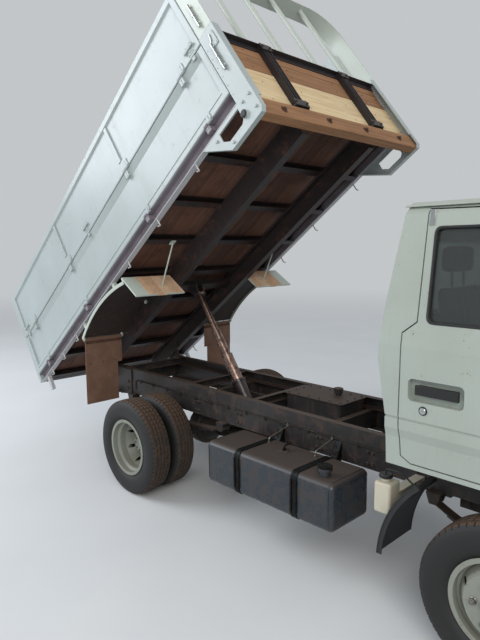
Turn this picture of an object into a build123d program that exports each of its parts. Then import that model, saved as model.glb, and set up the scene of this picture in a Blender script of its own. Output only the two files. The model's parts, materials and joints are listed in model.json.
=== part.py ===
"""Light cab-over tipper truck with its bed raised.

Frame: +X towards the cab, +Y to the truck's left, +Z up, millimetres. The origin is on the
ground, under the middle of the truck's length. While it is modelled, x counts from the rear
axle, and for what is drawn in the frame FRONT (cab, bumper, engine) from the front axle. The
whole truck is shifted once, as it is written.
"""
import math
import os

from build123d import *

os.makedirs("parts", exist_ok=True)

# Wheels and axles
WHEELBASE = 2800.0
TYRE_RADIUS = 368.0
TYRE_WIDTH = 190.0
RIM_WIDTH = 160.0
BEAD_RADIUS = 203.0
RIM_LIP_RADIUS = 218.0
RIM_SHEET = 8.0
SEAT_GAP = 0.3
TWIN_GAP = 35.0
REAR_TYRE_OUTER_Y = 838.0
FRONT_TYRE_OUTER_Y = 802.0
KINGPIN_Y = 610.0
KINGPIN_RADIUS = 14.0
SPINDLE_RADIUS = 22.0
AXLE_STUB_RADIUS = 35.0
RUNNING_GAP = 0.08
SIDE_GAP = 1.0

# Chassis rails and the tipping subframe on them
RAIL_OUTER_Y = 350.0
RAIL_HEIGHT = 150.0
RAIL_FLANGE = 60.0
RAIL_SHEET = 6.0
RAIL_TOP = 750.0
FRAME_REAR_X = -880.0
FRAME_FRONT_X = WHEELBASE + 920.0
SUBFRAME_HEIGHT = 75.0
SUBFRAME_FRONT_X = WHEELBASE - 780.0

# Tipping bed, in its own lowered frame: u forward from its rear end, y left, w up
BED_LENGTH = 3520.0
BED_WIDTH = 1690.0
TIP_ANGLE = 37.2
PIVOT_X = -900.0
PIVOT_Z = 751.0
PIVOT_U = 470.0
PIVOT_RADIUS = 20.0
BED_RAIL_HEIGHT = 150.0
BED_RAIL_WIDTH = 60.0
BED_REST_GAP = 2.0
SILL_HEIGHT = 85.0
FLOOR_THICKNESS = 30.0
CROSS_MEMBER_COUNT = 9
BOARD_THICKNESS = 45.0
LOWER_BOARD_TOP = 490.0
UPPER_BOARD_TOP = 970.0
BOARD_GAP = 8.0
POST_LENGTH = 132.0
WALL_TOP = 500.0
RACK_TOP = 1270.0
RACK_CORNER_RADIUS = 250.0
BRACKET_DROP = 175.0

# Telescopic cylinder, its base pivot and its eye on the bed
RAM_PIVOT_X = 545.0
RAM_PIVOT_Z = 620.0
RAM_EYE_U = 1588.0
RAM_EYE_DROP = 112.0
RAM_RADII = (52.5, 46.0, 36.5, 26.0)
RAM_STROKE = 228.7

# Cab, bumper and engine are drawn in their own frame: its x counts from the front axle
CAB_REAR_X = -543.0
CAB_FRONT_X = 1000.0
CAB_BOTTOM = 876.0
CAB_TOP = 2125.0
CAB_HALF_WIDTH = 820.0
CAB_WALL = 45.0
CAB_PIVOT_X = 890.0
CAB_PIVOT_Z = 690.0
DOOR_GAP = 6.0
DOOR_FRONT_X = 680.0
DOOR_HINGE_GAP = 12.0
GLASS_THICKNESS = 5.0
BUMPER_FRONT_X = 1060.0

# Tanks
TANK_LENGTH = 1030.0
TANK_REAR_X = WHEELBASE - 1900.0
TANK_OUTER_Y = 775.0
TANK_DEPTH = 355.0
TANK_BOTTOM = 360.0
TANK_HEIGHT = 280.0

# Worked out from the sizes above
SUBFRAME_TOP = RAIL_TOP + SUBFRAME_HEIGHT
RAIL_BOTTOM = RAIL_TOP - RAIL_HEIGHT
RAIL_WEB_Y = RAIL_OUTER_Y - RAIL_SHEET
BED_FLOOR_Z = SUBFRAME_TOP + BED_REST_GAP + BED_RAIL_HEIGHT
PIVOT_W = PIVOT_Z - BED_FLOOR_Z
BED_HALF = BED_WIDTH / 2
BOARD_INNER_Y = BED_HALF - BOARD_THICKNESS
REAR_OUTER_Y = REAR_TYRE_OUTER_Y - TYRE_WIDTH / 2
REAR_INNER_Y = REAR_OUTER_Y - TYRE_WIDTH - TWIN_GAP
TWIN_FACE_Y = (REAR_OUTER_Y + REAR_INNER_Y) / 2
FRONT_WHEEL_Y = FRONT_TYRE_OUTER_Y - TYRE_WIDTH / 2
AXLE_Z = TYRE_RADIUS
TIP = math.radians(TIP_ANGLE)
FRONT = Pos(WHEELBASE, 0, 0)
BED = Pos(PIVOT_X, 0, PIVOT_Z) * Rot(0, -TIP_ANGLE, 0) * Pos(-PIVOT_U, 0, -PIVOT_W)

nodes = {}


def box(x0, x1, y0, y1, z0, z1):
    """A box from its low and high corners."""
    return Pos((x0 + x1) / 2, (y0 + y1) / 2, (z0 + z1) / 2) * Box(x1 - x0, y1 - y0, z1 - z0)


def mirrored(shape):
    """The same piece on the truck's other side."""
    return mirror(shape, about=Plane.XZ)


def both(shape):
    """A left piece and its mirror image as one shape."""
    return shape + mirrored(shape)


def outline(points, plane, radii=None):
    """A closed face through 2-D points in a named plane, with its corners rounded."""
    lift = {"XZ": lambda a, b: (a, 0, b), "YZ": lambda a, b: (0, a, b), "XY": lambda a, b: (a, b, 0)}[plane]
    if radii is None:
        wire = Polyline(*[lift(a, b) for a, b in points], close=True)
    else:
        wire = FilletPolyline(*[lift(a, b) for a, b in points], radius=radii, close=True)
    return make_face(wire)


def slab(points, plane, low, high, radii=None):
    """An outline drawn in one plane and extruded between two places on the third axis."""
    direction = {"XZ": (0, 1, 0), "YZ": (1, 0, 0), "XY": (0, 0, 1)}[plane]
    solid = extrude(outline(points, plane, radii), amount=high - low, dir=direction)
    return Pos(*[component * low for component in direction]) * solid


def rod(start, end, radius):
    """A round bar between two points."""
    start, end = Vector(*start), Vector(*end)
    along = end - start
    place = Plane(origin=start, z_dir=along)
    return place * Cylinder(radius, along.length, align=(Align.CENTER, Align.CENTER, Align.MIN))


def tube(start, end, outer, inner):
    """A hollow round bar between two points."""
    return rod(start, end, outer) - rod(start, end, inner)


def turned(profile, centre_y):
    """A ring about an axle: the profile is (radius, offset from centre_y)."""
    face = make_face(Polyline(*[(radius, offset, 0) for radius, offset in profile], close=True))
    return Pos(0, centre_y, 0) * revolve(face, Axis.Y)


def channel(x0, x1, y_web, y_lip, z0, z1, sheet):
    """A C-section along X, with its web at y_web and its flanges reaching to y_lip."""
    inner = y_web + math.copysign(sheet, y_lip - y_web)
    web = box(x0, x1, min(y_web, inner), max(y_web, inner), z0, z1)
    low, high = min(y_web, y_lip), max(y_web, y_lip)
    return web + box(x0, x1, low, high, z0, z0 + sheet) + box(x0, x1, low, high, z1 - sheet, z1)


def cross_channel(x_web, x_lip, half_width, z0, z1, sheet):
    """A C-section across the truck, with its web at x_web."""
    inner = x_web + math.copysign(sheet, x_lip - x_web)
    web = box(min(x_web, inner), max(x_web, inner), -half_width, half_width, z0, z1)
    low, high = min(x_web, x_lip), max(x_web, x_lip)
    lower = box(low, high, -half_width, half_width, z0, z0 + sheet)
    return web + lower + box(low, high, -half_width, half_width, z1 - sheet, z1)


def bed_point(u, w):
    """Where a point of the bed's own frame is while the bed is raised: x and z."""
    du, dw = u - PIVOT_U, w - PIVOT_W
    return (PIVOT_X + du * math.cos(TIP) - dw * math.sin(TIP),
            PIVOT_Z + du * math.sin(TIP) + dw * math.cos(TIP))


# Chassis frame

CROSS_MEMBERS_X = (-840.0, 285.0, 760.0, 1490.0, WHEELBASE - 930.0)
CROSS_MEMBER_FLANGE = 50.0
CROSS_MEMBER_BOTTOM = RAIL_BOTTOM + 20.0
SPRING_Y = RAIL_OUTER_Y
SPRING_WIDTH = 60.0
HANGER_PIN_Z = RAIL_BOTTOM - 40.0
FRONT_SPRING_HALF = 500.0
REAR_SPRING_HALF = 600.0
HANGER_SHEET = 6.0
HANGER_PIN_RADIUS = 10.0


def spring_hanger(x):
    """The inverted U under a rail that holds one spring eye."""
    cheek = SPRING_WIDTH / 2 + 4.0
    outer = cheek + HANGER_SHEET
    top = box(x - 40, x + 40, SPRING_Y - outer, SPRING_Y + outer, RAIL_BOTTOM - 10, RAIL_BOTTOM)
    sides = top
    for low in (SPRING_Y - outer, SPRING_Y + cheek):
        ear = [(x - 40, RAIL_BOTTOM - 10), (x + 40, RAIL_BOTTOM - 10), (x + 22, HANGER_PIN_Z - 24),
               (x - 22, HANGER_PIN_Z - 24)]
        sides += slab(ear, "XZ", low, low + HANGER_SHEET)
    return sides + rod((x, SPRING_Y - outer, HANGER_PIN_Z), (x, SPRING_Y + outer, HANGER_PIN_Z),
                       HANGER_PIN_RADIUS)


def chassis_frame():
    """The two long channels with their spring hangers, tipping brackets, cab rests and tow eyes."""
    frame = channel(FRAME_REAR_X, FRAME_FRONT_X, RAIL_OUTER_Y, RAIL_OUTER_Y - RAIL_FLANGE, RAIL_BOTTOM,
                    RAIL_TOP, RAIL_SHEET)
    for x in (-REAR_SPRING_HALF, REAR_SPRING_HALF, WHEELBASE - FRONT_SPRING_HALF,
              WHEELBASE + FRONT_SPRING_HALF):
        frame += spring_hanger(x)
    frame += tipping_bracket()
    for shape in (cab_rest(), cab_pivot_bracket(), tow_eye()):
        frame += FRONT * shape
    return both(frame)


def cross_members():
    """What joins the two rails: channels, the cylinder's cradle plates and the cab's cross tube."""
    ties = ram_cradle()
    for x in CROSS_MEMBERS_X:
        ties += cross_channel(x, x - CROSS_MEMBER_FLANGE, RAIL_WEB_Y, CROSS_MEMBER_BOTTOM,
                              RAIL_TOP - RAIL_SHEET, RAIL_SHEET)
    end_y = RAIL_WEB_Y - RAIL_SHEET
    return ties + FRONT * tube((CAB_PIVOT_X, -end_y, CAB_PIVOT_Z), (CAB_PIVOT_X, end_y, CAB_PIVOT_Z),
                               CAB_TUBE_RADIUS, CAB_TUBE_RADIUS - 5)


TIP_PLATE = 12.0


def tipping_bracket():
    """The plate on the outside of a rail that holds the bed's pivot pin."""
    back = PIVOT_X - 50
    points = [(-620, SUBFRAME_TOP - 10), (PIVOT_X + 40, SUBFRAME_TOP - 10), (back, PIVOT_Z + 25),
              (back, PIVOT_Z - 45), (-800, RAIL_BOTTOM - 30), (-620, RAIL_BOTTOM - 5)]
    plate = slab(points, "XZ", RAIL_OUTER_Y, RAIL_OUTER_Y + TIP_PLATE)
    hole = rod((PIVOT_X, RAIL_OUTER_Y - 1, PIVOT_Z), (PIVOT_X, RAIL_OUTER_Y + TIP_PLATE + 1, PIVOT_Z),
               PIVOT_RADIUS + RUNNING_GAP)
    return plate - hole


CAB_TUBE_RADIUS = 30.0
CAB_REST_X = -500.0
CAB_REST_Y = 430.0


def cab_rest():
    """The stand on a rail that the back of the cab sits on, with its rubber pad."""
    arm = box(CAB_REST_X - 30, CAB_REST_X + 30, RAIL_WEB_Y, CAB_REST_Y + 40, RAIL_TOP, RAIL_TOP + 20)
    stand = slab([(RAIL_OUTER_Y + 10, RAIL_TOP + 20), (CAB_REST_Y + 40, RAIL_TOP + 20),
                  (CAB_REST_Y + 25, CAB_BOTTOM - 12), (CAB_REST_Y - 25, CAB_BOTTOM - 12)], "YZ",
                 CAB_REST_X - 25, CAB_REST_X + 25)
    pad = rod((CAB_REST_X, CAB_REST_Y, CAB_BOTTOM - 12), (CAB_REST_X, CAB_REST_Y, CAB_BOTTOM - SIDE_GAP), 24)
    return arm + stand + pad


def cab_pivot_bracket():
    """The rail's front end, which carries the tube that the cab tips about."""
    return box(CAB_PIVOT_X - 90, FRAME_FRONT_X - WHEELBASE, RAIL_WEB_Y - RAIL_SHEET, RAIL_WEB_Y, RAIL_BOTTOM,
               RAIL_TOP)


TOW_EYE_X = 912.0
TOW_EYE_Z = 425.0
TOW_EYE_RADIUS = 15.0
TOW_EYE_PLATE = 16.0


def tow_eye():
    """The plate under a rail's front end, with the eye that a tow hook goes in."""
    y = RAIL_OUTER_Y - RAIL_FLANGE / 2
    points = [(TOW_EYE_X - 92, RAIL_BOTTOM), (TOW_EYE_X - 60, TOW_EYE_Z - 10), (TOW_EYE_X - 30, TOW_EYE_Z - 40),
              (TOW_EYE_X + 36, TOW_EYE_Z - 40), (TOW_EYE_X + 42, TOW_EYE_Z + 20), (TOW_EYE_X + 8, RAIL_BOTTOM)]
    plate = slab(points, "XZ", y - TOW_EYE_PLATE / 2, y + TOW_EYE_PLATE / 2)
    return plate - rod((TOW_EYE_X, y - TOW_EYE_PLATE, TOW_EYE_Z), (TOW_EYE_X, y + TOW_EYE_PLATE, TOW_EYE_Z),
                       TOW_EYE_RADIUS)


RAM_CRADLE_Y = 78.0
RAM_TRUNNION_RADIUS = 20.0


def ram_cradle():
    """Two plates between cross members, with the bearings of the cylinder's trunnions."""
    rear = CROSS_MEMBERS_X[1] + SEAT_GAP
    front = CROSS_MEMBERS_X[2] - CROSS_MEMBER_FLANGE - SEAT_GAP
    points = [(rear, RAM_PIVOT_Z - 10), (RAM_PIVOT_X - 60, RAM_PIVOT_Z - 45),
              (RAM_PIVOT_X + 60, RAM_PIVOT_Z - 45), (front, RAM_PIVOT_Z), (front, RAIL_TOP - 20),
              (rear, RAIL_TOP - 20)]
    plate = slab(points, "XZ", RAM_CRADLE_Y, RAM_CRADLE_Y + 14)
    window = box(RAM_PIVOT_X - 150, RAM_PIVOT_X - 60, RAM_CRADLE_Y, RAM_CRADLE_Y + 14, RAM_PIVOT_Z + 10,
                 RAIL_TOP - 45)
    bore = rod((RAM_PIVOT_X, RAM_CRADLE_Y - 1, RAM_PIVOT_Z), (RAM_PIVOT_X, RAM_CRADLE_Y + 30, RAM_PIVOT_Z),
               RAM_TRUNNION_RADIUS + RUNNING_GAP)
    return both(plate - window - bore)


nodes["chassis_frame"] = chassis_frame()
nodes["cross_members"] = cross_members()


# Tipping subframe on the rails

SUBFRAME_RAIL_WIDTH = 48.0
SUBFRAME_CROSS_X = (-760.0, 150.0, 860.0, SUBFRAME_FRONT_X - 60.0)


def tip_subframe():
    """Long channels bolted on the chassis rails, with the cross ties between them."""
    rail = channel(FRAME_REAR_X, SUBFRAME_FRONT_X, RAIL_OUTER_Y, RAIL_OUTER_Y - SUBFRAME_RAIL_WIDTH, RAIL_TOP,
                   SUBFRAME_TOP, 5.0)
    rail += box(SUBFRAME_FRONT_X - 60, SUBFRAME_FRONT_X, RAIL_OUTER_Y - SUBFRAME_RAIL_WIDTH, RAIL_OUTER_Y,
                RAIL_TOP, SUBFRAME_TOP)
    frame = both(rail)
    for x in SUBFRAME_CROSS_X:
        frame += cross_channel(x, x + 40, RAIL_OUTER_Y - 5, RAIL_TOP + 10, SUBFRAME_TOP - 5, 5.0)
    return frame


nodes["tip_subframe"] = tip_subframe()


# Front and rear axles, springs and driveline

def front_axle():
    """The dropped beam between the kingpin bosses."""
    low, high = AXLE_Z - 48, AXLE_Z + 48
    half = [(0, AXLE_Z - 78), (420, AXLE_Z - 78), (KINGPIN_Y - 90, AXLE_Z - 25), (KINGPIN_Y, AXLE_Z - 25),
            (KINGPIN_Y, AXLE_Z + 30), (KINGPIN_Y - 100, AXLE_Z + 30), (435, AXLE_Z - 18), (0, AXLE_Z - 18)]
    beam = slab(half, "YZ", WHEELBASE - 35, WHEELBASE + 35)
    groove_points = [(0, AXLE_Z - 64), (412, AXLE_Z - 64), (427, AXLE_Z - 32), (0, AXLE_Z - 32)]
    for start in (WHEELBASE - 35, WHEELBASE + 10):
        beam -= slab(groove_points, "YZ", start, start + 25)
    beam += rod((WHEELBASE, KINGPIN_Y, low), (WHEELBASE, KINGPIN_Y, high), 38)
    beam += box(WHEELBASE - 60, WHEELBASE + 60, SPRING_Y - 32, SPRING_Y + 32, AXLE_Z - 18, AXLE_Z - 6)
    beam -= rod((WHEELBASE, KINGPIN_Y, low - 1), (WHEELBASE, KINGPIN_Y, high + 1), KINGPIN_RADIUS + RUNNING_GAP)
    return both(beam)


nodes["front_axle"] = front_axle()


def leaf(x, half, end_z, middle_z, thickness, width):
    """One spring leaf: a strip between two arcs that rise from the middle to both ends."""
    low = ThreePointArc((x - half, 0, end_z), (x, 0, middle_z), (x + half, 0, end_z))
    high = ThreePointArc((x + half, 0, end_z + thickness), (x, 0, middle_z + thickness),
                         (x - half, 0, end_z + thickness))
    ends = [Line((x + half, 0, end_z), (x + half, 0, end_z + thickness)),
            Line((x - half, 0, end_z + thickness), (x - half, 0, end_z))]
    face = make_face(Curve() + [low, high] + ends)
    return Pos(0, SPRING_Y - width / 2, 0) * extrude(face, amount=width, dir=(0, 1, 0))


def spring_pack(x, half, seat_z, leaf_count, thickness):
    """A pack of leaves on an axle seat, longest on top, with its eyes and U-bolts."""
    width = SPRING_WIDTH
    main_z = seat_z + leaf_count * thickness
    rise = HANGER_PIN_Z - 22 - main_z
    pack = leaf(x, half, HANGER_PIN_Z - 22, main_z, thickness, width)
    for index in range(1, leaf_count + 1):
        share = 1 - index / (leaf_count + 1.5)
        end_z = main_z - index * thickness + rise * share ** 2
        pack += leaf(x, half * share, end_z, main_z - index * thickness, thickness, width)
    for side in (-1, 1):
        eye_x = x + side * half
        eye = tube((eye_x, SPRING_Y - width / 2, HANGER_PIN_Z), (eye_x, SPRING_Y + width / 2, HANGER_PIN_Z), 22,
                   HANGER_PIN_RADIUS + SEAT_GAP)
        pack += eye
        pack += box(x + side * 45 - 7, x + side * 45 + 7, SPRING_Y - width / 2 - 8, SPRING_Y + width / 2 + 8,
                    seat_z, main_z + thickness + 10)
    return pack


FRONT_SPRING_SEAT = AXLE_Z - 6
REAR_TUBE_RADIUS = 55.0
REAR_SPRING_SEAT = AXLE_Z + REAR_TUBE_RADIUS + 12
nodes["leaf_springs"] = both(spring_pack(WHEELBASE, FRONT_SPRING_HALF, FRONT_SPRING_SEAT, 5, 9.0)
                             + spring_pack(0.0, REAR_SPRING_HALF, REAR_SPRING_SEAT, 6, 10.0))


PINION_FACE_X = 170.0
DRUM_INNER_Y = REAR_INNER_Y - RIM_WIDTH / 2 + 2


def rear_axle():
    """Banjo housing, axle tubes, spring seats, back plates and the stubs inside the hubs."""
    housing = rod((-75, 0, AXLE_Z), (60, 0, AXLE_Z), 160)
    housing = fillet(housing.edges(), 35)
    housing += Plane(origin=(60, 0, AXLE_Z), z_dir=(1, 0, 0)) * Cone(
        120, 55, PINION_FACE_X - 60, align=(Align.CENTER, Align.CENTER, Align.MIN))
    half = rod((0, 0, AXLE_Z), (0, DRUM_INNER_Y - 20, AXLE_Z), REAR_TUBE_RADIUS)
    half += rod((0, DRUM_INNER_Y - 20, AXLE_Z), (0, DRUM_INNER_Y - 6, AXLE_Z), 150)
    half += rod((0, DRUM_INNER_Y - 10, AXLE_Z), (0, TWIN_FACE_Y + 40, AXLE_Z), AXLE_STUB_RADIUS)
    half += box(-70, 70, SPRING_Y - 34, SPRING_Y + 34, AXLE_Z, REAR_SPRING_SEAT)
    return housing + both(half)


nodes["rear_axle"] = rear_axle()


ENGINE_REAR_X = -420.0
ENGINE_FRONT_X = 320.0
ENGINE_HALF_WIDTH = 235.0
GEARBOX_REAR_X = -820.0
GEARBOX_Z = 590.0


def driveline():
    """Bell housing, gearbox and the propeller shaft with its joints."""
    bell_length = 130
    bell = Plane(origin=(ENGINE_REAR_X - bell_length, 0, GEARBOX_Z + 45), z_dir=(1, 0, 0)) * Cone(
        138, 205, bell_length, align=(Align.CENTER, Align.CENTER, Align.MIN))
    points = [(-130, GEARBOX_Z - 110), (130, GEARBOX_Z - 110), (150, GEARBOX_Z + 30), (90, GEARBOX_Z + 120),
              (-90, GEARBOX_Z + 120), (-150, GEARBOX_Z + 30)]
    gearbox = slab(points, "YZ", GEARBOX_REAR_X + 60, ENGINE_REAR_X - bell_length + 30)
    tail = rod((GEARBOX_REAR_X, 0, GEARBOX_Z - 40), (GEARBOX_REAR_X + 75, 0, GEARBOX_Z - 40), 60)
    start = Vector(PINION_FACE_X + 16, 0, AXLE_Z + 2)
    end = Vector(WHEELBASE + GEARBOX_REAR_X, 0, GEARBOX_Z - 40)
    along = (end - start).normalized()
    shaft = rod(start, end + along * 20, 38)
    for joint_at in (start + along * 62, end - along * 45):
        shaft += Plane(origin=joint_at, x_dir=(0, 1, 0), z_dir=along) * Box(104, 84, 90)
    shaft += rod((PINION_FACE_X + SEAT_GAP, 0, AXLE_Z), (PINION_FACE_X + 24, 0, AXLE_Z), 56)
    pump = box(-680, -560, 120, 250, GEARBOX_Z - 45, GEARBOX_Z + 60)
    return FRONT * (bell + gearbox + tail) + shaft + FRONT * pump


nodes["engine_block"] = FRONT * box(ENGINE_REAR_X, ENGINE_FRONT_X, -ENGINE_HALF_WIDTH, ENGINE_HALF_WIDTH,
                                    500, 1110)
nodes["driveline"] = driveline()


# What hangs on the chassis

TANK_EDGE_RADIUS = 38.0
STRAP_X = (TANK_REAR_X + 295.0, TANK_REAR_X + 760.0)
STRAP_WIDTH = 46.0
STRAP_SHEET = 4.0
TANK_INNER_Y = TANK_OUTER_Y - TANK_DEPTH


def fuel_tank():
    """The steel tank with rounded edges, its filler neck and its drain plug."""
    x1 = TANK_REAR_X + TANK_LENGTH
    tank = box(TANK_REAR_X, x1, -TANK_OUTER_Y, -TANK_INNER_Y, TANK_BOTTOM, TANK_BOTTOM + TANK_HEIGHT)
    tank = fillet(tank.edges(), TANK_EDGE_RADIUS)
    top = TANK_BOTTOM + TANK_HEIGHT
    neck_x, neck_y = x1 - 120, -TANK_OUTER_Y + 90
    tank += rod((neck_x, neck_y, top - 5), (neck_x, neck_y, top + 30), 34)
    tank += rod((neck_x, neck_y, top + 30), (neck_x, neck_y, top + 48), 42)
    plug_x = TANK_REAR_X + TANK_LENGTH / 2
    return tank + rod((plug_x, neck_y - 20, TANK_BOTTOM - 12), (plug_x, neck_y - 20, TANK_BOTTOM + 5), 14)


def tank_straps():
    """Two straps round the tank and the L-brackets that carry them on the rail."""
    straps = None
    for x in STRAP_X:
        rings = []
        for grow in (SEAT_GAP, SEAT_GAP + STRAP_SHEET):
            low_y, high_y = -TANK_OUTER_Y - grow, -TANK_INNER_Y + grow
            low_z, high_z = TANK_BOTTOM - grow, TANK_BOTTOM + TANK_HEIGHT + grow
            corners = [(low_y, low_z), (high_y, low_z), (high_y, high_z), (low_y, high_z)]
            rings.append(slab(corners, "YZ", x - STRAP_WIDTH / 2, x + STRAP_WIDTH / 2,
                              radii=TANK_EDGE_RADIUS + grow))
        strap = rings[1] - rings[0]
        for edge in (-STRAP_WIDTH / 2, STRAP_WIDTH / 2 - 10):
            rib = slab([(-TANK_OUTER_Y - 10, TANK_BOTTOM + 45), (-TANK_OUTER_Y - 4, TANK_BOTTOM + 45),
                        (-TANK_OUTER_Y - 4, TANK_BOTTOM + TANK_HEIGHT - 45),
                        (-TANK_OUTER_Y - 10, TANK_BOTTOM + TANK_HEIGHT - 45)], "YZ", x + edge, x + edge + 10)
            strap += rib
        bracket = slab([(-TANK_INNER_Y + 4, TANK_BOTTOM + 40), (-RAIL_OUTER_Y, RAIL_BOTTOM + 10),
                        (-RAIL_OUTER_Y, RAIL_TOP - 30), (-TANK_INNER_Y + 4, TANK_BOTTOM + TANK_HEIGHT - 40)],
                       "YZ", x - STRAP_WIDTH / 2, x + STRAP_WIDTH / 2)
        strap += bracket
        straps = strap if straps is None else straps + strap
    return straps


nodes["fuel_tank"] = fuel_tank()
nodes["tank_straps"] = tank_straps()


OIL_TANK = {"x0": 930.0, "x1": 1430.0, "y0": -10.0, "y1": 280.0, "bottom": 560.0}


def oil_tank():
    """The hydraulic oil box between the rails, with its flat cover, breather and carrying bars."""
    x0, x1, y0, y1, z0 = OIL_TANK.values()
    cover_z = SUBFRAME_TOP - 2
    tank = box(x0, x1, y0, y1, z0, cover_z)
    tank = fillet(tank.edges().filter_by(Axis.Z), 20)
    cover = box(x0 - 12, x1 + 12, y0 - 12, y1 + 12, cover_z, cover_z + 8)
    tank += fillet(cover.edges().filter_by(Axis.Z), 20)
    cap_x, cap_y = x1 - 165, y0 + 195
    tank += rod((cap_x, cap_y, cover_z), (cap_x, cap_y, cover_z + 22), 22)
    tank += rod((cap_x, cap_y, cover_z + 22), (cap_x, cap_y, cover_z + 44), 32)
    for x in (x0 + 60, x1 - 100):
        tank += box(x, x + 40, -RAIL_WEB_Y, RAIL_WEB_Y, RAIL_BOTTOM + RAIL_SHEET, RAIL_BOTTOM + RAIL_SHEET + 12)
    return tank


nodes["oil_tank"] = oil_tank()


def exhaust():
    """Silencer under the left rail with its pipes and its hanger bars."""
    y, z = 215.0, 445.0
    silencer = rod((1360, y, z), (1860, y, z), 82)
    silencer = fillet(silencer.edges(), 18)
    bend_y = ENGINE_HALF_WIDTH + 27
    knee, bend, end = (WHEELBASE - back for back in (740, 500, 240))
    front = rod((1850, y, z), (knee, y, z + 20), 24) + rod((knee, y, z + 20), (bend, bend_y, z + 50), 24)
    front += rod((bend, bend_y, z + 50), (end, bend_y, z + 110), 24)
    front += rod((end - 10, ENGINE_HALF_WIDTH + SEAT_GAP, z + 108), (end - 10, bend_y, z + 108), 22)
    rear = rod((1370, y, z), (1150, y + 20, z), 25) + rod((1150, y + 20, z), (900, 520, z - 25), 25)
    rear += rod((900, 520, z - 25), (860, 640, z - 60), 25)
    pipe = silencer + front + rear
    for x in (CROSS_MEMBERS_X[3] - 25.0, CROSS_MEMBERS_X[4] - 25.0):
        pipe += box(x - 12, x + 12, y - 5, y + 5, z + 70, CROSS_MEMBER_BOTTOM)
    return pipe


nodes["exhaust"] = exhaust()


def battery_box():
    """Battery tray and cover outside the left rail."""
    x0, x1, y0, y1, z0, z1 = 1480, 1900, 430, 740, 420, 660
    cover = fillet(box(x0, x1, y0, y1, z0 + 30, z1).edges(), 14)
    tray = box(x0 - 10, x1 + 10, y0 - 10, y1 + 10, z0, z0 + 45)
    arms = None
    for x in (x0 + 60, x1 - 100):
        arm = slab([(RAIL_OUTER_Y, RAIL_BOTTOM + 10), (y0 + 2, z0), (y0 + 2, z0 + 60),
                    (RAIL_OUTER_Y, RAIL_TOP - 40)], "YZ", x, x + 40)
        arms = arm if arms is None else arms + arm
    for x in (x0 + 120, x1 - 120):
        cover += box(x - 5, x + 5, y0 + 20, y1 - 20, z1 - 2, z1 + 6)
    return cover + tray + arms


nodes["battery_box"] = battery_box()


BUMPER_DEPTH = 100.0
BUMPER_BOTTOM = 450.0
BUMPER_TOP = 670.0
BUMPER_HALF = 820.0
BUMPER_SHEET = 6.0
STEP_REAR_X = 530.0


def front_bumper():
    """Pressed bumper that wraps round to the entry steps, with its lamp openings and arms."""
    x1 = BUMPER_FRONT_X
    plan = [(STEP_REAR_X, -BUMPER_HALF), (x1 - 40, -BUMPER_HALF), (x1, -BUMPER_HALF + 110),
            (x1, BUMPER_HALF - 110), (x1 - 40, BUMPER_HALF), (STEP_REAR_X, BUMPER_HALF)]
    inside = BUMPER_SHEET
    inner = [(STEP_REAR_X - 10, -BUMPER_HALF + inside), (x1 - 44, -BUMPER_HALF + inside),
             (x1 - inside, -BUMPER_HALF + 112), (x1 - inside, BUMPER_HALF - 112),
             (x1 - 44, BUMPER_HALF - inside), (STEP_REAR_X - 10, BUMPER_HALF - inside)]
    skin = slab(plan, "XY", BUMPER_BOTTOM, BUMPER_TOP) - slab(inner, "XY", BUMPER_BOTTOM - 1, BUMPER_TOP + 1)
    lips = slab(plan, "XY", BUMPER_TOP - inside, BUMPER_TOP)
    lips += slab(plan, "XY", BUMPER_BOTTOM, BUMPER_BOTTOM + inside)
    hollow = [(STEP_REAR_X - 10, -BUMPER_HALF + 190), (x1 - BUMPER_DEPTH, -BUMPER_HALF + 190),
              (x1 - BUMPER_DEPTH, BUMPER_HALF - 190), (STEP_REAR_X - 10, BUMPER_HALF - 190)]
    lips -= slab(hollow, "XY", BUMPER_BOTTOM - 1, BUMPER_TOP + 1)
    bumper = skin + lips
    for side in (-1, 1):
        y_out = side * (BUMPER_HALF + 20)
        y_in = side * (BUMPER_HALF - 175)
        well = box(STEP_REAR_X + 60, STEP_REAR_X + 330, min(y_in, y_out), max(y_in, y_out),
                   BUMPER_BOTTOM + 60, BUMPER_TOP + 20)
        bumper -= well
        arm_y = side * (RAIL_WEB_Y - 30)
        arm = box(FRAME_FRONT_X - WHEELBASE, x1 - BUMPER_SHEET, arm_y - 20, arm_y + 20, RAIL_BOTTOM + 5,
                  BUMPER_TOP - 15)
        bumper += arm
        lamp = box(x1 - 30, x1 + 10, side * 600 - 75, side * 600 + 75, 540, 610)
        bumper -= lamp
        stay = [(side * RAIL_OUTER_Y, RAIL_BOTTOM + 20), (side * (BUMPER_HALF - 180), BUMPER_BOTTOM + 6),
                (side * (BUMPER_HALF - 120), BUMPER_BOTTOM + 6), (side * RAIL_OUTER_Y, RAIL_BOTTOM + 80)]
        bumper += slab(stay, "YZ", STEP_REAR_X + 180, STEP_REAR_X + 220)
    return bumper


nodes["front_bumper"] = FRONT * front_bumper()

BUMPER_LAMP_Y = 600.0


def bumper_lamps():
    """Turn lamps in the bumper's openings."""
    x1 = BUMPER_FRONT_X
    gap = SEAT_GAP
    lamp = box(x1 - BUMPER_DEPTH / 2, x1 - 2, BUMPER_LAMP_Y - 75 + gap, BUMPER_LAMP_Y + 75 - gap, 540 + gap,
               610 - gap)
    return both(fillet(lamp.edges().filter_by(Axis.X), 10))


def rear_lamps():
    """The lamp bar under the chassis' rear end, with a tail lamp on each side."""
    x0, z = FRAME_REAR_X - 30, RAIL_BOTTOM - 20
    bar = box(x0, x0 + 30, -540, 540, z - 25, z)
    for side in (-1, 1):
        y = side * (RAIL_WEB_Y - 20)
        bar += box(x0, FRAME_REAR_X + 60, y - 10, y + 10, z - 20, RAIL_BOTTOM)
        bar += fillet(box(x0 - 45, x0, side * 450 - 85, side * 450 + 85, z - 75, z + 15).edges(), 8)
    return bar


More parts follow.
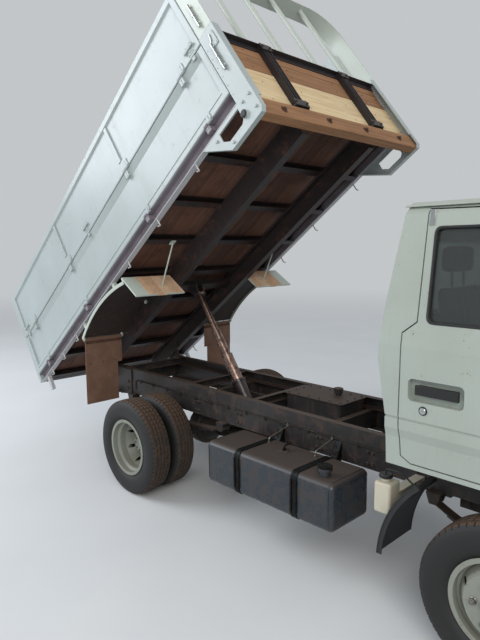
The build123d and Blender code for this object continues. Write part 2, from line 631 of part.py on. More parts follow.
nodes["bumper_lamps"] = FRONT * bumper_lamps()
nodes["rear_lamps"] = rear_lamps()


GUARD_RADIUS = 578.0
GUARD_SHEET = 5.0
GUARD_OUTER_Y = 800.0
GUARD_INNER_Y = 470.0


def front_mudguards():
    """The curved guards behind the front wheels, with their turned edge and stays."""
    radii = (GUARD_RADIUS, GUARD_RADIUS + GUARD_SHEET)
    start, end = math.radians(131), math.radians(177)

    def at(radius, angle):
        return (WHEELBASE + radius * math.cos(angle), 0, AXLE_Z + radius * math.sin(angle))

    def strip(low, high, y0, y1):
        middle = (start + end) / 2
        face = make_face(Curve() + [ThreePointArc(at(low, start), at(low, middle), at(low, end)),
                                    Line(at(low, end), at(high, end)),
                                    ThreePointArc(at(high, end), at(high, middle), at(high, start)),
                                    Line(at(high, start), at(low, start))])
        return Pos(0, y0, 0) * extrude(face, amount=y1 - y0, dir=(0, 1, 0))

    guard = strip(radii[0], radii[1], GUARD_INNER_Y, GUARD_OUTER_Y)
    guard += strip(radii[0] - 22, radii[1], GUARD_OUTER_Y - GUARD_SHEET, GUARD_OUTER_Y)
    stay_x = at(radii[1], math.radians(150))[0] - 8
    stay_z = at(radii[1], math.radians(150))[2] - 6
    stay = rod((stay_x, RAIL_OUTER_Y + SIDE_GAP / 2, RAIL_BOTTOM + 60),
               (stay_x, GUARD_OUTER_Y - 120, stay_z), 12)
    return both(guard + stay)


nodes["front_mudguards"] = front_mudguards()


def washer_bottle():
    """The fluid bottle behind the right front mudguard, on its bracket, with cap and hose."""
    x0, x1, y0, y1, z0, z1 = -644, -550, -740, -640, 573, 735
    bottle = fillet(box(x0, x1, y0, y1, z0, z1).edges(), 14)
    cap_x, cap_y = x0 + 40, (y0 + y1) / 2
    bottle += rod((cap_x, cap_y, z1 - 4), (cap_x, cap_y, z1 + 16), 24)
    bottle += rod((cap_x, cap_y, z1 + 16), (cap_x, cap_y, z1 + 30), 30)
    bottle += box(x0 + 20, x1 - 20, y1 - 2, -RAIL_OUTER_Y, z0 + 55, z0 + 85)
    return bottle


nodes["washer_bottle"] = FRONT * washer_bottle()


# Cab: one outer form, cut from three outlines, gives the shell, the doors and the glass

CAB_WAIST_Z = 1450.0
CAB_SHOULDER_Y = 740.0
CAB_SHOULDER_Z = 2045.0
CAB_SIDE = ((CAB_REAR_X, CAB_BOTTOM), (CAB_REAR_X, 1117), (-588, 1387), (-571, 1621), (-539, 1856),
            (-500, CAB_TOP - 8), (680, CAB_TOP - 30), (760, CAB_TOP - 62), (972, 1350),
            (CAB_FRONT_X, 1250), (CAB_FRONT_X, 800), (900, 790), (680, CAB_BOTTOM))
CAB_HALF_FRONT = ((0, CAB_BOTTOM - 100), (792, CAB_BOTTOM - 100), (798, CAB_BOTTOM), (808, 1018),
                  (CAB_HALF_WIDTH, 1060), (CAB_HALF_WIDTH, CAB_WAIST_Z), (CAB_SHOULDER_Y, CAB_SHOULDER_Z),
                  (690, CAB_TOP - 25), (0, CAB_TOP))
CAB_HALF_PLAN = ((-650, 0), (-650, CAB_HALF_WIDTH + 60), (760, CAB_HALF_WIDTH + 60), (890, 775),
                 (985, 640), (CAB_FRONT_X + 2, 0))
GUTTER_REACH = 14.0
GUTTER_Z = 2078.0


def cab_form(inset):
    """The cab's outer form, moved in by inset on every side."""
    side = offset(outline(CAB_SIDE, "XZ"), amount=-inset, kind=Kind.INTERSECTION)
    half = CAB_HALF_FRONT
    front = outline(list(half) + [(-y, z) for y, z in reversed(half[1:-1])], "YZ")
    front = offset(front, amount=-inset, kind=Kind.INTERSECTION)
    half = CAB_HALF_PLAN
    plan = outline(list(half) + [(x, -y) for x, y in reversed(half[1:-1])], "XY")
    plan = offset(plan, amount=-inset, kind=Kind.INTERSECTION)
    reach = CAB_HALF_WIDTH + 200
    form = Pos(0, -reach, 0) * extrude(side, amount=2 * reach, dir=(0, 1, 0))
    form &= Pos(-800, 0, 0) * extrude(front, amount=2000, dir=(1, 0, 0))
    return form & Pos(0, 0, 600) * extrude(plan, amount=1800, dir=(0, 0, 1))


DOOR_REAR_X = -467.0
DOOR_INNER_Y = 690.0
DOOR_RELIEF = 8.0
DOOR_TOP_REAR = (-394, 2062)
DOOR_OUTLINE = ((-463, 932), (-415, 905), (DOOR_FRONT_X, 905), (DOOR_FRONT_X, 1420), (585, 2050),
                DOOR_TOP_REAR, (-399, 1565), (DOOR_REAR_X, 1510), (-471, 1120))
FLOOR_EDGE_Y = 752.0
DOOR_HINGE_Z = (1080.0, 1340.0)
HINGE_LENGTH = 30.0
HINGE_RADIUS = 5.5
HINGE_PIN_RADIUS = 3.0
DOOR_AXIS_X = DOOR_FRONT_X + 4.0
DOOR_AXIS_Y = CAB_HALF_WIDTH - 5.0
WINDOW_OUTLINE = ((-361, 1561), (600, 1561), (518, 1990), (-361, 1987))
WINDOW_CORNER = 28.0
TUNNEL_HALF = 290.0
TUNNEL_TOP = 1150.0
TUNNEL_FRONT_X = 480.0
TUNNEL_SHEET = 20.0
WINDSCREEN = ((-680, 1390), (680, 1390), (635, 2020), (-635, 2020))
REAR_WINDOW = ((-480, 1560), (480, 1560), (460, 1930), (-460, 1930))
GRILLE_OPENING = (-470, 470, 905, 1010)
HEADLAMP = {"y0": 500.0, "y1": 730.0, "z0": 880.0, "z1": 1030.0}

cab_outer = cab_form(0)
cab_inner = cab_form(CAB_WALL)
cab_wall = cab_outer - cab_inner
glass_skin = cab_form(16) - cab_form(16 + GLASS_THICKNESS)
side_space = CAB_HALF_WIDTH + 100


def door_prism(grow):
    """The door's outline pushed through the cab's left side, above the floor's edge."""
    face = outline(DOOR_OUTLINE, "XZ")
    if grow:
        face = offset(face, amount=grow, kind=Kind.INTERSECTION)
    inner_y = DOOR_INNER_Y - grow
    prism = Pos(0, inner_y, 0) * extrude(face, amount=side_space - inner_y, dir=(0, 1, 0))
    margin = DOOR_GAP - grow
    floor_z = CAB_BOTTOM + CAB_WALL + 4 + margin
    return prism - box(-600, 800, 400, FLOOR_EDGE_Y + margin, CAB_BOTTOM - 50, floor_z)


def window_prism(grow, points, plane, low, high):
    """A rounded window outline pushed through a wall."""
    face = outline(points, plane, radii=WINDOW_CORNER)
    if grow:
        face = offset(face, amount=grow, kind=Kind.INTERSECTION)
    direction = {"XZ": (0, 1, 0), "YZ": (1, 0, 0)}[plane]
    return Pos(*[component * low for component in direction]) * extrude(face, amount=high - low, dir=direction)


def hinge_knuckle(z, toward):
    """Half of a door hinge: a knuckle and its leaf, on the cab's side (1) or the door's (-1)."""
    reach = DOOR_AXIS_X + toward * 14
    leaf_plate = box(min(DOOR_AXIS_X, reach), max(DOOR_AXIS_X, reach), DOOR_AXIS_Y - 5, DOOR_AXIS_Y + 1, z,
                     z + HINGE_LENGTH)
    knuckle = rod((DOOR_AXIS_X, DOOR_AXIS_Y, z), (DOOR_AXIS_X, DOOR_AXIS_Y, z + HINGE_LENGTH), HINGE_RADIUS)
    if toward > 0:
        low = z - HINGE_LENGTH - 1
        return leaf_plate + knuckle + rod((DOOR_AXIS_X, DOOR_AXIS_Y, low), (DOOR_AXIS_X, DOOR_AXIS_Y, z),
                                          HINGE_PIN_RADIUS)
    bore = rod((DOOR_AXIS_X, DOOR_AXIS_Y, z - 1), (DOOR_AXIS_X, DOOR_AXIS_Y, z + HINGE_LENGTH + 1),
               HINGE_PIN_RADIUS + RUNNING_GAP)
    return leaf_plate + knuckle - bore


def cab_shell():
    """Floor, walls, pillars and roof, with the door and window openings and the engine tunnel."""
    shell = cab_wall
    opening = door_prism(DOOR_GAP)
    opening += box(DOOR_FRONT_X, DOOR_FRONT_X + DOOR_HINGE_GAP, 700, side_space, 985, 1440)
    shell -= both(opening)
    for z in DOOR_HINGE_Z:
        shell += both(hinge_knuckle(z + HINGE_LENGTH + 1, 1))
    shell -= window_prism(0, WINDSCREEN, "YZ", 500, 1100)
    shell -= window_prism(0, REAR_WINDOW, "YZ", -700, -300)
    tunnel = box(CAB_REAR_X + 10, TUNNEL_FRONT_X + TUNNEL_SHEET, -TUNNEL_HALF - TUNNEL_SHEET,
                 TUNNEL_HALF + TUNNEL_SHEET, CAB_BOTTOM + 5, TUNNEL_TOP + TUNNEL_SHEET)
    shell += tunnel & cab_outer
    shell -= box(CAB_REAR_X - 100, TUNNEL_FRONT_X, -TUNNEL_HALF, TUNNEL_HALF, CAB_BOTTOM - 10, TUNNEL_TOP)
    y0, y1, z0, z1 = GRILLE_OPENING
    shell -= box(CAB_FRONT_X - 100, CAB_FRONT_X + 50, y0, y1, z0, z1)
    shell -= both(box(CAB_FRONT_X - 160, CAB_FRONT_X + 50, HEADLAMP["y0"], HEADLAMP["y1"], HEADLAMP["z0"],
                      HEADLAMP["z1"]))
    gutter = (cab_form(-GUTTER_REACH) - cab_form(6)) & box(-560, 660, -side_space, side_space, GUTTER_Z,
                                                          GUTTER_Z + 9)
    shell += gutter
    groove = (cab_form(-1) - cab_form(4)) & box(-600, 990, -side_space, side_space, 1109, 1117)
    shell -= groove
    for y in (-CAB_LUG_Y, CAB_LUG_Y):
        shell += cab_lug(y)
    return shell


CAB_LUG_Y = 250.0
CAB_LUG_WIDTH = 20.0


def cab_lug(y):
    """The arm under the cab's front that turns on the chassis' cross tube."""
    points = [(CAB_PIVOT_X - 42, CAB_PIVOT_Z), (CAB_PIVOT_X - 20, CAB_PIVOT_Z - 42),
              (CAB_PIVOT_X + 20, CAB_PIVOT_Z - 42), (CAB_PIVOT_X + 42, CAB_PIVOT_Z), (CAB_PIVOT_X + 50, 830),
              (CAB_PIVOT_X - 60, 830)]
    lug = slab(points, "XZ", y - CAB_LUG_WIDTH / 2, y + CAB_LUG_WIDTH / 2)
    return lug - rod((CAB_PIVOT_X, y - 20, CAB_PIVOT_Z), (CAB_PIVOT_X, y + 20, CAB_PIVOT_Z),
                     CAB_TUBE_RADIUS + RUNNING_GAP)


nodes["cab_shell"] = FRONT * cab_shell()
screen = glass_skin & window_prism(-SEAT_GAP, WINDSCREEN, "YZ", 500, 1100)
back_glass = glass_skin & window_prism(-SEAT_GAP, REAR_WINDOW, "YZ", -700, -300)
nodes["cab_glass"] = FRONT * (screen + back_glass)


HANDLE_POCKET = {"x0": -428.0, "x1": -168.0, "z0": 1206.0, "z1": 1309.0, "floor_y": 785.0}
HANDLE_BAR = {"x0": -396.0, "x1": -196.0, "z0": 1240.0, "z1": 1279.0}
LOCK_AT = (-351.0, 1171.0)


def door():
    """The left door: wall, window opening, recessed handle, lock and hinge halves."""
    x0, x1, z0, z1, floor_y = HANDLE_POCKET.values()
    panel = cab_wall & door_prism(0)
    panel -= box(DOOR_REAR_X, DOOR_TOP_REAR[0] + DOOR_RELIEF, 500, CAB_SHOULDER_Y - 8, CAB_WAIST_Z + 200,
                 CAB_TOP)
    panel -= window_prism(0, WINDOW_OUTLINE, "XZ", 500, side_space)
    pocket = fillet(box(x0, x1, floor_y, side_space, z0, z1).edges().filter_by(Axis.Y), 22)
    panel -= pocket
    groove = (cab_form(-1) - cab_form(4)) & box(-600, 990, 500, side_space, 1109, 1117)
    panel -= groove
    x0, x1, z0, z1 = HANDLE_BAR.values()
    bar = fillet(box(x0, x1, floor_y + 17, floor_y + 29, z0, z1).edges().filter_by(Axis.Y), 8)
    panel += bar + box(x0 + 4, x0 + 22, floor_y - 2, floor_y + 18, z0 + 8, z1 - 8)
    panel += box(x1 - 22, x1 - 4, floor_y - 2, floor_y + 18, z0 + 8, z1 - 8)
    panel += rod((LOCK_AT[0], floor_y, LOCK_AT[1]), (LOCK_AT[0], CAB_HALF_WIDTH + 4, LOCK_AT[1]), 15)
    for z in DOOR_HINGE_Z:
        cab_half = z + HINGE_LENGTH + 1
        panel -= rod((DOOR_AXIS_X, DOOR_AXIS_Y, cab_half - 1),
                     (DOOR_AXIS_X, DOOR_AXIS_Y, cab_half + HINGE_LENGTH + 1), HINGE_RADIUS + 2)
        panel += hinge_knuckle(z, -1)
        panel -= rod((DOOR_AXIS_X, DOOR_AXIS_Y, z - 1), (DOOR_AXIS_X, DOOR_AXIS_Y, cab_half),
                     HINGE_PIN_RADIUS + RUNNING_GAP)
    return panel


left_door = FRONT * door()
left_glass = FRONT * (glass_skin & window_prism(-SEAT_GAP, WINDOW_OUTLINE, "XZ", 500, side_space))
nodes["door_left"] = left_door
nodes["door_right"] = mirrored(left_door)
nodes["door_glass_left"] = left_glass
nodes["door_glass_right"] = mirrored(left_glass)


SEAT_Y = 505.0
SEAT_HALF_WIDTH = 215.0
FLOOR_TOP = CAB_BOTTOM + CAB_WALL


def seats():
    """Two seats on their boxes beside the engine tunnel, with backs and headrests."""
    low, high = SEAT_Y - SEAT_HALF_WIDTH + 30, SEAT_Y + SEAT_HALF_WIDTH
    base = box(-320, 100, SEAT_Y - 190, SEAT_Y + 190, FLOOR_TOP, FLOOR_TOP + 170)
    cushion = fillet(box(-330, 160, low, high, FLOOR_TOP + 170, FLOOR_TOP + 310).edges(), 35)
    back = slab([(-330, FLOOR_TOP + 290), (-210, FLOOR_TOP + 290), (-300, FLOOR_TOP + 820),
                 (-390, FLOOR_TOP + 820)], "XZ", low + 5, high - 5)
    back = fillet(back.edges(), 28)
    rest = fillet(box(-405, -310, SEAT_Y - 110, SEAT_Y + 130, FLOOR_TOP + 850, FLOOR_TOP + 990).edges(), 28)
    stalks = rod((-355, SEAT_Y - 50, FLOOR_TOP + 800), (-360, SEAT_Y - 50, FLOOR_TOP + 870), 6)
    stalks += rod((-355, SEAT_Y + 70, FLOOR_TOP + 800), (-360, SEAT_Y + 70, FLOOR_TOP + 870), 6)
    return both(base + cushion + back + rest + stalks)


WHEEL_CENTRE = (370.0, -430.0, 1395.0)
WHEEL_RADIUS = 195.0


def dashboard():
    """The facia across the cab, with the column and the steering wheel on the right."""
    points = [(990, 1090), (990, 1262), (800, 1345), (630, 1350), (530, 1290), (520, 1160), (620, 1090)]
    facia = slab(points, "XZ", -745, 745)
    facia &= cab_form(CAB_WALL + SEAT_GAP)
    centre = Vector(*WHEEL_CENTRE)
    foot = Vector(600, WHEEL_CENTRE[1], 1235)
    axis = (centre - foot).normalized()
    column = rod(foot, centre - axis * 15, 32)
    place = Plane(origin=centre, z_dir=axis)
    wheel = place * Torus(WHEEL_RADIUS, 13)
    wheel += place * Pos(0, 0, -12) * Cylinder(48, 36)
    for turn in (90, 210, 330):
        spoke = Pos(WHEEL_RADIUS / 2, 0, -4) * Box(WHEEL_RADIUS - 4, 26, 12)
        wheel += place * Rot(0, 0, turn) * spoke
    return facia + column + wheel


nodes["seats"] = FRONT * seats()
nodes["dashboard"] = FRONT * dashboard()


def grille():
    """The slatted grille in the front panel's opening."""
    y0, y1, z0, z1 = GRILLE_OPENING
    gap = SEAT_GAP
    x0, x1 = CAB_FRONT_X - 45, CAB_FRONT_X - 14
    frame = box(x0, x1, y0 + gap, y1 - gap, z0 + gap, z1 - gap)
    frame -= box(x0 - 1, x1 + 1, y0 + 14, y1 - 14, z0 + 12, z1 - 12)
    slat_count = 4
    pitch = (z1 - z0 - 24) / (slat_count + 1)
    for index in range(1, slat_count + 1):
        z = z0 + 12 + index * pitch
        frame += box(x0 + 4, x1 - 3, y0 + 10, y1 - 10, z - 3.5, z + 3.5)
    for y in (-235, 0, 235):
        frame += box(x0 + 8, x1 - 10, y - 5, y + 5, z0 + 10, z1 - 10)
    return frame


def headlamps():
    """Rectangular lamps that fill their openings and follow the front panel."""
    gap = SEAT_GAP
    y0, y1, z0, z1 = HEADLAMP.values()
    opening = box(CAB_FRONT_X - 160, CAB_FRONT_X + 50, y0 + gap, y1 - gap, z0 + gap, z1 - gap)
    return both((cab_form(5) - cab_form(CAB_WALL - 2)) & opening)


MIRROR_STAY_RADIUS = 9.0
MIRROR_AT = (935.0, 940.0, 1560.0)
MIRROR_SIZE = (46.0, 180.0, 340.0)


def mirrors():
    """Stays from the front corners with the mirror heads on them."""
    x, y, z = MIRROR_AT
    slope = (CAB_HALF_WIDTH - CAB_SHOULDER_Y) / (CAB_SHOULDER_Z - CAB_WAIST_Z)
    top_y = CAB_HALF_WIDTH - slope * (1900 - CAB_WAIST_Z) + MIRROR_STAY_RADIUS + 2 * SEAT_GAP
    foot_y = CAB_HALF_WIDTH + SEAT_GAP
    route = [(800, foot_y + 12, 1290), (x - 10, y, 1290), (x - 10, y, 1840), (745, top_y, 1900)]
    stay = rod((800, foot_y, 1290), (800, foot_y + 14, 1290), 22)
    for start, end in zip(route, route[1:]):
        stay += rod(start, end, MIRROR_STAY_RADIUS) + Pos(*end) * Sphere(MIRROR_STAY_RADIUS)
    head = Pos(x + 12, y, z) * Box(*MIRROR_SIZE)
    return both(stay + fillet(head.edges(), 18))


def radiator():
    """The radiator between the rails: core, tanks and side arms."""
    x0, x1 = 512, 582
    core = box(x0 + 12, x1 - 12, -230, 230, 520, 790)
    tanks = fillet(box(x0, x1, -240, 240, 786, 846).edges(), 12)
    tanks += fillet(box(x0, x1, -240, 240, 470, 524).edges(), 12)
    arms = both(box(x0 + 15, x1 - 15, 225, RAIL_WEB_Y, 640, 660))
    return core + tanks + arms


nodes["grille"] = FRONT * grille()
nodes["headlamps"] = FRONT * headlamps()
nodes["mirrors"] = FRONT * mirrors()
nodes["radiator"] = FRONT * radiator()


# Tipping bed

POST_U0 = BED_LENGTH - POST_LENGTH
POST_SHEET = 6.0
BRACKET_SHEET = 8.0
RIM_DEPTH = 34.0
FLOOR_FRONT_U = BED_LENGTH - 120.0
FRONT_SILL_U = BED_LENGTH - 80.0
WALL_SHEET = 25.0
CROSS_PITCH = (FLOOR_FRONT_U - 100) / (CROSS_MEMBER_COUNT - 1)
CROSS_U = [60 + index * CROSS_PITCH for index in range(CROSS_MEMBER_COUNT)]
EAR_Y = RAIL_OUTER_Y + TIP_PLATE + 8.0
EAR_SHEET = 14.0
BED_RAIL_Y0 = 330.0
BED_RAIL_SHEET = 6.0
HINGE_AXIS_Y = BED_HALF + 7.0
BOARD_HINGE_RADIUS = 10.0
BOARD_PIN_RADIUS = 5.0
LOWER_HINGE_W = SILL_HEIGHT + 3.0
UPPER_HINGE_W = LOWER_BOARD_TOP + BOARD_GAP / 2
BOARD_U0 = 4.0
BOARD_U1 = POST_U0 - 5.0
HINGE_U = (260.0, 1190.0, BED_LENGTH - 1210.0, BED_LENGTH - 400.0)
KNUCKLE = 40.0
HOOK_U = (272.0, 566.0, 879.0, 1925.0, BED_LENGTH - 1125.0, BED_LENGTH - 605.0)


def hinge_line(w, grow):
    """A round bar along the side boards' hinge axis, for cutting room round the knuckles."""
    return rod((0, HINGE_AXIS_Y, w), (BED_LENGTH - POST_LENGTH, HINGE_AXIS_Y, w), grow)


def fixed_knuckles(w, drop, depth):
    """The carrying side's knuckles and pins, with leaves that reach down by drop and in by depth."""
    parts = None
    for u in HINGE_U:
        leaf_plate = box(u, u + KNUCKLE, BED_HALF - 1, BED_HALF + 7, w - drop, w)
        leaf_plate += box(u, u + KNUCKLE, BED_HALF - depth, BED_HALF + 7, w - drop, w - BOARD_HINGE_RADIUS - 3)
        knuckle = rod((u, HINGE_AXIS_Y, w), (u + KNUCKLE, HINGE_AXIS_Y, w), BOARD_HINGE_RADIUS)
        pin = rod((u, HINGE_AXIS_Y, w), (u + 2 * KNUCKLE + 1, HINGE_AXIS_Y, w), BOARD_PIN_RADIUS)
        half = leaf_plate + knuckle + pin
        parts = half if parts is None else parts + half
    return parts


def moving_knuckles(w, rise):
    """The board's knuckles at each hinge, with leaves that reach up by rise."""
    parts = None
    for u in HINGE_U:
        start = u + KNUCKLE + 1
        leaf_plate = box(start, start + KNUCKLE, BED_HALF - 1, BED_HALF + 7, w, w + rise)
        knuckle = rod((start, HINGE_AXIS_Y, w), (start + KNUCKLE, HINGE_AXIS_Y, w), BOARD_HINGE_RADIUS)
        bore = rod((start - 1, HINGE_AXIS_Y, w), (start + KNUCKLE + 1, HINGE_AXIS_Y, w),
                   BOARD_PIN_RADIUS + RUNNING_GAP)
        half = leaf_plate + knuckle - bore
        parts = half if parts is None else parts + half
    return parts


def rope_hook(u):
    """A bent round bar under the sill for a rope."""
    y = BED_HALF - 12
    return rod((u, y, 3), (u, y, -52), 5) + Pos(u, y, -52) * Sphere(5) + rod((u, y, -52), (u, y + 22, -60), 5)


RAM_EYE_W = -RAM_EYE_DROP
RAM_EYE_RADIUS = 32.0
RAM_EYE_HALF_WIDTH = 26.0


def ram_top_bracket():
    """Two ears and a short beam under the floor where the cylinder's eye pushes."""
    reach = BED_RAIL_Y0 + BED_RAIL_WIDTH - BED_RAIL_SHEET
    bracket = box(RAM_EYE_U - 40, RAM_EYE_U + 40, -reach, reach, -50, -BED_RAIL_SHEET)
    inner = RAM_EYE_HALF_WIDTH + SIDE_GAP
    points = [(RAM_EYE_U - 55, -50), (RAM_EYE_U + 55, -50), (RAM_EYE_U + 26, RAM_EYE_W - 34),
              (RAM_EYE_U - 26, RAM_EYE_W - 34)]
    ears = both(slab(points, "XZ", inner, inner + 14))
    for side in (-1, 1):
        bolt = rod((RAM_EYE_U, side * (inner + 1), RAM_EYE_W), (RAM_EYE_U, side * (inner + 28), RAM_EYE_W), 16)
        ears += bolt
    return bracket + ears


def bed_frame():
    """Main rails with their pivot ears, and the side sills with their hinge halves and hooks."""
    half = channel(CROSS_U[0], FLOOR_FRONT_U, BED_RAIL_Y0 + BED_RAIL_WIDTH, BED_RAIL_Y0, -BED_RAIL_HEIGHT, 0,
                   BED_RAIL_SHEET)
    sill = channel(0, POST_U0 - SIDE_GAP, BOARD_INNER_Y, BED_HALF, 0, SILL_HEIGHT, 5)
    sill -= hinge_line(LOWER_HINGE_W, BOARD_HINGE_RADIUS + 1.5)
    half += sill + fixed_knuckles(LOWER_HINGE_W, 50, BOARD_THICKNESS - 4)
    ear = [(PIVOT_U - 130, -BED_RAIL_HEIGHT + 90), (PIVOT_U + 130, -BED_RAIL_HEIGHT + 90),
           (PIVOT_U + 46, PIVOT_W), (PIVOT_U + 20, PIVOT_W - 42), (PIVOT_U - 20, PIVOT_W - 42),
           (PIVOT_U - 46, PIVOT_W)]
    half += slab(ear, "XZ", EAR_Y, EAR_Y + EAR_SHEET)
    half += rod((PIVOT_U, RAIL_OUTER_Y - SIDE_GAP, PIVOT_W), (PIVOT_U, EAR_Y + EAR_SHEET + 14, PIVOT_W), PIVOT_RADIUS)
    for u in HOOK_U:
        half += rope_hook(u)
    half += box(115, 148, BED_HALF - 42, BED_HALF - 12, -140, 2)
    return both(half)


def bed_cross_members():
    """The channels under the floor, the beams at its two ends and the cylinder's bracket."""
    ties = ram_top_bracket()
    for u in CROSS_U:
        ties += cross_channel(u, u + 50, BOARD_INNER_Y, 0, SILL_HEIGHT - FLOOR_THICKNESS, 5)
    ties += box(0, 55, -BOARD_INNER_Y, BOARD_INNER_Y, 0, SILL_HEIGHT)
    end_y = BED_HALF - BRACKET_SHEET
    return ties + box(FLOOR_FRONT_U, FRONT_SILL_U, -end_y, end_y, -60, SILL_HEIGHT)


nodes["bed_frame"] = BED * bed_frame()
nodes["bed_cross_members"] = BED * bed_cross_members()

PLANK_COUNT = 8
PLANK_GAP = 4.0


def bed_floor():
    """Planks along the bed, on the cross members."""
    width = (2 * BOARD_INNER_Y - 8) / PLANK_COUNT
    low = SILL_HEIGHT - FLOOR_THICKNESS
    planks = None
    for index in range(PLANK_COUNT):
        y0 = -BOARD_INNER_Y + 4 + index * width
        plank = box(55 + SIDE_GAP, FLOOR_FRONT_U - SIDE_GAP, y0 + PLANK_GAP / 2, y0 + width - PLANK_GAP / 2, low,
                    SILL_HEIGHT)
        planks = plank if planks is None else planks + plank
    return planks


nodes["bed_floor"] = BED * bed_floor()


REAR_POST = 58.0
GATE_AXIS_U = -26.0
GATE_AXIS_W = 992.0
GATE_LUG_Y = 700.0


def lock_rod(low, high):
    """An upright lock bar on the outside of a front post, in its two guides."""
    u, y = POST_U0 + 62, BED_HALF + 11
    bar = rod((u, y, low), (u, y, high), 8)
    for w in (low + 20, high - 30):
        bar += box(u - 14, u + 14, BED_HALF - 1, y + 1, w, w + 12)
    return bar


def corner_posts():
    """Front corner posts with their lower brackets and lock rods, and the rear gate posts."""
    y1 = BED_HALF
    outer = box(POST_U0, BED_LENGTH, y1 - POST_SHEET, y1, 0, WALL_TOP + 20)
    front = box(BED_LENGTH - POST_SHEET, BED_LENGTH, y1 - 55, y1, -60, WALL_TOP + 20)
    back = box(POST_U0, POST_U0 + POST_SHEET, y1 - 40, y1, SILL_HEIGHT + 2, WALL_TOP + 20)
    end = BED_LENGTH
    plate_points = [(end - 500, -2), (end - 308, -BRACKET_DROP), (end - 20, -BRACKET_DROP),
                    (end, -BRACKET_DROP + 25), (end, 8), (POST_U0, 8), (POST_U0, -2)]
    plate = slab(plate_points, "XZ", y1 - BRACKET_SHEET, y1)
    hole_points = [(end - 334, -28), (end - 337, -84), (end - 292, -123), (end - 165, -123),
                   (end - 142, -104), (end - 142, -28)]
    hole = slab(hole_points, "XZ", y1 - 60, y1 + 10)
    rim = slab(plate_points[:5], "XZ", y1 - RIM_DEPTH, y1)
    shrunk = [(end - 478, 0), (end - 302, -BRACKET_DROP + 7), (end - 23, -BRACKET_DROP + 7),
              (end - 7, -BRACKET_DROP + 28), (end - 7, 20)]
    rim -= slab(shrunk, "XZ", y1 - 60, y1 + 10)
    post = outer + front + back + (plate - hole) + rim
    post += rod((end - 116, y1 - 2, -96), (end - 116, y1 + 14, -96), 23)
    post += lock_rod(205, 405)
    rear = box(0, REAR_POST, BOARD_INNER_Y - 48, BOARD_INNER_Y - SIDE_GAP, SILL_HEIGHT, UPPER_BOARD_TOP)
    lug_points = [(REAR_POST, UPPER_BOARD_TOP - 60), (REAR_POST, UPPER_BOARD_TOP + 10),
                  (GATE_AXIS_U + 8, GATE_AXIS_W + 20), (GATE_AXIS_U - 16, GATE_AXIS_W + 10),
                  (GATE_AXIS_U - 16, GATE_AXIS_W - 8), (2, UPPER_BOARD_TOP - 60)]
    lug = slab(lug_points, "XZ", BOARD_INNER_Y - 48, BOARD_INNER_Y - 34)
    pin = rod((GATE_AXIS_U, BOARD_INNER_Y - 40, GATE_AXIS_W), (GATE_AXIS_U, GATE_LUG_Y - 10, GATE_AXIS_W), 9)
    return both(post) + both(rear + lug + pin)


nodes["corner_posts"] = BED * corner_posts()


FLAP_HINGE_U = 968.0
FLAP_HINGE_W = -98.0
FLAP_PIN_RADIUS = 6.0
FLAP_EAR_Y = (466.0, 828.5)
GUARD_ARC = ((960.0, -78.0), (1370.0, -8.0), (1780.0, -78.0))
ARCH_SHEET = 5.0
ARCH_INNER_Y = 400.0
SPLASH = {"top_u": 1776.0, "top_w": -52.0, "low_u": 1852.0, "low_w": -266.0, "thickness": 12.0}


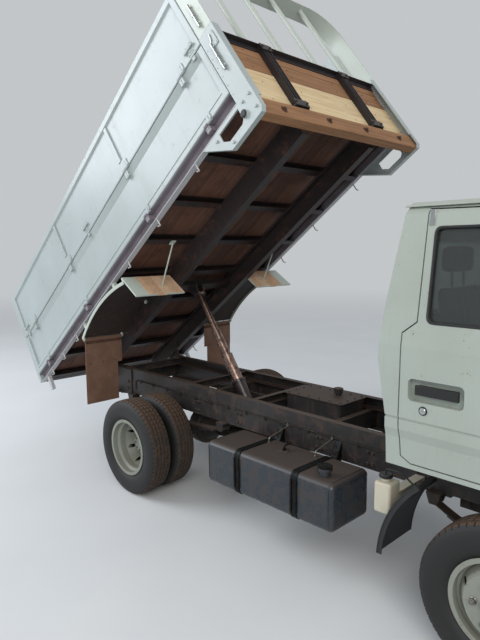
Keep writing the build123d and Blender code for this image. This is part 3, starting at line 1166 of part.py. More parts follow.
def rear_mudguards():
    """The wheel arches under the bed, each with a splash panel in front and its stay."""
    (u0, w0), (um, wm), (u1, w1) = GUARD_ARC
    arcs = [ThreePointArc((u0, 0, w0), (um, 0, wm), (u1, 0, w1)),
            ThreePointArc((u1, 0, w1 - ARCH_SHEET), (um, 0, wm - ARCH_SHEET), (u0, 0, w0 - ARCH_SHEET))]
    ends = [Line((u1, 0, w1), (u1, 0, w1 - ARCH_SHEET)), Line((u0, 0, w0 - ARCH_SHEET), (u0, 0, w0))]
    sheet_face = make_face(Curve() + arcs + ends)
    reach = BED_HALF - 3 - ARCH_INNER_Y
    guard = Pos(0, ARCH_INNER_Y, 0) * extrude(sheet_face, amount=reach, dir=(0, 1, 0))
    depth = 26
    lip_arcs = [ThreePointArc((u0, 0, w0), (um, 0, wm), (u1, 0, w1)),
                ThreePointArc((u1, 0, w1 - depth), (um, 0, wm - depth), (u0, 0, w0 - depth))]
    lip_ends = [Line((u1, 0, w1), (u1, 0, w1 - depth)), Line((u0, 0, w0 - depth), (u0, 0, w0))]
    lip_face = make_face(Curve() + lip_arcs + lip_ends)
    guard += Pos(0, BED_HALF - 8, 0) * extrude(lip_face, amount=5, dir=(0, 1, 0))
    panel = SPLASH
    lean = math.atan2(panel["low_u"] - panel["top_u"], panel["top_w"] - panel["low_w"])
    along = Vector(math.sin(lean), 0, -math.cos(lean))
    across = Vector(math.cos(lean), 0, math.sin(lean))
    top = Vector(panel["top_u"], 0, panel["top_w"])
    length = math.hypot(panel["low_u"] - panel["top_u"], panel["top_w"] - panel["low_w"])
    corners = [top, top + along * length, top + along * length + across * panel["thickness"],
               top + across * panel["thickness"]]
    guard += slab([(corner.X, corner.Z) for corner in corners], "XZ", ARCH_INNER_Y, BED_HALF - 2)
    guard += box(u1 - 6, panel["top_u"] + 12, ARCH_INNER_Y, BED_HALF - 3, w1 - 5, panel["top_w"] + 2)
    foot = top + along * (length * 0.6) + across * 6
    stay_u = CROSS_U[5] + 24
    guard += rod((foot.X, 560, foot.Z), (stay_u, 560, -7), 6)
    guard += box(stay_u - 22, stay_u + 22, 540, 580, -6, -SEAT_GAP)
    for u, w in ((1060, -51), (1640, -41)):
        guard += box(u - 15, u + 15, BED_HALF - 40, BED_HALF - 10, w, -SEAT_GAP)
    guard += box(1355, 1385, BED_RAIL_Y0 + BED_RAIL_WIDTH + SEAT_GAP, ARCH_INNER_Y + 4, -36, -10)
    u, w = FLAP_HINGE_U, FLAP_HINGE_W
    for y in FLAP_EAR_Y:
        ear = slab([(u - 13, w - 13), (u + 13, w - 13), (u + 16, w + 17), (u - 8, w + 17)], "XZ", y, y + 8)
        guard += ear - rod((u, y - 1, w), (u, y + 9, w), FLAP_PIN_RADIUS + RUNNING_GAP)
    return both(guard)


nodes["rear_mudguards"] = BED * rear_mudguards()


BEAM_DEPTH = 60.0
WALL_U = FRONT_SILL_U + SEAT_GAP
WALL_HALF = BED_HALF - BRACKET_SHEET - SEAT_GAP
PLANK_W = ((-46.0, 190.0), (194.0, 335.0), (339.0, 494.0))
UPRIGHT_Y = 410.0
TUBE_Y = (180.0, 530.0)
TUBE_RADIUS = 17.0
STRIP_SHEET = 6.0


def front_wall():
    """Three planks across the bed's front and the wooden beam under them."""
    half = WALL_HALF
    planks = None
    for low, high in PLANK_W:
        plank = box(WALL_U, WALL_U + WALL_SHEET, -half, half, low, high)
        planks = plank if planks is None else planks + plank
    beam_half = BED_HALF - RIM_DEPTH - SEAT_GAP
    return planks + box(WALL_U, WALL_U + BEAM_DEPTH, -beam_half, beam_half, -172, -52)


def wall_frame():
    """The top angle, the two double-channel uprights and the lip on the lower beam."""
    half = WALL_HALF
    u1 = WALL_U + WALL_SHEET + SEAT_GAP
    frame = box(WALL_U - 4, u1 + 34, -half, half, WALL_TOP - 5, WALL_TOP)
    frame += box(u1, u1 + 6, -half, half, WALL_TOP - 45, WALL_TOP)
    for side in (-1, 1):
        for inner in (-34, 6):
            y0 = side * UPRIGHT_Y + inner
            leg = box(u1 + 6, u1 + 40, y0, y0 + 28, -46, WALL_TOP - 5)
            leg -= box(u1 + 11, u1 + 41, y0 + 5, y0 + 23, -50, WALL_TOP - 5)
            frame += leg
        y = side * UPRIGHT_Y
        frame += box(u1, u1 + 7, y - 34, y + 34, -46, WALL_TOP - 10)
    return frame


def guard_rack():
    """The wide bent band over the front of the bed and the four tubes that fill it."""
    y1 = BED_HALF
    high = RACK_TOP
    radius = RACK_CORNER_RADIUS
    outer = slab([(-y1, 400), (y1, 400), (y1, high), (-y1, high)], "YZ", POST_U0 + 4, BED_LENGTH)
    outer = fillet(outer.edges().filter_by(Axis.X).sort_by(Axis.Z)[-2:], radius)
    inner = slab([(-y1 + STRIP_SHEET, 300), (y1 - STRIP_SHEET, 300), (y1 - STRIP_SHEET, high - STRIP_SHEET),
                  (-y1 + STRIP_SHEET, high - STRIP_SHEET)], "YZ", POST_U0, BED_LENGTH + 4)
    inner = fillet(inner.edges().filter_by(Axis.X).sort_by(Axis.Z)[-2:], radius - STRIP_SHEET)
    rack = (outer - inner) & box(POST_U0, BED_LENGTH, -y1 - 1, y1 + 1, WALL_TOP + 20 + SEAT_GAP, high + 1)
    centre_u = BED_LENGTH - 50
    for side in (-1, 1):
        for y in TUBE_Y:
            rack += tube((centre_u, side * y, WALL_TOP + SEAT_GAP), (centre_u, side * y, high - 3), TUBE_RADIUS,
                         TUBE_RADIUS - 3)
    return rack + both(lock_rod(560, 745))


nodes["front_wall"] = BED * front_wall()
nodes["wall_frame"] = BED * wall_frame()
nodes["guard_rack"] = BED * guard_rack()


STILE = 42.0
RIB_U = HINGE_U[1:3]
LATCH_U = (110.0, 1635.0, BED_LENGTH - 220.0)
PRESSED_Y = BED_HALF - 18.0
LOWER_PROFILE = ((BOARD_INNER_Y, SILL_HEIGHT + 7), (BED_HALF, SILL_HEIGHT + 7), (BED_HALF, 128), (841, 130),
                 (841, 136), (BED_HALF, 138), (BED_HALF, 160), (PRESSED_Y, 172), (PRESSED_Y, 432), (BED_HALF, 486),
                 (BED_HALF, LOWER_BOARD_TOP), (BOARD_INNER_Y, LOWER_BOARD_TOP))
UPPER_PROFILE = ((BOARD_INNER_Y, LOWER_BOARD_TOP + BOARD_GAP), (BED_HALF, LOWER_BOARD_TOP + BOARD_GAP),
                 (BED_HALF, 580), (831, 592), (831, 916), (BED_HALF, 928), (BED_HALF, UPPER_BOARD_TOP),
                 (BOARD_INNER_Y, UPPER_BOARD_TOP))


def board(profile, low, high):
    """A pressed side board: its section drawn out, with full-thickness stiles at both ends."""
    panel = slab(profile, "YZ", BOARD_U0, BOARD_U1)
    panel += box(BOARD_U0, BOARD_U0 + STILE, BOARD_INNER_Y, BED_HALF, low, high)
    return panel + box(BOARD_U1 - STILE, BOARD_U1, BOARD_INNER_Y, BED_HALF, low, high)


def side_lower():
    """The lower side board, hinged on the sill, with the upper board's fixed hinge halves."""
    panel = board(LOWER_PROFILE, SILL_HEIGHT + 7, LOWER_BOARD_TOP)
    panel -= hinge_line(LOWER_HINGE_W, BOARD_HINGE_RADIUS + 1.5)
    panel -= hinge_line(UPPER_HINGE_W, BOARD_HINGE_RADIUS + 1.5)
    panel += moving_knuckles(LOWER_HINGE_W, 44)
    return panel + fixed_knuckles(UPPER_HINGE_W, 60, BED_HALF - PRESSED_Y + 1)


def side_upper():
    """The upper side board with its two ribs and latch handles."""
    panel = board(UPPER_PROFILE, LOWER_BOARD_TOP + BOARD_GAP, UPPER_BOARD_TOP)
    panel -= hinge_line(UPPER_HINGE_W, BOARD_HINGE_RADIUS + 1.5)
    panel += moving_knuckles(UPPER_HINGE_W, 60)
    for u in RIB_U:
        panel += slab([(u - 16, 590), (u + 16, 590), (u + 16, 918), (u - 16, 918)], "XZ", 830, BED_HALF - 1)
    for u in LATCH_U:
        panel += box(u - 12, u + 12, BED_HALF - 1, BED_HALF + 6, 530, 575)
        panel += rod((u - 44, BED_HALF + 10, 552), (u + 44, BED_HALF + 10, 552), 6)
    return panel


lower_board = BED * side_lower()
upper_board = BED * side_upper()
nodes["side_lower_left"] = lower_board
nodes["side_lower_right"] = mirrored(lower_board)
nodes["side_upper_left"] = upper_board
nodes["side_upper_right"] = mirrored(upper_board)


GATE_U = (-46.0, -6.0)
GATE_HALF = BED_HALF - 7.0
GATE_W = (20.0, GATE_AXIS_W - 27.0)
GATE_PANELS = 4


def tailgate():
    """The rear gate: a pressed panel with ribs, hung by two knuckles at its top."""
    u0, u1 = GATE_U
    low, high = GATE_W
    gate = box(u0, u1, -GATE_HALF, GATE_HALF, low, high)
    lug = (BOARD_INNER_Y - 48, BOARD_INNER_Y - 34)
    notch_low = min(high, UPPER_BOARD_TOP - 5) - 60
    gate -= both(box(u0 - 1, u1 + 1, lug[0] - 5, lug[1] + 5, notch_low, high + 1))
    pitch = (2 * GATE_HALF - 60) / GATE_PANELS
    for index in range(GATE_PANELS):
        y0 = -GATE_HALF + 30 + index * pitch
        gate -= box(u0 - 1, u0 + 16, y0 + 22, y0 + pitch - 22, low + 90, high - 90)
    for side in (-1, 1):
        y0, y1 = sorted((side * (GATE_LUG_Y - 2), side * (BOARD_INNER_Y - 50)))
        centre = (GATE_AXIS_U, GATE_AXIS_W)
        knuckle = rod((centre[0], y0, centre[1]), (centre[0], y1, centre[1]), 16)
        knuckle += box(u0, u1, y0, y1, high - 5, GATE_AXIS_W)
        gate += knuckle
        gate -= rod((centre[0], y0 - 1, centre[1]), (centre[0], y1 + 1, centre[1]), 9 + RUNNING_GAP)
    return gate


nodes["tailgate"] = BED * tailgate()


FLAP_HINGE = bed_point(FLAP_HINGE_U, FLAP_HINGE_W)
FLAP_TOP_DROP = 14.0
FLAP_LENGTH = 560.0
FLAP_SHEET = 8.0


def flap():
    """The mudflap behind the rear wheels, in two pieces on its hinge bar, hanging plumb."""
    x, z = FLAP_HINGE
    y0, y1 = FLAP_EAR_Y[0] + 12, FLAP_EAR_Y[1] - 4
    panel = box(x - FLAP_SHEET / 2, x + FLAP_SHEET / 2, y0, y1, z - 230, z - FLAP_TOP_DROP)
    panel += box(x - FLAP_SHEET, x, y0 + 40, y1, z - FLAP_LENGTH, z - 195)
    panel += box(x - 4, x + 4, y0, y1, z - FLAP_TOP_DROP - 4, z - 2)
    return panel + rod((x, FLAP_EAR_Y[0], z), (x, FLAP_EAR_Y[1] + 8, z), FLAP_PIN_RADIUS)


left_flap = flap()
nodes["flap_left"] = left_flap
nodes["flap_right"] = mirrored(left_flap)


# Tipping cylinder: barrel, two stages and rod, drawn on the line from its foot to its eye

RAM_TOP = Vector(bed_point(RAM_EYE_U, -RAM_EYE_DROP)[0], 0, bed_point(RAM_EYE_U, -RAM_EYE_DROP)[1])
RAM_FOOT = Vector(RAM_PIVOT_X, 0, RAM_PIVOT_Z)
RAM_LINE = (RAM_TOP - RAM_FOOT).normalized()
RAM_LENGTH = (RAM_TOP - RAM_FOOT).length
STAGE_GAP = 0.1
STAGE_LENGTH = 300.0
STAGE_OVERLAP = 70.0
BARREL_FOOT = -118.0
BARREL_TOP = RAM_LENGTH - 3 * RAM_STROKE - 154


def ram_rod_piece(start, end, radius):
    """A round bar along the cylinder's line between two distances from its foot pin."""
    return rod(RAM_FOOT + RAM_LINE * start, RAM_FOOT + RAM_LINE * end, radius)


def ram_tube(start, end, outer, inner):
    """A tube along the cylinder's line."""
    return ram_rod_piece(start, end, outer) - ram_rod_piece(start - 1, end + 1, inner)


def ram_barrel():
    """The barrel with its closed foot, gland ring and the trunnion it swings on."""
    barrel_r, first_r, second_r, rod_r = RAM_RADII
    barrel = ram_rod_piece(BARREL_FOOT, BARREL_TOP, barrel_r)
    barrel += ram_rod_piece(BARREL_TOP - 22, BARREL_TOP, barrel_r + 6)
    barrel += ram_rod_piece(BARREL_FOOT, BARREL_FOOT + 26, barrel_r + 5)
    for reach, radius in ((RAM_CRADLE_Y - SIDE_GAP, 32), (RAM_CRADLE_Y + 17, PIVOT_RADIUS)):
        barrel += rod(RAM_FOOT - Vector(0, reach, 0), RAM_FOOT + Vector(0, reach, 0), radius)
    return barrel - ram_rod_piece(BARREL_FOOT + 55, BARREL_TOP + 1, first_r + STAGE_GAP)


def ram_stage(order, radius, bore):
    """One telescopic stage, open at its foot, with a gland ring at its head."""
    head = BARREL_TOP + order * (RAM_STROKE + 3)
    foot = head - STAGE_LENGTH
    return ram_tube(foot, head, radius, bore + STAGE_GAP)


def ram_rod():
    """The last stage with the eye that pushes the bed."""
    radius = RAM_RADII[3]
    head_of_second = BARREL_TOP + 2 * (RAM_STROKE + 3)
    bar = ram_rod_piece(head_of_second - STAGE_OVERLAP, RAM_LENGTH - 25, radius)
    half = RAM_EYE_HALF_WIDTH
    bar += rod(RAM_TOP - Vector(0, half, 0), RAM_TOP + Vector(0, half, 0), RAM_EYE_RADIUS)
    return bar


nodes["ram_barrel"] = ram_barrel()
nodes["ram_stage_1"] = ram_stage(1, RAM_RADII[1], RAM_RADII[2])
nodes["ram_stage_2"] = ram_stage(2, RAM_RADII[2], RAM_RADII[3])
nodes["ram_rod"] = ram_rod()


# Steering knuckles, tie rod and wheels

KNUCKLE_EAR = 28.0
KNUCKLE_REACH = 82.0
BACK_PLATE_Y = 652.0
HUB_INNER_Y = 665.0
HUB_OUTER_Y = 806.0
FRONT_HUB_RADIUS = 60.0
STEER_ARM_LENGTH = 150.0


def knuckle():
    """The left knuckle: kingpin, two ears, back plate, spindle and steering arm."""
    low, high = AXLE_Z - KNUCKLE_REACH, AXLE_Z + KNUCKLE_REACH
    x = WHEELBASE
    pin = rod((x, KINGPIN_Y, low), (x, KINGPIN_Y, high), KINGPIN_RADIUS)
    ear_points = [(x - 34, KINGPIN_Y - 20), (x + 34, KINGPIN_Y - 20), (x + 40, BACK_PLATE_Y), (x - 40, BACK_PLATE_Y)]
    ears = slab(ear_points, "XY", low, low + KNUCKLE_EAR) + slab(ear_points, "XY", high - KNUCKLE_EAR, high)
    web = box(x - 40, x + 40, BACK_PLATE_Y - 3, BACK_PLATE_Y + 4, low, high)
    plate = rod((x, BACK_PLATE_Y, AXLE_Z), (x, BACK_PLATE_Y + 4, AXLE_Z), 150)
    spindle = rod((x, BACK_PLATE_Y, AXLE_Z), (x, HUB_OUTER_Y - 30, AXLE_Z), SPINDLE_RADIUS)
    spindle += rod((x, BACK_PLATE_Y, AXLE_Z), (x, HUB_INNER_Y - 2, AXLE_Z), 34)
    arm_points = [(x - 20, KINGPIN_Y - 18), (x - 20, KINGPIN_Y + 12), (x - STEER_ARM_LENGTH, KINGPIN_Y - 22),
                  (x - STEER_ARM_LENGTH - 14, KINGPIN_Y - 44), (x - STEER_ARM_LENGTH + 14, KINGPIN_Y - 52)]
    arm = slab(arm_points, "XY", low + 2, low + 18)
    return pin + ears + web + plate + spindle + arm


left_knuckle = knuckle()
nodes["knuckle_left"] = left_knuckle
nodes["knuckle_right"] = mirrored(left_knuckle)

TIE_END_Y = KINGPIN_Y - 34.0
TIE_Z = AXLE_Z - KNUCKLE_REACH + 2 - 14 - SEAT_GAP


def tie_rod():
    """The bar behind the axle that joins the two steering arms, with its ball ends."""
    x = WHEELBASE - STEER_ARM_LENGTH
    bar = rod((x, -TIE_END_Y + 40, TIE_Z), (x, TIE_END_Y - 40, TIE_Z), 12)
    end = rod((x, TIE_END_Y - 45, TIE_Z), (x, TIE_END_Y, TIE_Z), 16) + Pos(x, TIE_END_Y, TIE_Z) * Sphere(19)
    return bar + both(end & box(x - 30, x + 30, 400, 700, TIE_Z - 14, TIE_Z + 14))


nodes["tie_rod"] = tie_rod()

HAND_HOLES = 8
HAND_HOLE_RADIUS = 14.0
HAND_HOLE_PITCH = 161.0
DISC_SEAT = 30.0
DISC_SHEET = 9.0
DISC_SHOULDER = 148.0
WELL_RADIUS = BEAD_RADIUS - 16.0


def rim(centre_y):
    """A rolled rim about the wheel's axle: bead seats, lips and a shallow well."""
    half = RIM_WIDTH / 2
    outer, lip, sheet, well = BEAD_RADIUS, RIM_LIP_RADIUS, RIM_SHEET, WELL_RADIUS
    profile = [(lip, -half), (lip, -half + 5), (outer, -half + 10), (outer, -half + 42), (well, -half + 54),
               (well, half - 54), (outer, half - 42), (outer, half - 10), (lip, half - 5), (lip, half),
               (outer - sheet, half), (outer - sheet, half - 40), (well - sheet, half - 56),
               (well - sheet, -half + 56), (outer - sheet, -half + 40), (outer - sheet, -half)]
    return turned(profile, centre_y)


def wheel_disc(centre_y, face_y, side):
    """The dished disc from the rim's well to the bolt face, with its hand holes."""
    well = WELL_RADIUS - RIM_SHEET + 1
    seat = side * DISC_SEAT
    face = face_y - centre_y
    profile = [(well, seat - side * 6), (well, seat + side * 6), (DISC_SHOULDER, face), (30, face),
               (30, face - side * DISC_SHEET), (DISC_SHOULDER - 4, face - side * DISC_SHEET)]
    disc = turned(profile, centre_y)
    for index in range(HAND_HOLES):
        turn = 2 * math.pi * (index + 0.5) / HAND_HOLES
        x, z = HAND_HOLE_PITCH * math.cos(turn), HAND_HOLE_PITCH * math.sin(turn)
        low, high = sorted((centre_y + seat * 0.5, face_y + side * 5))
        disc -= rod((x, low, z), (x, high, z), HAND_HOLE_RADIUS)
    return disc


def tyre(centre_y):
    """A radial truck tyre: tread with rounded shoulders, side walls and bead."""
    half = TYRE_WIDTH / 2
    tread = TYRE_RADIUS
    bead = BEAD_RADIUS + SEAT_GAP
    lip_half = RIM_WIDTH / 2 - 11
    profile = [(bead, -lip_half), (RIM_LIP_RADIUS + 6, -lip_half - 4), (265, -half + 1), (300, -half),
               (338, -half + 7), (tread - 8, -half + 20), (tread, -half + 34), (tread, half - 34),
               (tread - 8, half - 20), (338, half - 7), (300, half), (265, half - 1),
               (RIM_LIP_RADIUS + 6, lip_half + 4), (bead, lip_half)]
    return turned(profile, centre_y)


def front_rim():
    """The left front wheel's metal: rim, disc, hub with its cap, and brake drum."""
    wheel = rim(FRONT_WHEEL_Y)
    wheel += wheel_disc(FRONT_WHEEL_Y, HUB_OUTER_Y - 16, 1)
    wheel += rod((0, HUB_INNER_Y, 0), (0, HUB_OUTER_Y, 0), FRONT_HUB_RADIUS)
    wheel += rod((0, HUB_OUTER_Y - 1, 0), (0, HUB_OUTER_Y + 18, 0), 38)
    wheel += rod((0, HUB_INNER_Y + 1, 0), (0, HUB_INNER_Y + 55, 0), 145)
    wheel -= rod((0, HUB_INNER_Y - 2, 0), (0, HUB_OUTER_Y - 28, 0), SPINDLE_RADIUS + RUNNING_GAP)
    return wheel


def rear_rims():
    """The left twin rims on their shared hub, discs face to face, with the brake drum."""
    wheel = rim(REAR_OUTER_Y) + rim(REAR_INNER_Y)
    wheel += wheel_disc(REAR_OUTER_Y, TWIN_FACE_Y, -1)
    wheel += wheel_disc(REAR_INNER_Y, TWIN_FACE_Y + 2, 1)
    wheel += rod((0, REAR_HUB_INNER_Y, 0), (0, TWIN_FACE_Y + 62, 0), 75)
    wheel += rod((0, TWIN_FACE_Y + 60, 0), (0, TWIN_FACE_Y + 72, 0), 68)
    wheel += rod((0, DRUM_INNER_Y, 0), (0, DRUM_INNER_Y + 82, 0), 155)
    return wheel - rod((0, REAR_HUB_INNER_Y - 2, 0), (0, TWIN_FACE_Y + 46, 0), AXLE_STUB_RADIUS + RUNNING_GAP)


REAR_HUB_INNER_Y = DRUM_INNER_Y - 4.0
FRONT_AXLE = Pos(WHEELBASE, 0, AXLE_Z)
REAR_AXLE = Pos(0, 0, AXLE_Z)

left_front_rim = FRONT_AXLE * front_rim()
left_front_tyre = FRONT_AXLE * tyre(FRONT_WHEEL_Y)
left_rear_rims = REAR_AXLE * rear_rims()
left_rear_tyres = REAR_AXLE * (tyre(REAR_OUTER_Y) + tyre(REAR_INNER_Y))
for side, place in (("left", lambda shape: shape), ("right", mirrored)):
    nodes[f"front_rim_{side}"] = place(left_front_rim)
    nodes[f"front_tyre_{side}"] = place(left_front_tyre)
    nodes[f"rear_rims_{side}"] = place(left_rear_rims)
    nodes[f"rear_tyres_{side}"] = place(left_rear_tyres)


# The origin moves once to the middle of the whole truck's box, on the ground

REAR_END_X = min(nodes[name].bounding_box().min.X for name in ("tailgate", "corner_posts", "bed_frame"))
FRONT_END_X = max(nodes[name].bounding_box().max.X for name in ("front_bumper", "cab_shell", "mirrors"))
ORIGIN_X = (REAR_END_X + FRONT_END_X) / 2
print("origin", ORIGIN_X, "from", REAR_END_X, "to", FRONT_END_X)

for name, shape in nodes.items():
    export_step(Pos(-ORIGIN_X, 0, 0) * shape, f"parts/{name}.step")
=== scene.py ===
# %% [markdown]
# A small tipper truck stands with its load bed raised on one telescopic ram. The steel, wood and
# glass parts arrive from the frame, already at their real size and in place. This lesson dresses
# them: paint, rust, dust and grain as procedural materials, then the small parts that a drawing
# leaves out, such as tyre tread, bolts, rubber seals, pipes, lamp lenses and seat cushions.

# %% Load the frame
import json
import math
import random

import bmesh
import bpy
from mathutils import Matrix, Vector


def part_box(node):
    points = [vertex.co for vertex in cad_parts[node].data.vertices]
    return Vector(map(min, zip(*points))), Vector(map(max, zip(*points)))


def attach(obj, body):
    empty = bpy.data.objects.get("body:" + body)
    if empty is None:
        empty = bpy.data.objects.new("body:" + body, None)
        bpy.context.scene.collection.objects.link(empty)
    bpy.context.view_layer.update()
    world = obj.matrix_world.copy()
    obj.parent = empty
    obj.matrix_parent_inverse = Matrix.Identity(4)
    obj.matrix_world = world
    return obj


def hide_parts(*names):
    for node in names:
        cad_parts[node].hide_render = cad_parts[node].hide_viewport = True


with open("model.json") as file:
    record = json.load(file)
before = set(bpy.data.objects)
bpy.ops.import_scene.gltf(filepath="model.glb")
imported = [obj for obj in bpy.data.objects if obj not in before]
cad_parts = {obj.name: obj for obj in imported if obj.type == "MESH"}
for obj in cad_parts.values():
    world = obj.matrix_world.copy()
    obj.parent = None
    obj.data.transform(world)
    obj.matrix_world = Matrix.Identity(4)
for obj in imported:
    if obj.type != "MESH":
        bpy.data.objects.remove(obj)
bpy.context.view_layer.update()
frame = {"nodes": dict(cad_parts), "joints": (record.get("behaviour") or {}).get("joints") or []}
nodes = frame["nodes"]
joints = {joint["name"]: joint for joint in frame["joints"]}
scene = bpy.context.scene

# %% [markdown]
# Everything here is in metres, but a maker thinks of bolts and sheets in millimetres, so one
# constant turns one into the other. Chassis and cab are measured from the rear axle, forwards and
# up from the ground. The bed is measured in its own frame, u along it, y across and w up from its
# floor, which is then turned about the hinge that it tips on. Axles, hinge and angle are read from
# the joints of the frame, so both frames lie where the truck has them.

# %% Places on the truck
MM = 0.001
REAR_AXLE = Vector(joints["rear_wheels_left_spin"]["pos_m"])
FRONT_AXLE = Vector(joints["front_wheel_left_spin"]["pos_m"])
PIVOT = Vector(joints["bed_tip"]["pos_m"])
TIP_ANGLE = math.radians(-joints["bed_tip"]["range_deg"][0])
PIVOT_U, PIVOT_W = 470, -226    # the hinge's place in the bed's own frame
RAISED = Matrix.Rotation(-TIP_ANGLE, 4, "Y")
BED = Matrix.Translation(PIVOT) @ RAISED @ Matrix.Translation((-PIVOT_U * MM, 0, -PIVOT_W * MM))
TRUCK = Matrix.Translation((REAR_AXLE.x, 0, 0))
print("bed raised by", round(math.degrees(TIP_ANGLE), 1), "degrees")

# %% [markdown]
# The camera looks at the truck as a person does who stands beside the cab's rear corner and looks
# back along the chassis, a little down. The place, the heading and the lens were worked out from
# the outline of the wheels, the frame rail and the bed's edges in the photograph. The height of
# the picture is larger than its width, so the sensor is fitted to the width.

# %% Camera
CAMERA_AT = (2.7153, -3.0792, 1.8973)
HEADING = math.radians(46.03)
PITCH = math.radians(-7.33)
ROLL = math.radians(-0.41)
PICTURE_WIDTH = 480
FOCAL_PIXELS = 557.06
SENSOR_MM = 36

forward = Vector((-math.sin(HEADING) * math.cos(PITCH), math.cos(HEADING) * math.cos(PITCH), math.sin(PITCH)))
level = Vector((math.cos(HEADING), math.sin(HEADING), 0))
upright = level.cross(forward)
right = level * math.cos(ROLL) + upright * math.sin(ROLL)
above = upright * math.cos(ROLL) - level * math.sin(ROLL)
camera = bpy.data.objects.new("camera", bpy.data.cameras.new("camera"))
camera.matrix_world = Matrix.Translation(CAMERA_AT) @ Matrix((right, above, -forward)).transposed().to_4x4()
camera.data.sensor_fit = "HORIZONTAL"
camera.data.sensor_width = SENSOR_MM
camera.data.lens = FOCAL_PIXELS / PICTURE_WIDTH * SENSOR_MM
scene.collection.objects.link(camera)
scene.camera = camera
scene.view_settings.view_transform = "Standard"
print("lens", round(camera.data.lens, 1), "mm")

# %% [markdown]
# A material in Blender is a small graph. One function adds a node, sets what it is told to set and
# links what it is told to link, so each finish below reads as a list of what it is made of. Colours
# are written as they look on a screen, in hex, and one function turns them into linear light.

# %% Helpers for materials
MIX_FACTOR, MIX_A, MIX_B, MIX_RESULT = 0, 6, 7, 2    # sockets of a Mix node that mixes colours
COLOURS = {"data_type": "RGBA"}
MULTIPLIED = {"data_type": "RGBA", "blend_type": "MULTIPLY"}


def linear(hex_colour):
    """Turns a screen colour such as #A0B0C0 into the linear values that a shader needs."""
    channels = [int(hex_colour[index:index + 2], 16) / 255 for index in (1, 3, 5)]
    return [c / 12.92 if c <= 0.04045 else ((c + 0.055) / 1.055) ** 2.4 for c in channels] + [1.0]


def per_metre(millimetres):
    """How many times a pattern of that size fits in a metre, which is what a texture's scale asks."""
    return 1000 / millimetres


def add(tree, kind, settings=None, inputs=None):
    """Adds one node. Inputs are sockets to link or plain values to set."""
    made = tree.nodes.new("ShaderNode" + kind)
    for name, value in (settings or {}).items():
        setattr(made, name, value)
    for name, value in (inputs or {}).items():
        if isinstance(value, bpy.types.NodeSocket):
            tree.links.new(value, made.inputs[name])
        else:
            made.inputs[name].default_value = value
    return made


def new_material(name):
    """An empty material with its principled shader."""
    material = bpy.data.materials.new(name)
    material.use_nodes = True
    tree = material.node_tree
    return material, tree, tree.nodes["Principled BSDF"]


print("white", [round(c, 3) for c in linear("#FFFFFF")])

# %% [markdown]
# The floor is plain and pale, and the world around it is a soft even light, like a studio tent.
# Rays that go straight to the camera, or that a shiny surface sends on, see a paler background
# than the one that lights the truck. Two large lamps give the sheet metal its shape: a broad key,
# slightly warm, and a cooler one from the other side, where the daylight comes from.

# %% Floor, background and lamps
BACKGROUND_COLOUR = "#C3C6C8"
SKY_STRENGTH = 0.68
FLOOR_SIZE = 160    # metres
FLOOR_FADE = (6, 24)    # metres from the truck
FLOOR_CLOUD_MM = 900
LAMPS = (  # name, place, aimed at, size in metres, watts, colour
    ("key lamp", (6.5, -6.5, 6.0), (0.0, 0.0, 1.0), 5.0, 440, "#FFFBF4"),
    ("window lamp", (-6.5, -5.0, 5.5), (-0.5, 0.0, 1.6), 5.0, 470, "#F2F7FF"),
)


def floor_material():
    """A smooth screed with faint clouding, which turns into the backdrop far from the truck."""
    material, tree, shader = new_material("power-floated concrete, pale")
    place = add(tree, "TexCoord").outputs["Object"]
    clouds = add(tree, "TexNoise", {}, {"Vector": place, "Scale": per_metre(FLOOR_CLOUD_MM),
                                        "Detail": 4}).outputs["Fac"]
    tint = add(tree, "Mix", COLOURS, {MIX_FACTOR: clouds, MIX_A: linear("#CDCFD0"),
                                      MIX_B: linear("#D8DADA")}).outputs[MIX_RESULT]
    distance = add(tree, "VectorMath", {"operation": "LENGTH"}, {0: place}).outputs["Value"]
    far = add(tree, "MapRange", {"interpolation_type": "SMOOTHSTEP"}, {
        "Value": distance, "From Min": FLOOR_FADE[0], "From Max": FLOOR_FADE[1]}).outputs[0]
    tree.links.new(tint, shader.inputs["Base Color"])
    shader.inputs["Roughness"].default_value = 0.75
    backdrop = add(tree, "Emission", {}, {"Color": linear(BACKGROUND_COLOUR), "Strength": 1.0}).outputs[0]
    floor_shader = add(tree, "MixShader", {}, {0: far, 1: shader.outputs[0], 2: backdrop}).outputs[0]
    tree.links.new(floor_shader, tree.nodes["Material Output"].inputs["Surface"])
    return material


bpy.ops.mesh.primitive_plane_add(size=FLOOR_SIZE)
floor = bpy.context.object
floor.name = "floor"
floor.data.materials.append(floor_material())

world = bpy.data.worlds.new("studio")
scene.world = world
world.use_nodes = True
sky = world.node_tree
rays = add(sky, "LightPath").outputs
seen = rays["Is Camera Ray"]
for ray in ("Is Glossy Ray", "Is Transmission Ray"):
    seen = add(sky, "Math", {"operation": "MAXIMUM"}, {0: seen, 1: rays[ray]}).outputs[0]
soft = add(sky, "Background", {}, {"Color": linear("#EDF2F8"), "Strength": SKY_STRENGTH}).outputs[0]
shown = add(sky, "Background", {}, {"Color": linear(BACKGROUND_COLOUR), "Strength": 1.0}).outputs[0]
both_skies = add(sky, "MixShader", {}, {0: seen, 1: soft, 2: shown}).outputs[0]
sky.links.new(both_skies, sky.nodes["World Output"].inputs["Surface"])

for name, place, aim, size, watts, colour in LAMPS:
    lamp = bpy.data.objects.new(name, bpy.data.lights.new(name, "AREA"))
    lamp.data.size = size
    lamp.data.energy = watts
    lamp.data.color = linear(colour)[:3]
    lamp.location = place
    lamp.rotation_euler = (Vector(aim) - Vector(place)).to_track_quat("-Z", "Y").to_euler()
    scene.collection.objects.link(lamp)
print("lamps", len(LAMPS))

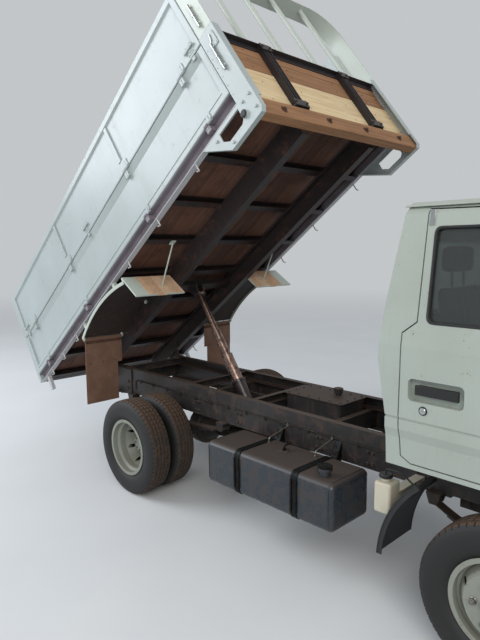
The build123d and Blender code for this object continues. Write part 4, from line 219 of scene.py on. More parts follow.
# %% [markdown]
# Most of the truck is pressed or rolled steel under sprayed alkyd enamel. New, it is glossy; in
# use, dust lies on what faces up, rain washes it down in runs, stone chips and rubbing open the
# edges, and rust grows from there. One function builds all of that, because the real history is
# the same, and each part gets its own paint, dirt and rust. The edges are found by comparing the
# true surface with one whose corners are rounded, and the same rounded surface softens the light
# on the sharp edges of a drawing. The dust follows the part's own upward side, so a part of the
# raised bed passes the angle that it is turned by.

# %% Painted steel
ENAMEL_IOR = 1.5
ORANGE_PEEL_MM = 14    # really 2 mm, drawn coarser so that it shows
CHIP_MM = 9
RUN_MM = 28
RUN_STRETCH = 0.07     # runs are about 14 times as long as they are wide
STAIN_MM = 70
DENT_MM = 190
CLOUD_MM = 450
EDGE_MM = 3


def sprayed_enamel(name, paint, dirt="#8A7A66", rust="#5E3A26", rough=0.35, dusty=0.4, rusty=0.1, turn=0.0,
                   chips=0.5, metallic=0.0):
    """Alkyd enamel on steel with dust, runs, stains and worn edges."""
    material, tree, shader = new_material(name)
    place = add(tree, "TexCoord").outputs
    spin = (0, turn, 0)
    here = add(tree, "Mapping", {}, {"Vector": place["Object"], "Rotation": spin}).outputs[0]
    facing = add(tree, "Mapping", {"vector_type": "NORMAL"}, {"Vector": place["Normal"],
                                                              "Rotation": spin}).outputs[0]
    up = add(tree, "SeparateXYZ", {}, {0: facing}).outputs["Z"]
    clouds = add(tree, "TexNoise", {}, {"Vector": here, "Scale": per_metre(CLOUD_MM),
                                        "Detail": 3}).outputs["Fac"]
    stains = add(tree, "TexNoise", {}, {"Vector": here, "Scale": per_metre(STAIN_MM), "Detail": 8,
                                        "Roughness": 0.62, "Distortion": 0.5}).outputs["Fac"]
    stretched = add(tree, "Mapping", {}, {"Vector": here, "Scale": (1, 1, RUN_STRETCH)}).outputs[0]
    runs = add(tree, "TexNoise", {}, {"Vector": stretched, "Scale": per_metre(RUN_MM),
                                      "Detail": 4}).outputs["Fac"]
    chip = add(tree, "TexNoise", {}, {"Vector": here, "Scale": per_metre(CHIP_MM),
                                      "Detail": 5}).outputs["Fac"]

    lying = add(tree, "MapRange", {}, {"Value": up, "From Min": 0.3, "From Max": 0.95,
                                       "To Max": dusty}).outputs[0]
    patchy = add(tree, "MapRange", {}, {"Value": stains, "From Min": 0.66 - 0.3 * dusty,
                                        "From Max": 0.86 - 0.2 * dusty,
                                        "To Max": 0.25 + 0.6 * dusty}).outputs[0]
    washed = add(tree, "MapRange", {}, {"Value": runs, "From Min": 0.55, "From Max": 0.8,
                                        "To Max": 0.8 * dusty}).outputs[0]
    dust = add(tree, "Math", {"operation": "MAXIMUM"}, {0: lying, 1: patchy}).outputs[0]
    dust = add(tree, "Math", {"operation": "MAXIMUM"}, {0: dust, 1: washed}).outputs[0]
    spots = add(tree, "Math", {"operation": "MULTIPLY"}, {0: stains, 1: chip}).outputs[0]
    spots = add(tree, "MapRange", {}, {"Value": spots, "From Min": 0.42 - 0.2 * rusty,
                                       "From Max": 0.46 - 0.18 * rusty}).outputs[0]

    rounded = add(tree, "Bevel", {"samples": 4}, {"Radius": EDGE_MM * MM}).outputs[0]
    true = add(tree, "NewGeometry").outputs["Normal"]
    agree = add(tree, "VectorMath", {"operation": "DOT_PRODUCT"}, {0: rounded, 1: true}).outputs["Value"]
    edge = add(tree, "MapRange", {}, {"Value": agree, "From Min": 0.985, "From Max": 0.86}).outputs[0]
    torn = add(tree, "MapRange", {}, {"Value": chip, "From Min": 0.62 - 0.25 * chips,
                                      "From Max": 0.7 - 0.2 * chips,
                                      "To Max": min(1.0, 0.3 + chips)}).outputs[0]
    worn = add(tree, "Math", {"operation": "MULTIPLY"}, {0: edge, 1: torn}).outputs[0]
    worn = add(tree, "Math", {"operation": "MAXIMUM"}, {0: worn, 1: spots}).outputs[0]

    shade = add(tree, "Mix", MULTIPLIED, {
        MIX_FACTOR: clouds, MIX_A: linear(paint), MIX_B: linear("#DCDCD8")}).outputs[MIX_RESULT]
    colour = add(tree, "Mix", COLOURS, {MIX_FACTOR: dust, MIX_A: shade,
                                        MIX_B: linear(dirt)}).outputs[MIX_RESULT]
    colour = add(tree, "Mix", COLOURS, {MIX_FACTOR: worn, MIX_A: colour,
                                        MIX_B: linear(rust)}).outputs[MIX_RESULT]
    dull = add(tree, "Math", {"operation": "MAXIMUM"}, {0: dust, 1: worn}).outputs[0]
    roughness = add(tree, "MapRange", {}, {"Value": dull, "To Min": rough, "To Max": 0.85}).outputs[0]
    peel = add(tree, "TexNoise", {}, {"Vector": here, "Scale": per_metre(ORANGE_PEEL_MM),
                                      "Detail": 1}).outputs["Fac"]
    dents = add(tree, "TexNoise", {}, {"Vector": here, "Scale": per_metre(DENT_MM),
                                       "Detail": 1}).outputs["Fac"]
    relief = add(tree, "Math", {"operation": "MULTIPLY_ADD"}, {0: dents, 1: 5.0, 2: peel}).outputs[0]
    relief = add(tree, "Math", {"operation": "SUBTRACT"}, {0: relief, 1: worn}).outputs[0]
    bump = add(tree, "Bump", {}, {"Strength": 0.25, "Distance": 0.6 * MM, "Height": relief,
                                  "Normal": rounded}).outputs[0]
    tree.links.new(colour, shader.inputs["Base Color"])
    tree.links.new(roughness, shader.inputs["Roughness"])
    tree.links.new(bump, shader.inputs["Normal"])
    shader.inputs["IOR"].default_value = ENAMEL_IOR
    shader.inputs["Metallic"].default_value = metallic
    return material


cab_enamel = sprayed_enamel("alkyd enamel, sprayed, grey-green white", "#A9B2AB", rough=0.28, dusty=0.16,
                            rusty=0.0, chips=0.1)
bed_enamel = sprayed_enamel("alkyd enamel, brushed, pale blue-grey", "#B1BBBC", dirt="#948A78",
                            rust="#77533C", rough=0.32, dusty=0.22, rusty=0.06, turn=TIP_ANGLE, chips=0.35)
rack_enamel = sprayed_enamel("alkyd enamel, sprayed, greenish white", "#C4CDC4", dirt="#9C907C", rough=0.35,
                             dusty=0.15, rusty=0.03, turn=TIP_ANGLE, chips=0.3)
chassis_enamel = sprayed_enamel("chassis enamel, black, mud-dried", "#2B2829", dirt="#5E4A3A", rust="#4E2F22",
                                rough=0.45, dusty=0.5, rusty=0.35, chips=0.6)
underbody_enamel = sprayed_enamel("chassis enamel, rusting, dark", "#2A2223", dirt="#4B382E", rust="#583626",
                                  rough=0.5, dusty=0.35, rusty=0.5, turn=TIP_ANGLE, chips=0.7)
channel_enamel = sprayed_enamel("brush enamel, black, on channel", "#2A2528", dirt="#54443A", rust="#4A2E24",
                                rough=0.4, dusty=0.2, rusty=0.2, turn=TIP_ANGLE, chips=0.5)
gear_enamel = sprayed_enamel("axle enamel, black, dusty", "#252222", dirt="#5B4A3C", rust="#4C3024",
                             rough=0.5, dusty=0.55, rusty=0.3, chips=0.5)
tank_enamel = sprayed_enamel("tank enamel, grey-green, oily", "#29323A", dirt="#493A30", rust="#3C2A21",
                             rough=0.24, dusty=0.7, rusty=0.12, chips=0.35)
bumper_enamel = sprayed_enamel("bumper enamel, light grey", "#9FA6A1", rough=0.4, dusty=0.3, rusty=0.1,
                               chips=0.4)
barrel_enamel = sprayed_enamel("cylinder enamel, dark, oily", "#33282A", dirt="#54402F", rust="#5B3A2C",
                               rough=0.25, dusty=0.15, rusty=0.25, chips=0.5)
rim_enamel = sprayed_enamel("wheel enamel, silver-grey, dusty", "#8B8F86", dirt="#6B5F4C", rust="#54382A",
                            rough=0.45, dusty=0.4, rusty=0.15, chips=0.4)
print("painted finishes", len(bpy.data.materials))

# %% [markdown]
# The bed's long sills belong to the same drawn part as the dark rails under the floor, but they
# were painted with the boards, and road dust has turned that paint a purplish grey. So the shade
# of that part is chosen by place: how far out a point lies, and how high in the bed's own frame.
# The lowest edge of the sill is painted paler, a painted highlight where the flange's edge catches the light.

# %% Dusty sills on the bed's frame
SILL_INNER_Y = 797 * MM
SILL_HIGHLIGHT_W = 7
BLOTCH_MM = 110


def level_in_bed(height_mm):
    """The height of a level of the bed, in the frame that the bed's patterns are turned into."""
    return (Matrix.Rotation(TIP_ANGLE, 4, "Y") @ (BED @ Vector((0, 0, height_mm * MM)))).z


def dusty_sill():
    """The rusting enamel of the rails, with dusty grey paint on the sills and a painted highlight on their
    lowest edge.
    """
    material = underbody_enamel.copy()
    material.name = "chassis enamel, with dusty sills"
    tree = material.node_tree
    shader = tree.nodes["Principled BSDF"]
    old = shader.inputs["Base Color"].links[0].from_socket
    place = add(tree, "TexCoord").outputs["Object"]
    local = add(tree, "Mapping", {}, {"Vector": place, "Rotation": (0, TIP_ANGLE, 0)}).outputs[0]
    axes = add(tree, "SeparateXYZ", {}, {0: local}).outputs
    across = add(tree, "Math", {"operation": "ABSOLUTE"}, {0: axes["Y"]}).outputs[0]
    outer = add(tree, "Math", {"operation": "GREATER_THAN"}, {0: across, 1: SILL_INNER_Y}).outputs[0]
    # painted highlight: the lowest edge of the sill is coloured pale, where its flange's edge catches the
    # light
    low = add(tree, "Math", {"operation": "LESS_THAN"}, {0: axes["Z"],
                                                         1: level_in_bed(SILL_HIGHLIGHT_W)}).outputs[0]
    blotch = add(tree, "TexNoise", {}, {"Vector": local, "Scale": per_metre(BLOTCH_MM),
                                        "Detail": 6}).outputs["Fac"]
    dusty = add(tree, "Mix", COLOURS, {MIX_FACTOR: blotch, MIX_A: linear("#8D8890"),
                                       MIX_B: linear("#5E5257")}).outputs[MIX_RESULT]
    dusty = add(tree, "Mix", COLOURS, {MIX_FACTOR: low, MIX_A: dusty,
                                       MIX_B: linear("#B4B4B6")}).outputs[MIX_RESULT]
    colour = add(tree, "Mix", COLOURS, {MIX_FACTOR: outer, MIX_A: old, MIX_B: dusty}).outputs[MIX_RESULT]
    tree.links.new(colour, shader.inputs["Base Color"])
    return material


sill_enamel = dusty_sill()
print("sills", sill_enamel.name)

# %% [markdown]
# Sawn softwood boards: the floor, the front wall and the splash boards. A board's grain runs along
# it, so the noise is stretched that way: fibres, which are really 1 or 2 mm apart and are drawn at
# 5 mm so that they show, broader growth bands of 28 mm, and blotches of grime. Each board also has
# its own tone, taken from its number across the stack, and the darker joint between two boards
# comes from the real gap in the mesh.

# %% Sawn wood
FIBRE_MM = 5
GROWTH_BAND_MM = 28
GRIME_MM = 160
GRAIN_STRETCH = 0.05
WOOD_IOR = 1.45


def sawn_board(name, pale, deep, grain_axis, across_axis, board_mm, offset_mm=0.0, tones=0.6,
               grime="#3A2A20", dirty=0.3):
    """Softwood planks with grain along one axis and a tone for each board along another."""
    material, tree, shader = new_material(name)
    place = add(tree, "TexCoord").outputs["Object"]
    local = add(tree, "Mapping", {}, {"Vector": place, "Rotation": (0, TIP_ANGLE, 0)}).outputs[0]
    stretch = [1.0, 1.0, 1.0]
    stretch[grain_axis] = GRAIN_STRETCH
    along = add(tree, "Mapping", {}, {"Vector": local, "Scale": stretch}).outputs[0]
    axes = add(tree, "SeparateXYZ", {}, {0: local}).outputs
    across = add(tree, "Math", {"operation": "SUBTRACT"}, {0: axes[across_axis],
                                                           1: offset_mm * MM}).outputs[0]
    count = add(tree, "Math", {"operation": "DIVIDE"}, {0: across, 1: board_mm * MM}).outputs[0]
    number = add(tree, "Math", {"operation": "FLOOR"}, {0: count}).outputs[0]
    tone = add(tree, "TexWhiteNoise", {"noise_dimensions": "1D"}, {"W": number}).outputs["Value"]
    fibres = add(tree, "TexNoise", {}, {"Vector": along, "Scale": per_metre(FIBRE_MM), "Detail": 6,
                                        "Roughness": 0.7}).outputs["Fac"]
    bands = add(tree, "TexNoise", {}, {"Vector": along, "Scale": per_metre(GROWTH_BAND_MM), "Detail": 2,
                                       "Distortion": 1.2}).outputs["Fac"]
    blotch = add(tree, "TexNoise", {}, {"Vector": local, "Scale": per_metre(GRIME_MM), "Detail": 6,
                                        "Roughness": 0.6}).outputs["Fac"]
    grain = add(tree, "Math", {"operation": "MULTIPLY_ADD"}, {0: fibres, 1: 0.6, 2: -0.15}).outputs[0]
    grain = add(tree, "Math", {"operation": "MULTIPLY_ADD"}, {0: bands, 1: 0.7, 2: grain}).outputs[0]
    grain = add(tree, "Math", {"operation": "MULTIPLY_ADD"}, {0: tone, 1: tones, 2: grain}).outputs[0]
    grain = add(tree, "MapRange", {}, {"Value": grain, "From Min": 0.25,
                                       "From Max": 0.75 + tones * 0.6}).outputs[0]
    wood = add(tree, "Mix", COLOURS, {MIX_FACTOR: grain, MIX_A: linear(pale),
                                      MIX_B: linear(deep)}).outputs[MIX_RESULT]
    soil = add(tree, "MapRange", {}, {"Value": blotch, "From Min": 0.7 - 0.35 * dirty, "From Max": 0.85,
                                      "To Max": 0.9}).outputs[0]
    wood = add(tree, "Mix", COLOURS, {MIX_FACTOR: soil, MIX_A: wood,
                                      MIX_B: linear(grime)}).outputs[MIX_RESULT]
    bump = add(tree, "Bump", {}, {"Strength": 0.4, "Distance": 0.8 * MM, "Height": fibres}).outputs[0]
    tree.links.new(wood, shader.inputs["Base Color"])
    tree.links.new(bump, shader.inputs["Normal"])
    shader.inputs["Roughness"].default_value = 0.78
    shader.inputs["IOR"].default_value = WOOD_IOR
    return material


ALONG_BED, ACROSS_BED, UP_BED = 0, 1, 2
floor_boards = sawn_board("pine floor boards, stained dark", "#7A5442", "#3A2722", ALONG_BED, ACROSS_BED,
                          198.5, dirty=0.55, grime="#241B1A")
wall_boards = sawn_board("pine wall boards, weathered", "#B08560", "#7C573A", ACROSS_BED, UP_BED, 145,
                         offset_mm=252, tones=0.3, dirty=0.15)
newer_board = sawn_board("spruce board, newer, cream", "#E6D2A8", "#BFA27C", ACROSS_BED, UP_BED, 400,
                         tones=0.1, dirty=0.12)
print("wood", floor_boards.name)

# %% [markdown]
# Bare metals: the ram's ground stages, whose coppery brown colour is a painted reflection of warm
# light from below, the straps, the zinc-plated nuts, the rusty exhaust and the finned radiator core.
# A metal's colour is its reflection, so metallic is 1, and less where rust covers it, and the
# roughness tells how it was worked. Marks run the way the tool or the wiper went: 5 mm wide, among
# patches of tarnish of 40 mm.

# %% Bare metal
MARK_MM = 5
TARNISH_MM = 40
MARK_STRETCH = 0.06


def worked_metal(name, bright, dull, rough, streak_axis=0, spotted=0.3, metallic=1.0):
    """Metal with marks along one axis, and duller patches."""
    material, tree, shader = new_material(name)
    place = add(tree, "TexCoord").outputs["Object"]
    stretch = [1.0, 1.0, 1.0]
    stretch[streak_axis] = MARK_STRETCH
    drawn = add(tree, "Mapping", {}, {"Vector": place, "Scale": stretch}).outputs[0]
    marks = add(tree, "TexNoise", {}, {"Vector": drawn, "Scale": per_metre(MARK_MM),
                                       "Detail": 3}).outputs["Fac"]
    patches = add(tree, "TexNoise", {}, {"Vector": place, "Scale": per_metre(TARNISH_MM), "Detail": 7,
                                         "Roughness": 0.65}).outputs["Fac"]
    tarnish = add(tree, "MapRange", {}, {"Value": patches, "From Min": 0.62 - 0.4 * spotted,
                                         "From Max": 0.8 - 0.3 * spotted}).outputs[0]
    mixed = add(tree, "Mix", COLOURS, {MIX_FACTOR: tarnish, MIX_A: linear(bright),
                                       MIX_B: linear(dull)}).outputs[MIX_RESULT]
    spread = add(tree, "Math", {"operation": "MULTIPLY_ADD"}, {0: marks, 1: 0.25, 2: rough - 0.12}).outputs[0]
    spread = add(tree, "Math", {"operation": "MULTIPLY_ADD"}, {0: tarnish, 1: 0.25, 2: spread}).outputs[0]
    bump = add(tree, "Bump", {}, {"Strength": 0.15, "Distance": 0.3 * MM, "Height": marks}).outputs[0]
    tree.links.new(mixed, shader.inputs["Base Color"])
    tree.links.new(spread, shader.inputs["Roughness"])
    tree.links.new(bump, shader.inputs["Normal"])
    shader.inputs["Metallic"].default_value = metallic
    return material


UPRIGHT = 2
# the stages' coppery brown colour is a painted reflection of warm light from below on bright ground steel
ram_steel_painted_reflection = worked_metal("ground steel, coppery brown painted reflection", "#917A70", "#4B3933", 0.27, UPRIGHT,
                         spotted=0.45)
plated_steel = worked_metal("zinc-plated steel, dulled", "#8E8C86", "#5A4A3C", 0.42, spotted=0.35)
strap_steel = worked_metal("spring-steel strap, dull", "#2B2E2F", "#2C241F", 0.55, spotted=0.4)
pipe_steel = worked_metal("mild steel pipe, rusted", "#5A4234", "#4A3226", 0.62, spotted=0.6, metallic=0.4)
cast_iron = worked_metal("cast iron, oily", "#3B3836", "#33291F", 0.5, spotted=0.5, metallic=0.7)
cooler_metal = worked_metal("brazed aluminium, dusty", "#6C6B66", "#4A4238", 0.5, spotted=0.4)
chrome = worked_metal("chrome plate, slightly pitted", "#B4B7B7", "#6E6B66", 0.16, spotted=0.1)
mirror_coat = worked_metal("silvered mirror glass", "#E3E7E8", "#D3D7D8", 0.13, spotted=0.0)
print("bare metals", ram_steel_painted_reflection.name)

# %% [markdown]
# Rubber and moulded plastics. Tyre rubber is carbon black in a matrix with an index near 1.52; it
# greys with dust, most of all in the grooves, so the tread has a browner sister finish. ABS and
# polypropylene mouldings have a fine eroded grain of about a millimetre, drawn at four so that it
# shows. The washer bottle is natural polyethylene, gone cream with age, and lets some light in.

# %% Rubber and plastics
RUBBER_IOR = 1.52


def moulded(name, colour, dust, rough, grain_mm=4.0, dusty=0.3, relief=0.3, ior=1.5, glow=0.0, patch_mm=90.0):
    """A moulded polymer with its grain and dust."""
    material, tree, shader = new_material(name)
    place = add(tree, "TexCoord").outputs
    up = add(tree, "SeparateXYZ", {}, {0: place["Normal"]}).outputs["Z"]
    grain = add(tree, "TexVoronoi", {}, {"Vector": place["Object"],
                                         "Scale": per_metre(grain_mm)}).outputs["Distance"]
    patches = add(tree, "TexNoise", {}, {"Vector": place["Object"], "Scale": per_metre(patch_mm), "Detail": 7,
                                         "Roughness": 0.65}).outputs["Fac"]
    lying = add(tree, "MapRange", {}, {"Value": up, "From Min": 0.2, "To Max": dusty}).outputs[0]
    spread = add(tree, "MapRange", {}, {"Value": patches, "From Min": 0.62 - 0.3 * dusty, "From Max": 0.85,
                                        "To Max": 0.3 + 0.5 * dusty}).outputs[0]
    film = add(tree, "Math", {"operation": "MAXIMUM"}, {0: lying, 1: spread}).outputs[0]
    mixed = add(tree, "Mix", COLOURS, {MIX_FACTOR: film, MIX_A: linear(colour),
                                       MIX_B: linear(dust)}).outputs[MIX_RESULT]
    roughness = add(tree, "MapRange", {}, {"Value": film, "To Min": rough, "To Max": 0.9}).outputs[0]
    bump = add(tree, "Bump", {}, {"Strength": relief, "Distance": 0.3 * MM, "Height": grain}).outputs[0]
    tree.links.new(mixed, shader.inputs["Base Color"])
    tree.links.new(roughness, shader.inputs["Roughness"])
    tree.links.new(bump, shader.inputs["Normal"])
    shader.inputs["IOR"].default_value = ior
    shader.inputs["Subsurface Weight"].default_value = glow
    return material


tread_rubber = moulded("tyre rubber, tread, brown dust", "#2B2420", "#5F4835", 0.8, dusty=0.75,
                       ior=RUBBER_IOR, patch_mm=45)
wall_rubber = moulded("tyre rubber, sidewall, black-grey", "#151515", "#35312C", 0.62, dusty=0.3,
                      ior=RUBBER_IOR, patch_mm=120)
seal_rubber = moulded("EPDM seal, extruded, black", "#151516", "#3B3833", 0.5, dusty=0.15, ior=RUBBER_IOR)
flap_rubber = moulded("rubber sheet with cloth ply, brown dust", "#664A3A", "#8F705A", 0.75, grain_mm=7,
                      dusty=0.6, relief=0.5, ior=RUBBER_IOR, patch_mm=150)
black_plastic = moulded("polypropylene, moulded, black", "#17181A", "#48423A", 0.5, dusty=0.25, ior=1.49)
guard_plastic = moulded("polypropylene guard, scuffed", "#1F2022", "#55504A", 0.5, dusty=0.35, ior=1.49)
trim_plastic = moulded("ABS trim, grained, dark grey", "#25272A", "#4A4844", 0.55, dusty=0.15, ior=1.53)
bottle_plastic = moulded("polyethylene bottle, aged cream", "#BDB8A6", "#84775E", 0.42, dusty=0.25,
                         relief=0.1, ior=1.53, glow=0.15)
print("rubber and plastics", tread_rubber.name)

# %% [markdown]
# Lamp lenses are pressed acrylic, and the windows are safety glass. Both transmit. The lens has
# flutes on its inside that spread the light: they are really about 9 mm apart, and are drawn six
# times as wide so that they show. The glass is faintly green and carries a film of dust, which is
# what makes it show at all. A wave texture of scale 1 has 20 radians of its wave in a metre, and
# one function works out the scale from the distance between two crests.

# %% Lenses and glass
FLUTE_MM = 56.55
GLASS_DUST_MM = 140
ACRYLIC_IOR = 1.49
GLASS_IOR = 1.5


def wave_scale(millimetres):
    """The scale of a wave texture whose crests lie that far apart."""
    return per_metre(millimetres) * 2 * math.pi / 20


def pressed_lens(name, colour, rough=0.12):
    """Coloured acrylic with pressed flutes."""
    material, tree, shader = new_material(name)
    place = add(tree, "TexCoord").outputs["Object"]
    flutes = add(tree, "TexWave", {"bands_direction": "Y", "wave_profile": "SIN"}, {
        "Vector": place, "Scale": wave_scale(FLUTE_MM)}).outputs["Fac"]
    bump = add(tree, "Bump", {}, {"Strength": 0.6, "Distance": 1.0 * MM, "Height": flutes}).outputs[0]
    tree.links.new(bump, shader.inputs["Normal"])
    shader.inputs["Base Color"].default_value = linear(colour)
    shader.inputs["Roughness"].default_value = rough
    shader.inputs["IOR"].default_value = ACRYLIC_IOR
    shader.inputs["Transmission Weight"].default_value = 0.35
    return material


def safety_glass(name):
    """Clear glass with a dust film."""
    material, tree, shader = new_material(name)
    place = add(tree, "TexCoord").outputs["Object"]
    film = add(tree, "TexNoise", {}, {"Vector": place, "Scale": per_metre(GLASS_DUST_MM), "Detail": 7,
                                      "Roughness": 0.6}).outputs["Fac"]
    haze = add(tree, "MapRange", {}, {"Value": film, "From Min": 0.35, "From Max": 0.9, "To Min": 0.02,
                                      "To Max": 0.22}).outputs[0]
    tint = add(tree, "Mix", COLOURS, {MIX_FACTOR: haze, MIX_A: linear("#8C9694"),
                                      MIX_B: linear("#8F8F88")}).outputs[MIX_RESULT]
    tree.links.new(tint, shader.inputs["Base Color"])
    tree.links.new(haze, shader.inputs["Roughness"])
    shader.inputs["IOR"].default_value = GLASS_IOR
    shader.inputs["Transmission Weight"].default_value = 0.92
    return material


amber_lens = pressed_lens("acrylic lens, amber", "#D9781E")
red_lens = pressed_lens("acrylic lens, red", "#A31F1B")
clear_lens = pressed_lens("acrylic lens, clear", "#E4E8E8")
window_glass = safety_glass("toughened glass, dusty")
print("lenses and glass", window_glass.name)

# %% [markdown]
# The seats are covered in woven cloth: two sets of yarn cross over and under. The yarns are really
# 3 mm apart, too fine to show through a window from here, so the weave is drawn as a check of about
# 38 mm. Two wave textures at right angles give the yarns, their product the weave, and sheen gives
# the soft edge that cloth has where it turns away.

# %% Seat cloth
YARN_MM = 37.7
WEAR_MM = 120


def woven_cloth(name, warp, weft):
    """A plain weave, drawn much coarser than it is."""
    material, tree, shader = new_material(name)
    place = add(tree, "TexCoord").outputs["Object"]
    lengthwise = add(tree, "TexWave", {"bands_direction": "X"}, {"Vector": place,
                                                                 "Scale": wave_scale(YARN_MM)}).outputs["Fac"]
    crosswise = add(tree, "TexWave", {"bands_direction": "Y"}, {"Vector": place,
                                                                "Scale": wave_scale(YARN_MM)}).outputs["Fac"]
    over = add(tree, "Math", {"operation": "MULTIPLY"}, {0: lengthwise, 1: crosswise}).outputs[0]
    soil = add(tree, "TexNoise", {}, {"Vector": place, "Scale": per_metre(WEAR_MM),
                                      "Detail": 5}).outputs["Fac"]
    mixed = add(tree, "Mix", COLOURS, {MIX_FACTOR: over, MIX_A: linear(warp),
                                       MIX_B: linear(weft)}).outputs[MIX_RESULT]
    mixed = add(tree, "Mix", MULTIPLIED, {
        MIX_FACTOR: soil, MIX_A: mixed, MIX_B: linear("#B0A596")}).outputs[MIX_RESULT]
    bump = add(tree, "Bump", {}, {"Strength": 0.4, "Distance": 0.6 * MM, "Height": over}).outputs[0]
    tree.links.new(mixed, shader.inputs["Base Color"])
    tree.links.new(bump, shader.inputs["Normal"])
    shader.inputs["Roughness"].default_value = 0.9
    shader.inputs["Sheen Weight"].default_value = 0.3
    return material


seat_cloth = woven_cloth("woven polyester seat cloth, grey", "#3C3E42", "#54565A")
print("materials", len(bpy.data.materials))

# %% [markdown]
# The metal, wood and glass parts of the frame keep their shape and only get a finish. A short
# table says which finish each one wears.

# %% Finish the ready-made parts
FINISHES = {
    cab_enamel: ("cab_shell", "door_left", "door_right"),
    bed_enamel: ("corner_posts", "side_lower_left", "side_lower_right", "side_upper_left", "side_upper_right",
                 "tailgate"),
    rack_enamel: ("guard_rack", "rear_mudguards"),
    chassis_enamel: ("chassis_frame", "cross_members", "tip_subframe", "oil_tank"),
    sill_enamel: ("bed_frame",),
    underbody_enamel: ("bed_cross_members",),
    channel_enamel: ("wall_frame",),
    gear_enamel: ("front_axle", "leaf_springs", "rear_axle", "knuckle_left", "knuckle_right", "tie_rod"),
    tank_enamel: ("fuel_tank",),
    strap_steel: ("tank_straps",),
    bumper_enamel: ("front_bumper",),
    barrel_enamel: ("ram_barrel",),
    ram_steel_painted_reflection: ("ram_stage_1", "ram_stage_2", "ram_rod"),
    rim_enamel: ("front_rim_left", "front_rim_right", "rear_rims_left", "rear_rims_right"),
    cast_iron: ("engine_block", "driveline"),
    pipe_steel: ("exhaust",),
    cooler_metal: ("radiator",),
    floor_boards: ("bed_floor",),
    wall_boards: ("front_wall",),
    flap_rubber: ("flap_left", "flap_right"),
    black_plastic: ("battery_box", "grille", "mirrors"),
    guard_plastic: ("front_mudguards",),
    trim_plastic: ("dashboard",),
    bottle_plastic: ("washer_bottle",),
    amber_lens: ("bumper_lamps",),
    red_lens: ("rear_lamps",),
    clear_lens: ("headlamps",),
    window_glass: ("cab_glass", "door_glass_left", "door_glass_right"),
    seat_cloth: ("seats",),
    wall_rubber: ("front_tyre_left", "front_tyre_right", "rear_tyres_left", "rear_tyres_right"),
}
for finish, names in FINISHES.items():
    for name in names:
        for place in nodes[name].material_slots:
            place.material = finish
unfinished = set(nodes) - {name for names in FINISHES.values() for name in names}
print("unfinished nodes", sorted(unfinished))

# %% [markdown]
# The rest of this lesson makes the small parts that a drawing leaves out. They are all built in
# millimetres, in the frame of the thing that carries them, and one function at the end turns the
# mesh into metres, puts it in its place and lets it ride on its body. A turned part is a profile
# spun about a line, a pipe is a circle drawn along a path, and a plate is an outline given a
# thickness. With those and a block, nearly every bracket and bolt of a truck can be made.

# %% Helpers for shapes
SHARP_ANGLE = math.radians(34)    # steeper edges stay sharp in the shading
BEND_STEPS = 5


def skin(bm, rings, loop=False):
    """Joins rings of points into a closed surface, with the two ends capped unless it is a loop."""
    sides = len(rings[0])
    pairs = list(zip(rings, rings[1:])) + ([(rings[-1], rings[0])] if loop else [])
    for near, far in pairs:
        for index in range(sides):
            after = (index + 1) % sides
            bm.faces.new((near[index], near[after], far[after], far[index]))
    if not loop:
        bm.faces.new(rings[0])
        bm.faces.new(rings[-1])


def circle(bm, centre, out, across, radius, sides):
    """A ring of points."""
    turns = [2 * math.pi * index / sides for index in range(sides)]
    return [bm.verts.new(centre + (out * math.cos(turn) + across * math.sin(turn)) * radius)
            for turn in turns]


def turned(bm, start, along, profile, sides=20, loop=False):
    """A lathe: spins pairs of distance along and radius about a line."""
    start, along = Vector(start), Vector(along).normalized()
    out = along.orthogonal().normalized()
    across = along.cross(out)
    skin(bm, [circle(bm, start + along * far, out, across, radius, sides) for far, radius in profile], loop)


def bar(bm, start, end, radius, sides=14):
    """A round bar with a small chamfer at each end."""
    along = Vector(end) - Vector(start)
    edge = min(radius, along.length) * 0.22
    turned(bm, start, along, [(0, radius - edge), (edge, radius), (along.length - edge, radius),
                              (along.length, radius - edge)], sides)


def block(bm, low, high):
    """A box between two corners."""
    size = [abs(b - a) for a, b in zip(low, high)]
    middle = [(a + b) / 2 for a, b in zip(low, high)]
    bmesh.ops.create_cube(bm, size=1, matrix=Matrix.LocRotScale(Vector(middle), None, Vector(size)))


def plate(bm, corners, out):
    """A flat plate from its outline and the way that it is thick."""
    near = [bm.verts.new(corner) for corner in corners]
    far = [bm.verts.new(Vector(corner) + Vector(out)) for corner in corners]
    skin(bm, [near, far])


def bent(bm, points, radius, bend=30, sides=10, loop=False):
    """A pipe or bead along straight runs, with rounded bends between them."""
    points = [Vector(point) for point in points]
    corners = list(zip(points, points[1:], points[2:]))
    if loop:
        corners = list(zip([points[-1]] + points[:-1], points, points[1:] + [points[0]]))
    path = [] if loop else [points[0]]
    for before, here, after in corners:
        back, ahead = before - here, after - here
        reach = min(bend, back.length * 0.45, ahead.length * 0.45)
        start, end = here + back.normalized() * reach, here + ahead.normalized() * reach
        for step in range(BEND_STEPS + 1):
            share = step / BEND_STEPS
            path.append(start * (1 - share) ** 2 + here * 2 * share * (1 - share) + end * share ** 2)
    path += [] if loop else [points[-1]]
    out = (path[1] - path[0]).orthogonal().normalized()
    rings = []
    for index, point in enumerate(path):
        last = len(path) - 1
        before, after = (path[index - 1], path[(index + 1) % len(path)]) if loop else (
            path[max(index - 1, 0)], path[min(index + 1, last)])
        along = (after - before).normalized()
        out = (out - along * out.dot(along)).normalized()
        rings.append(circle(bm, point, out, along.cross(out), radius, sides))
    skin(bm, rings, loop)


def bolt(bm, at, out, across=17):
    """A hexagon head on its washer, standing on a surface."""
    at, out = Vector(at), Vector(out).normalized()
    corner = across / math.sqrt(3)
    turned(bm, at - out, out, [(0, across * 0.62), (3, across * 0.62), (3.4, across * 0.58)], 16)
    turned(bm, at + out * 2, out, [(0, corner), (across * 0.45, corner), (across * 0.58, corner * 0.84)], 6)


def dome(bm, at, out, radius, sides=10):
    """A rivet or a nail head."""
    turned(bm, Vector(at) - Vector(out).normalized(), out, [(0, radius), (1 + radius * 0.3, radius * 0.88),
                                                            (1 + radius * 0.55, radius * 0.5)], sides)


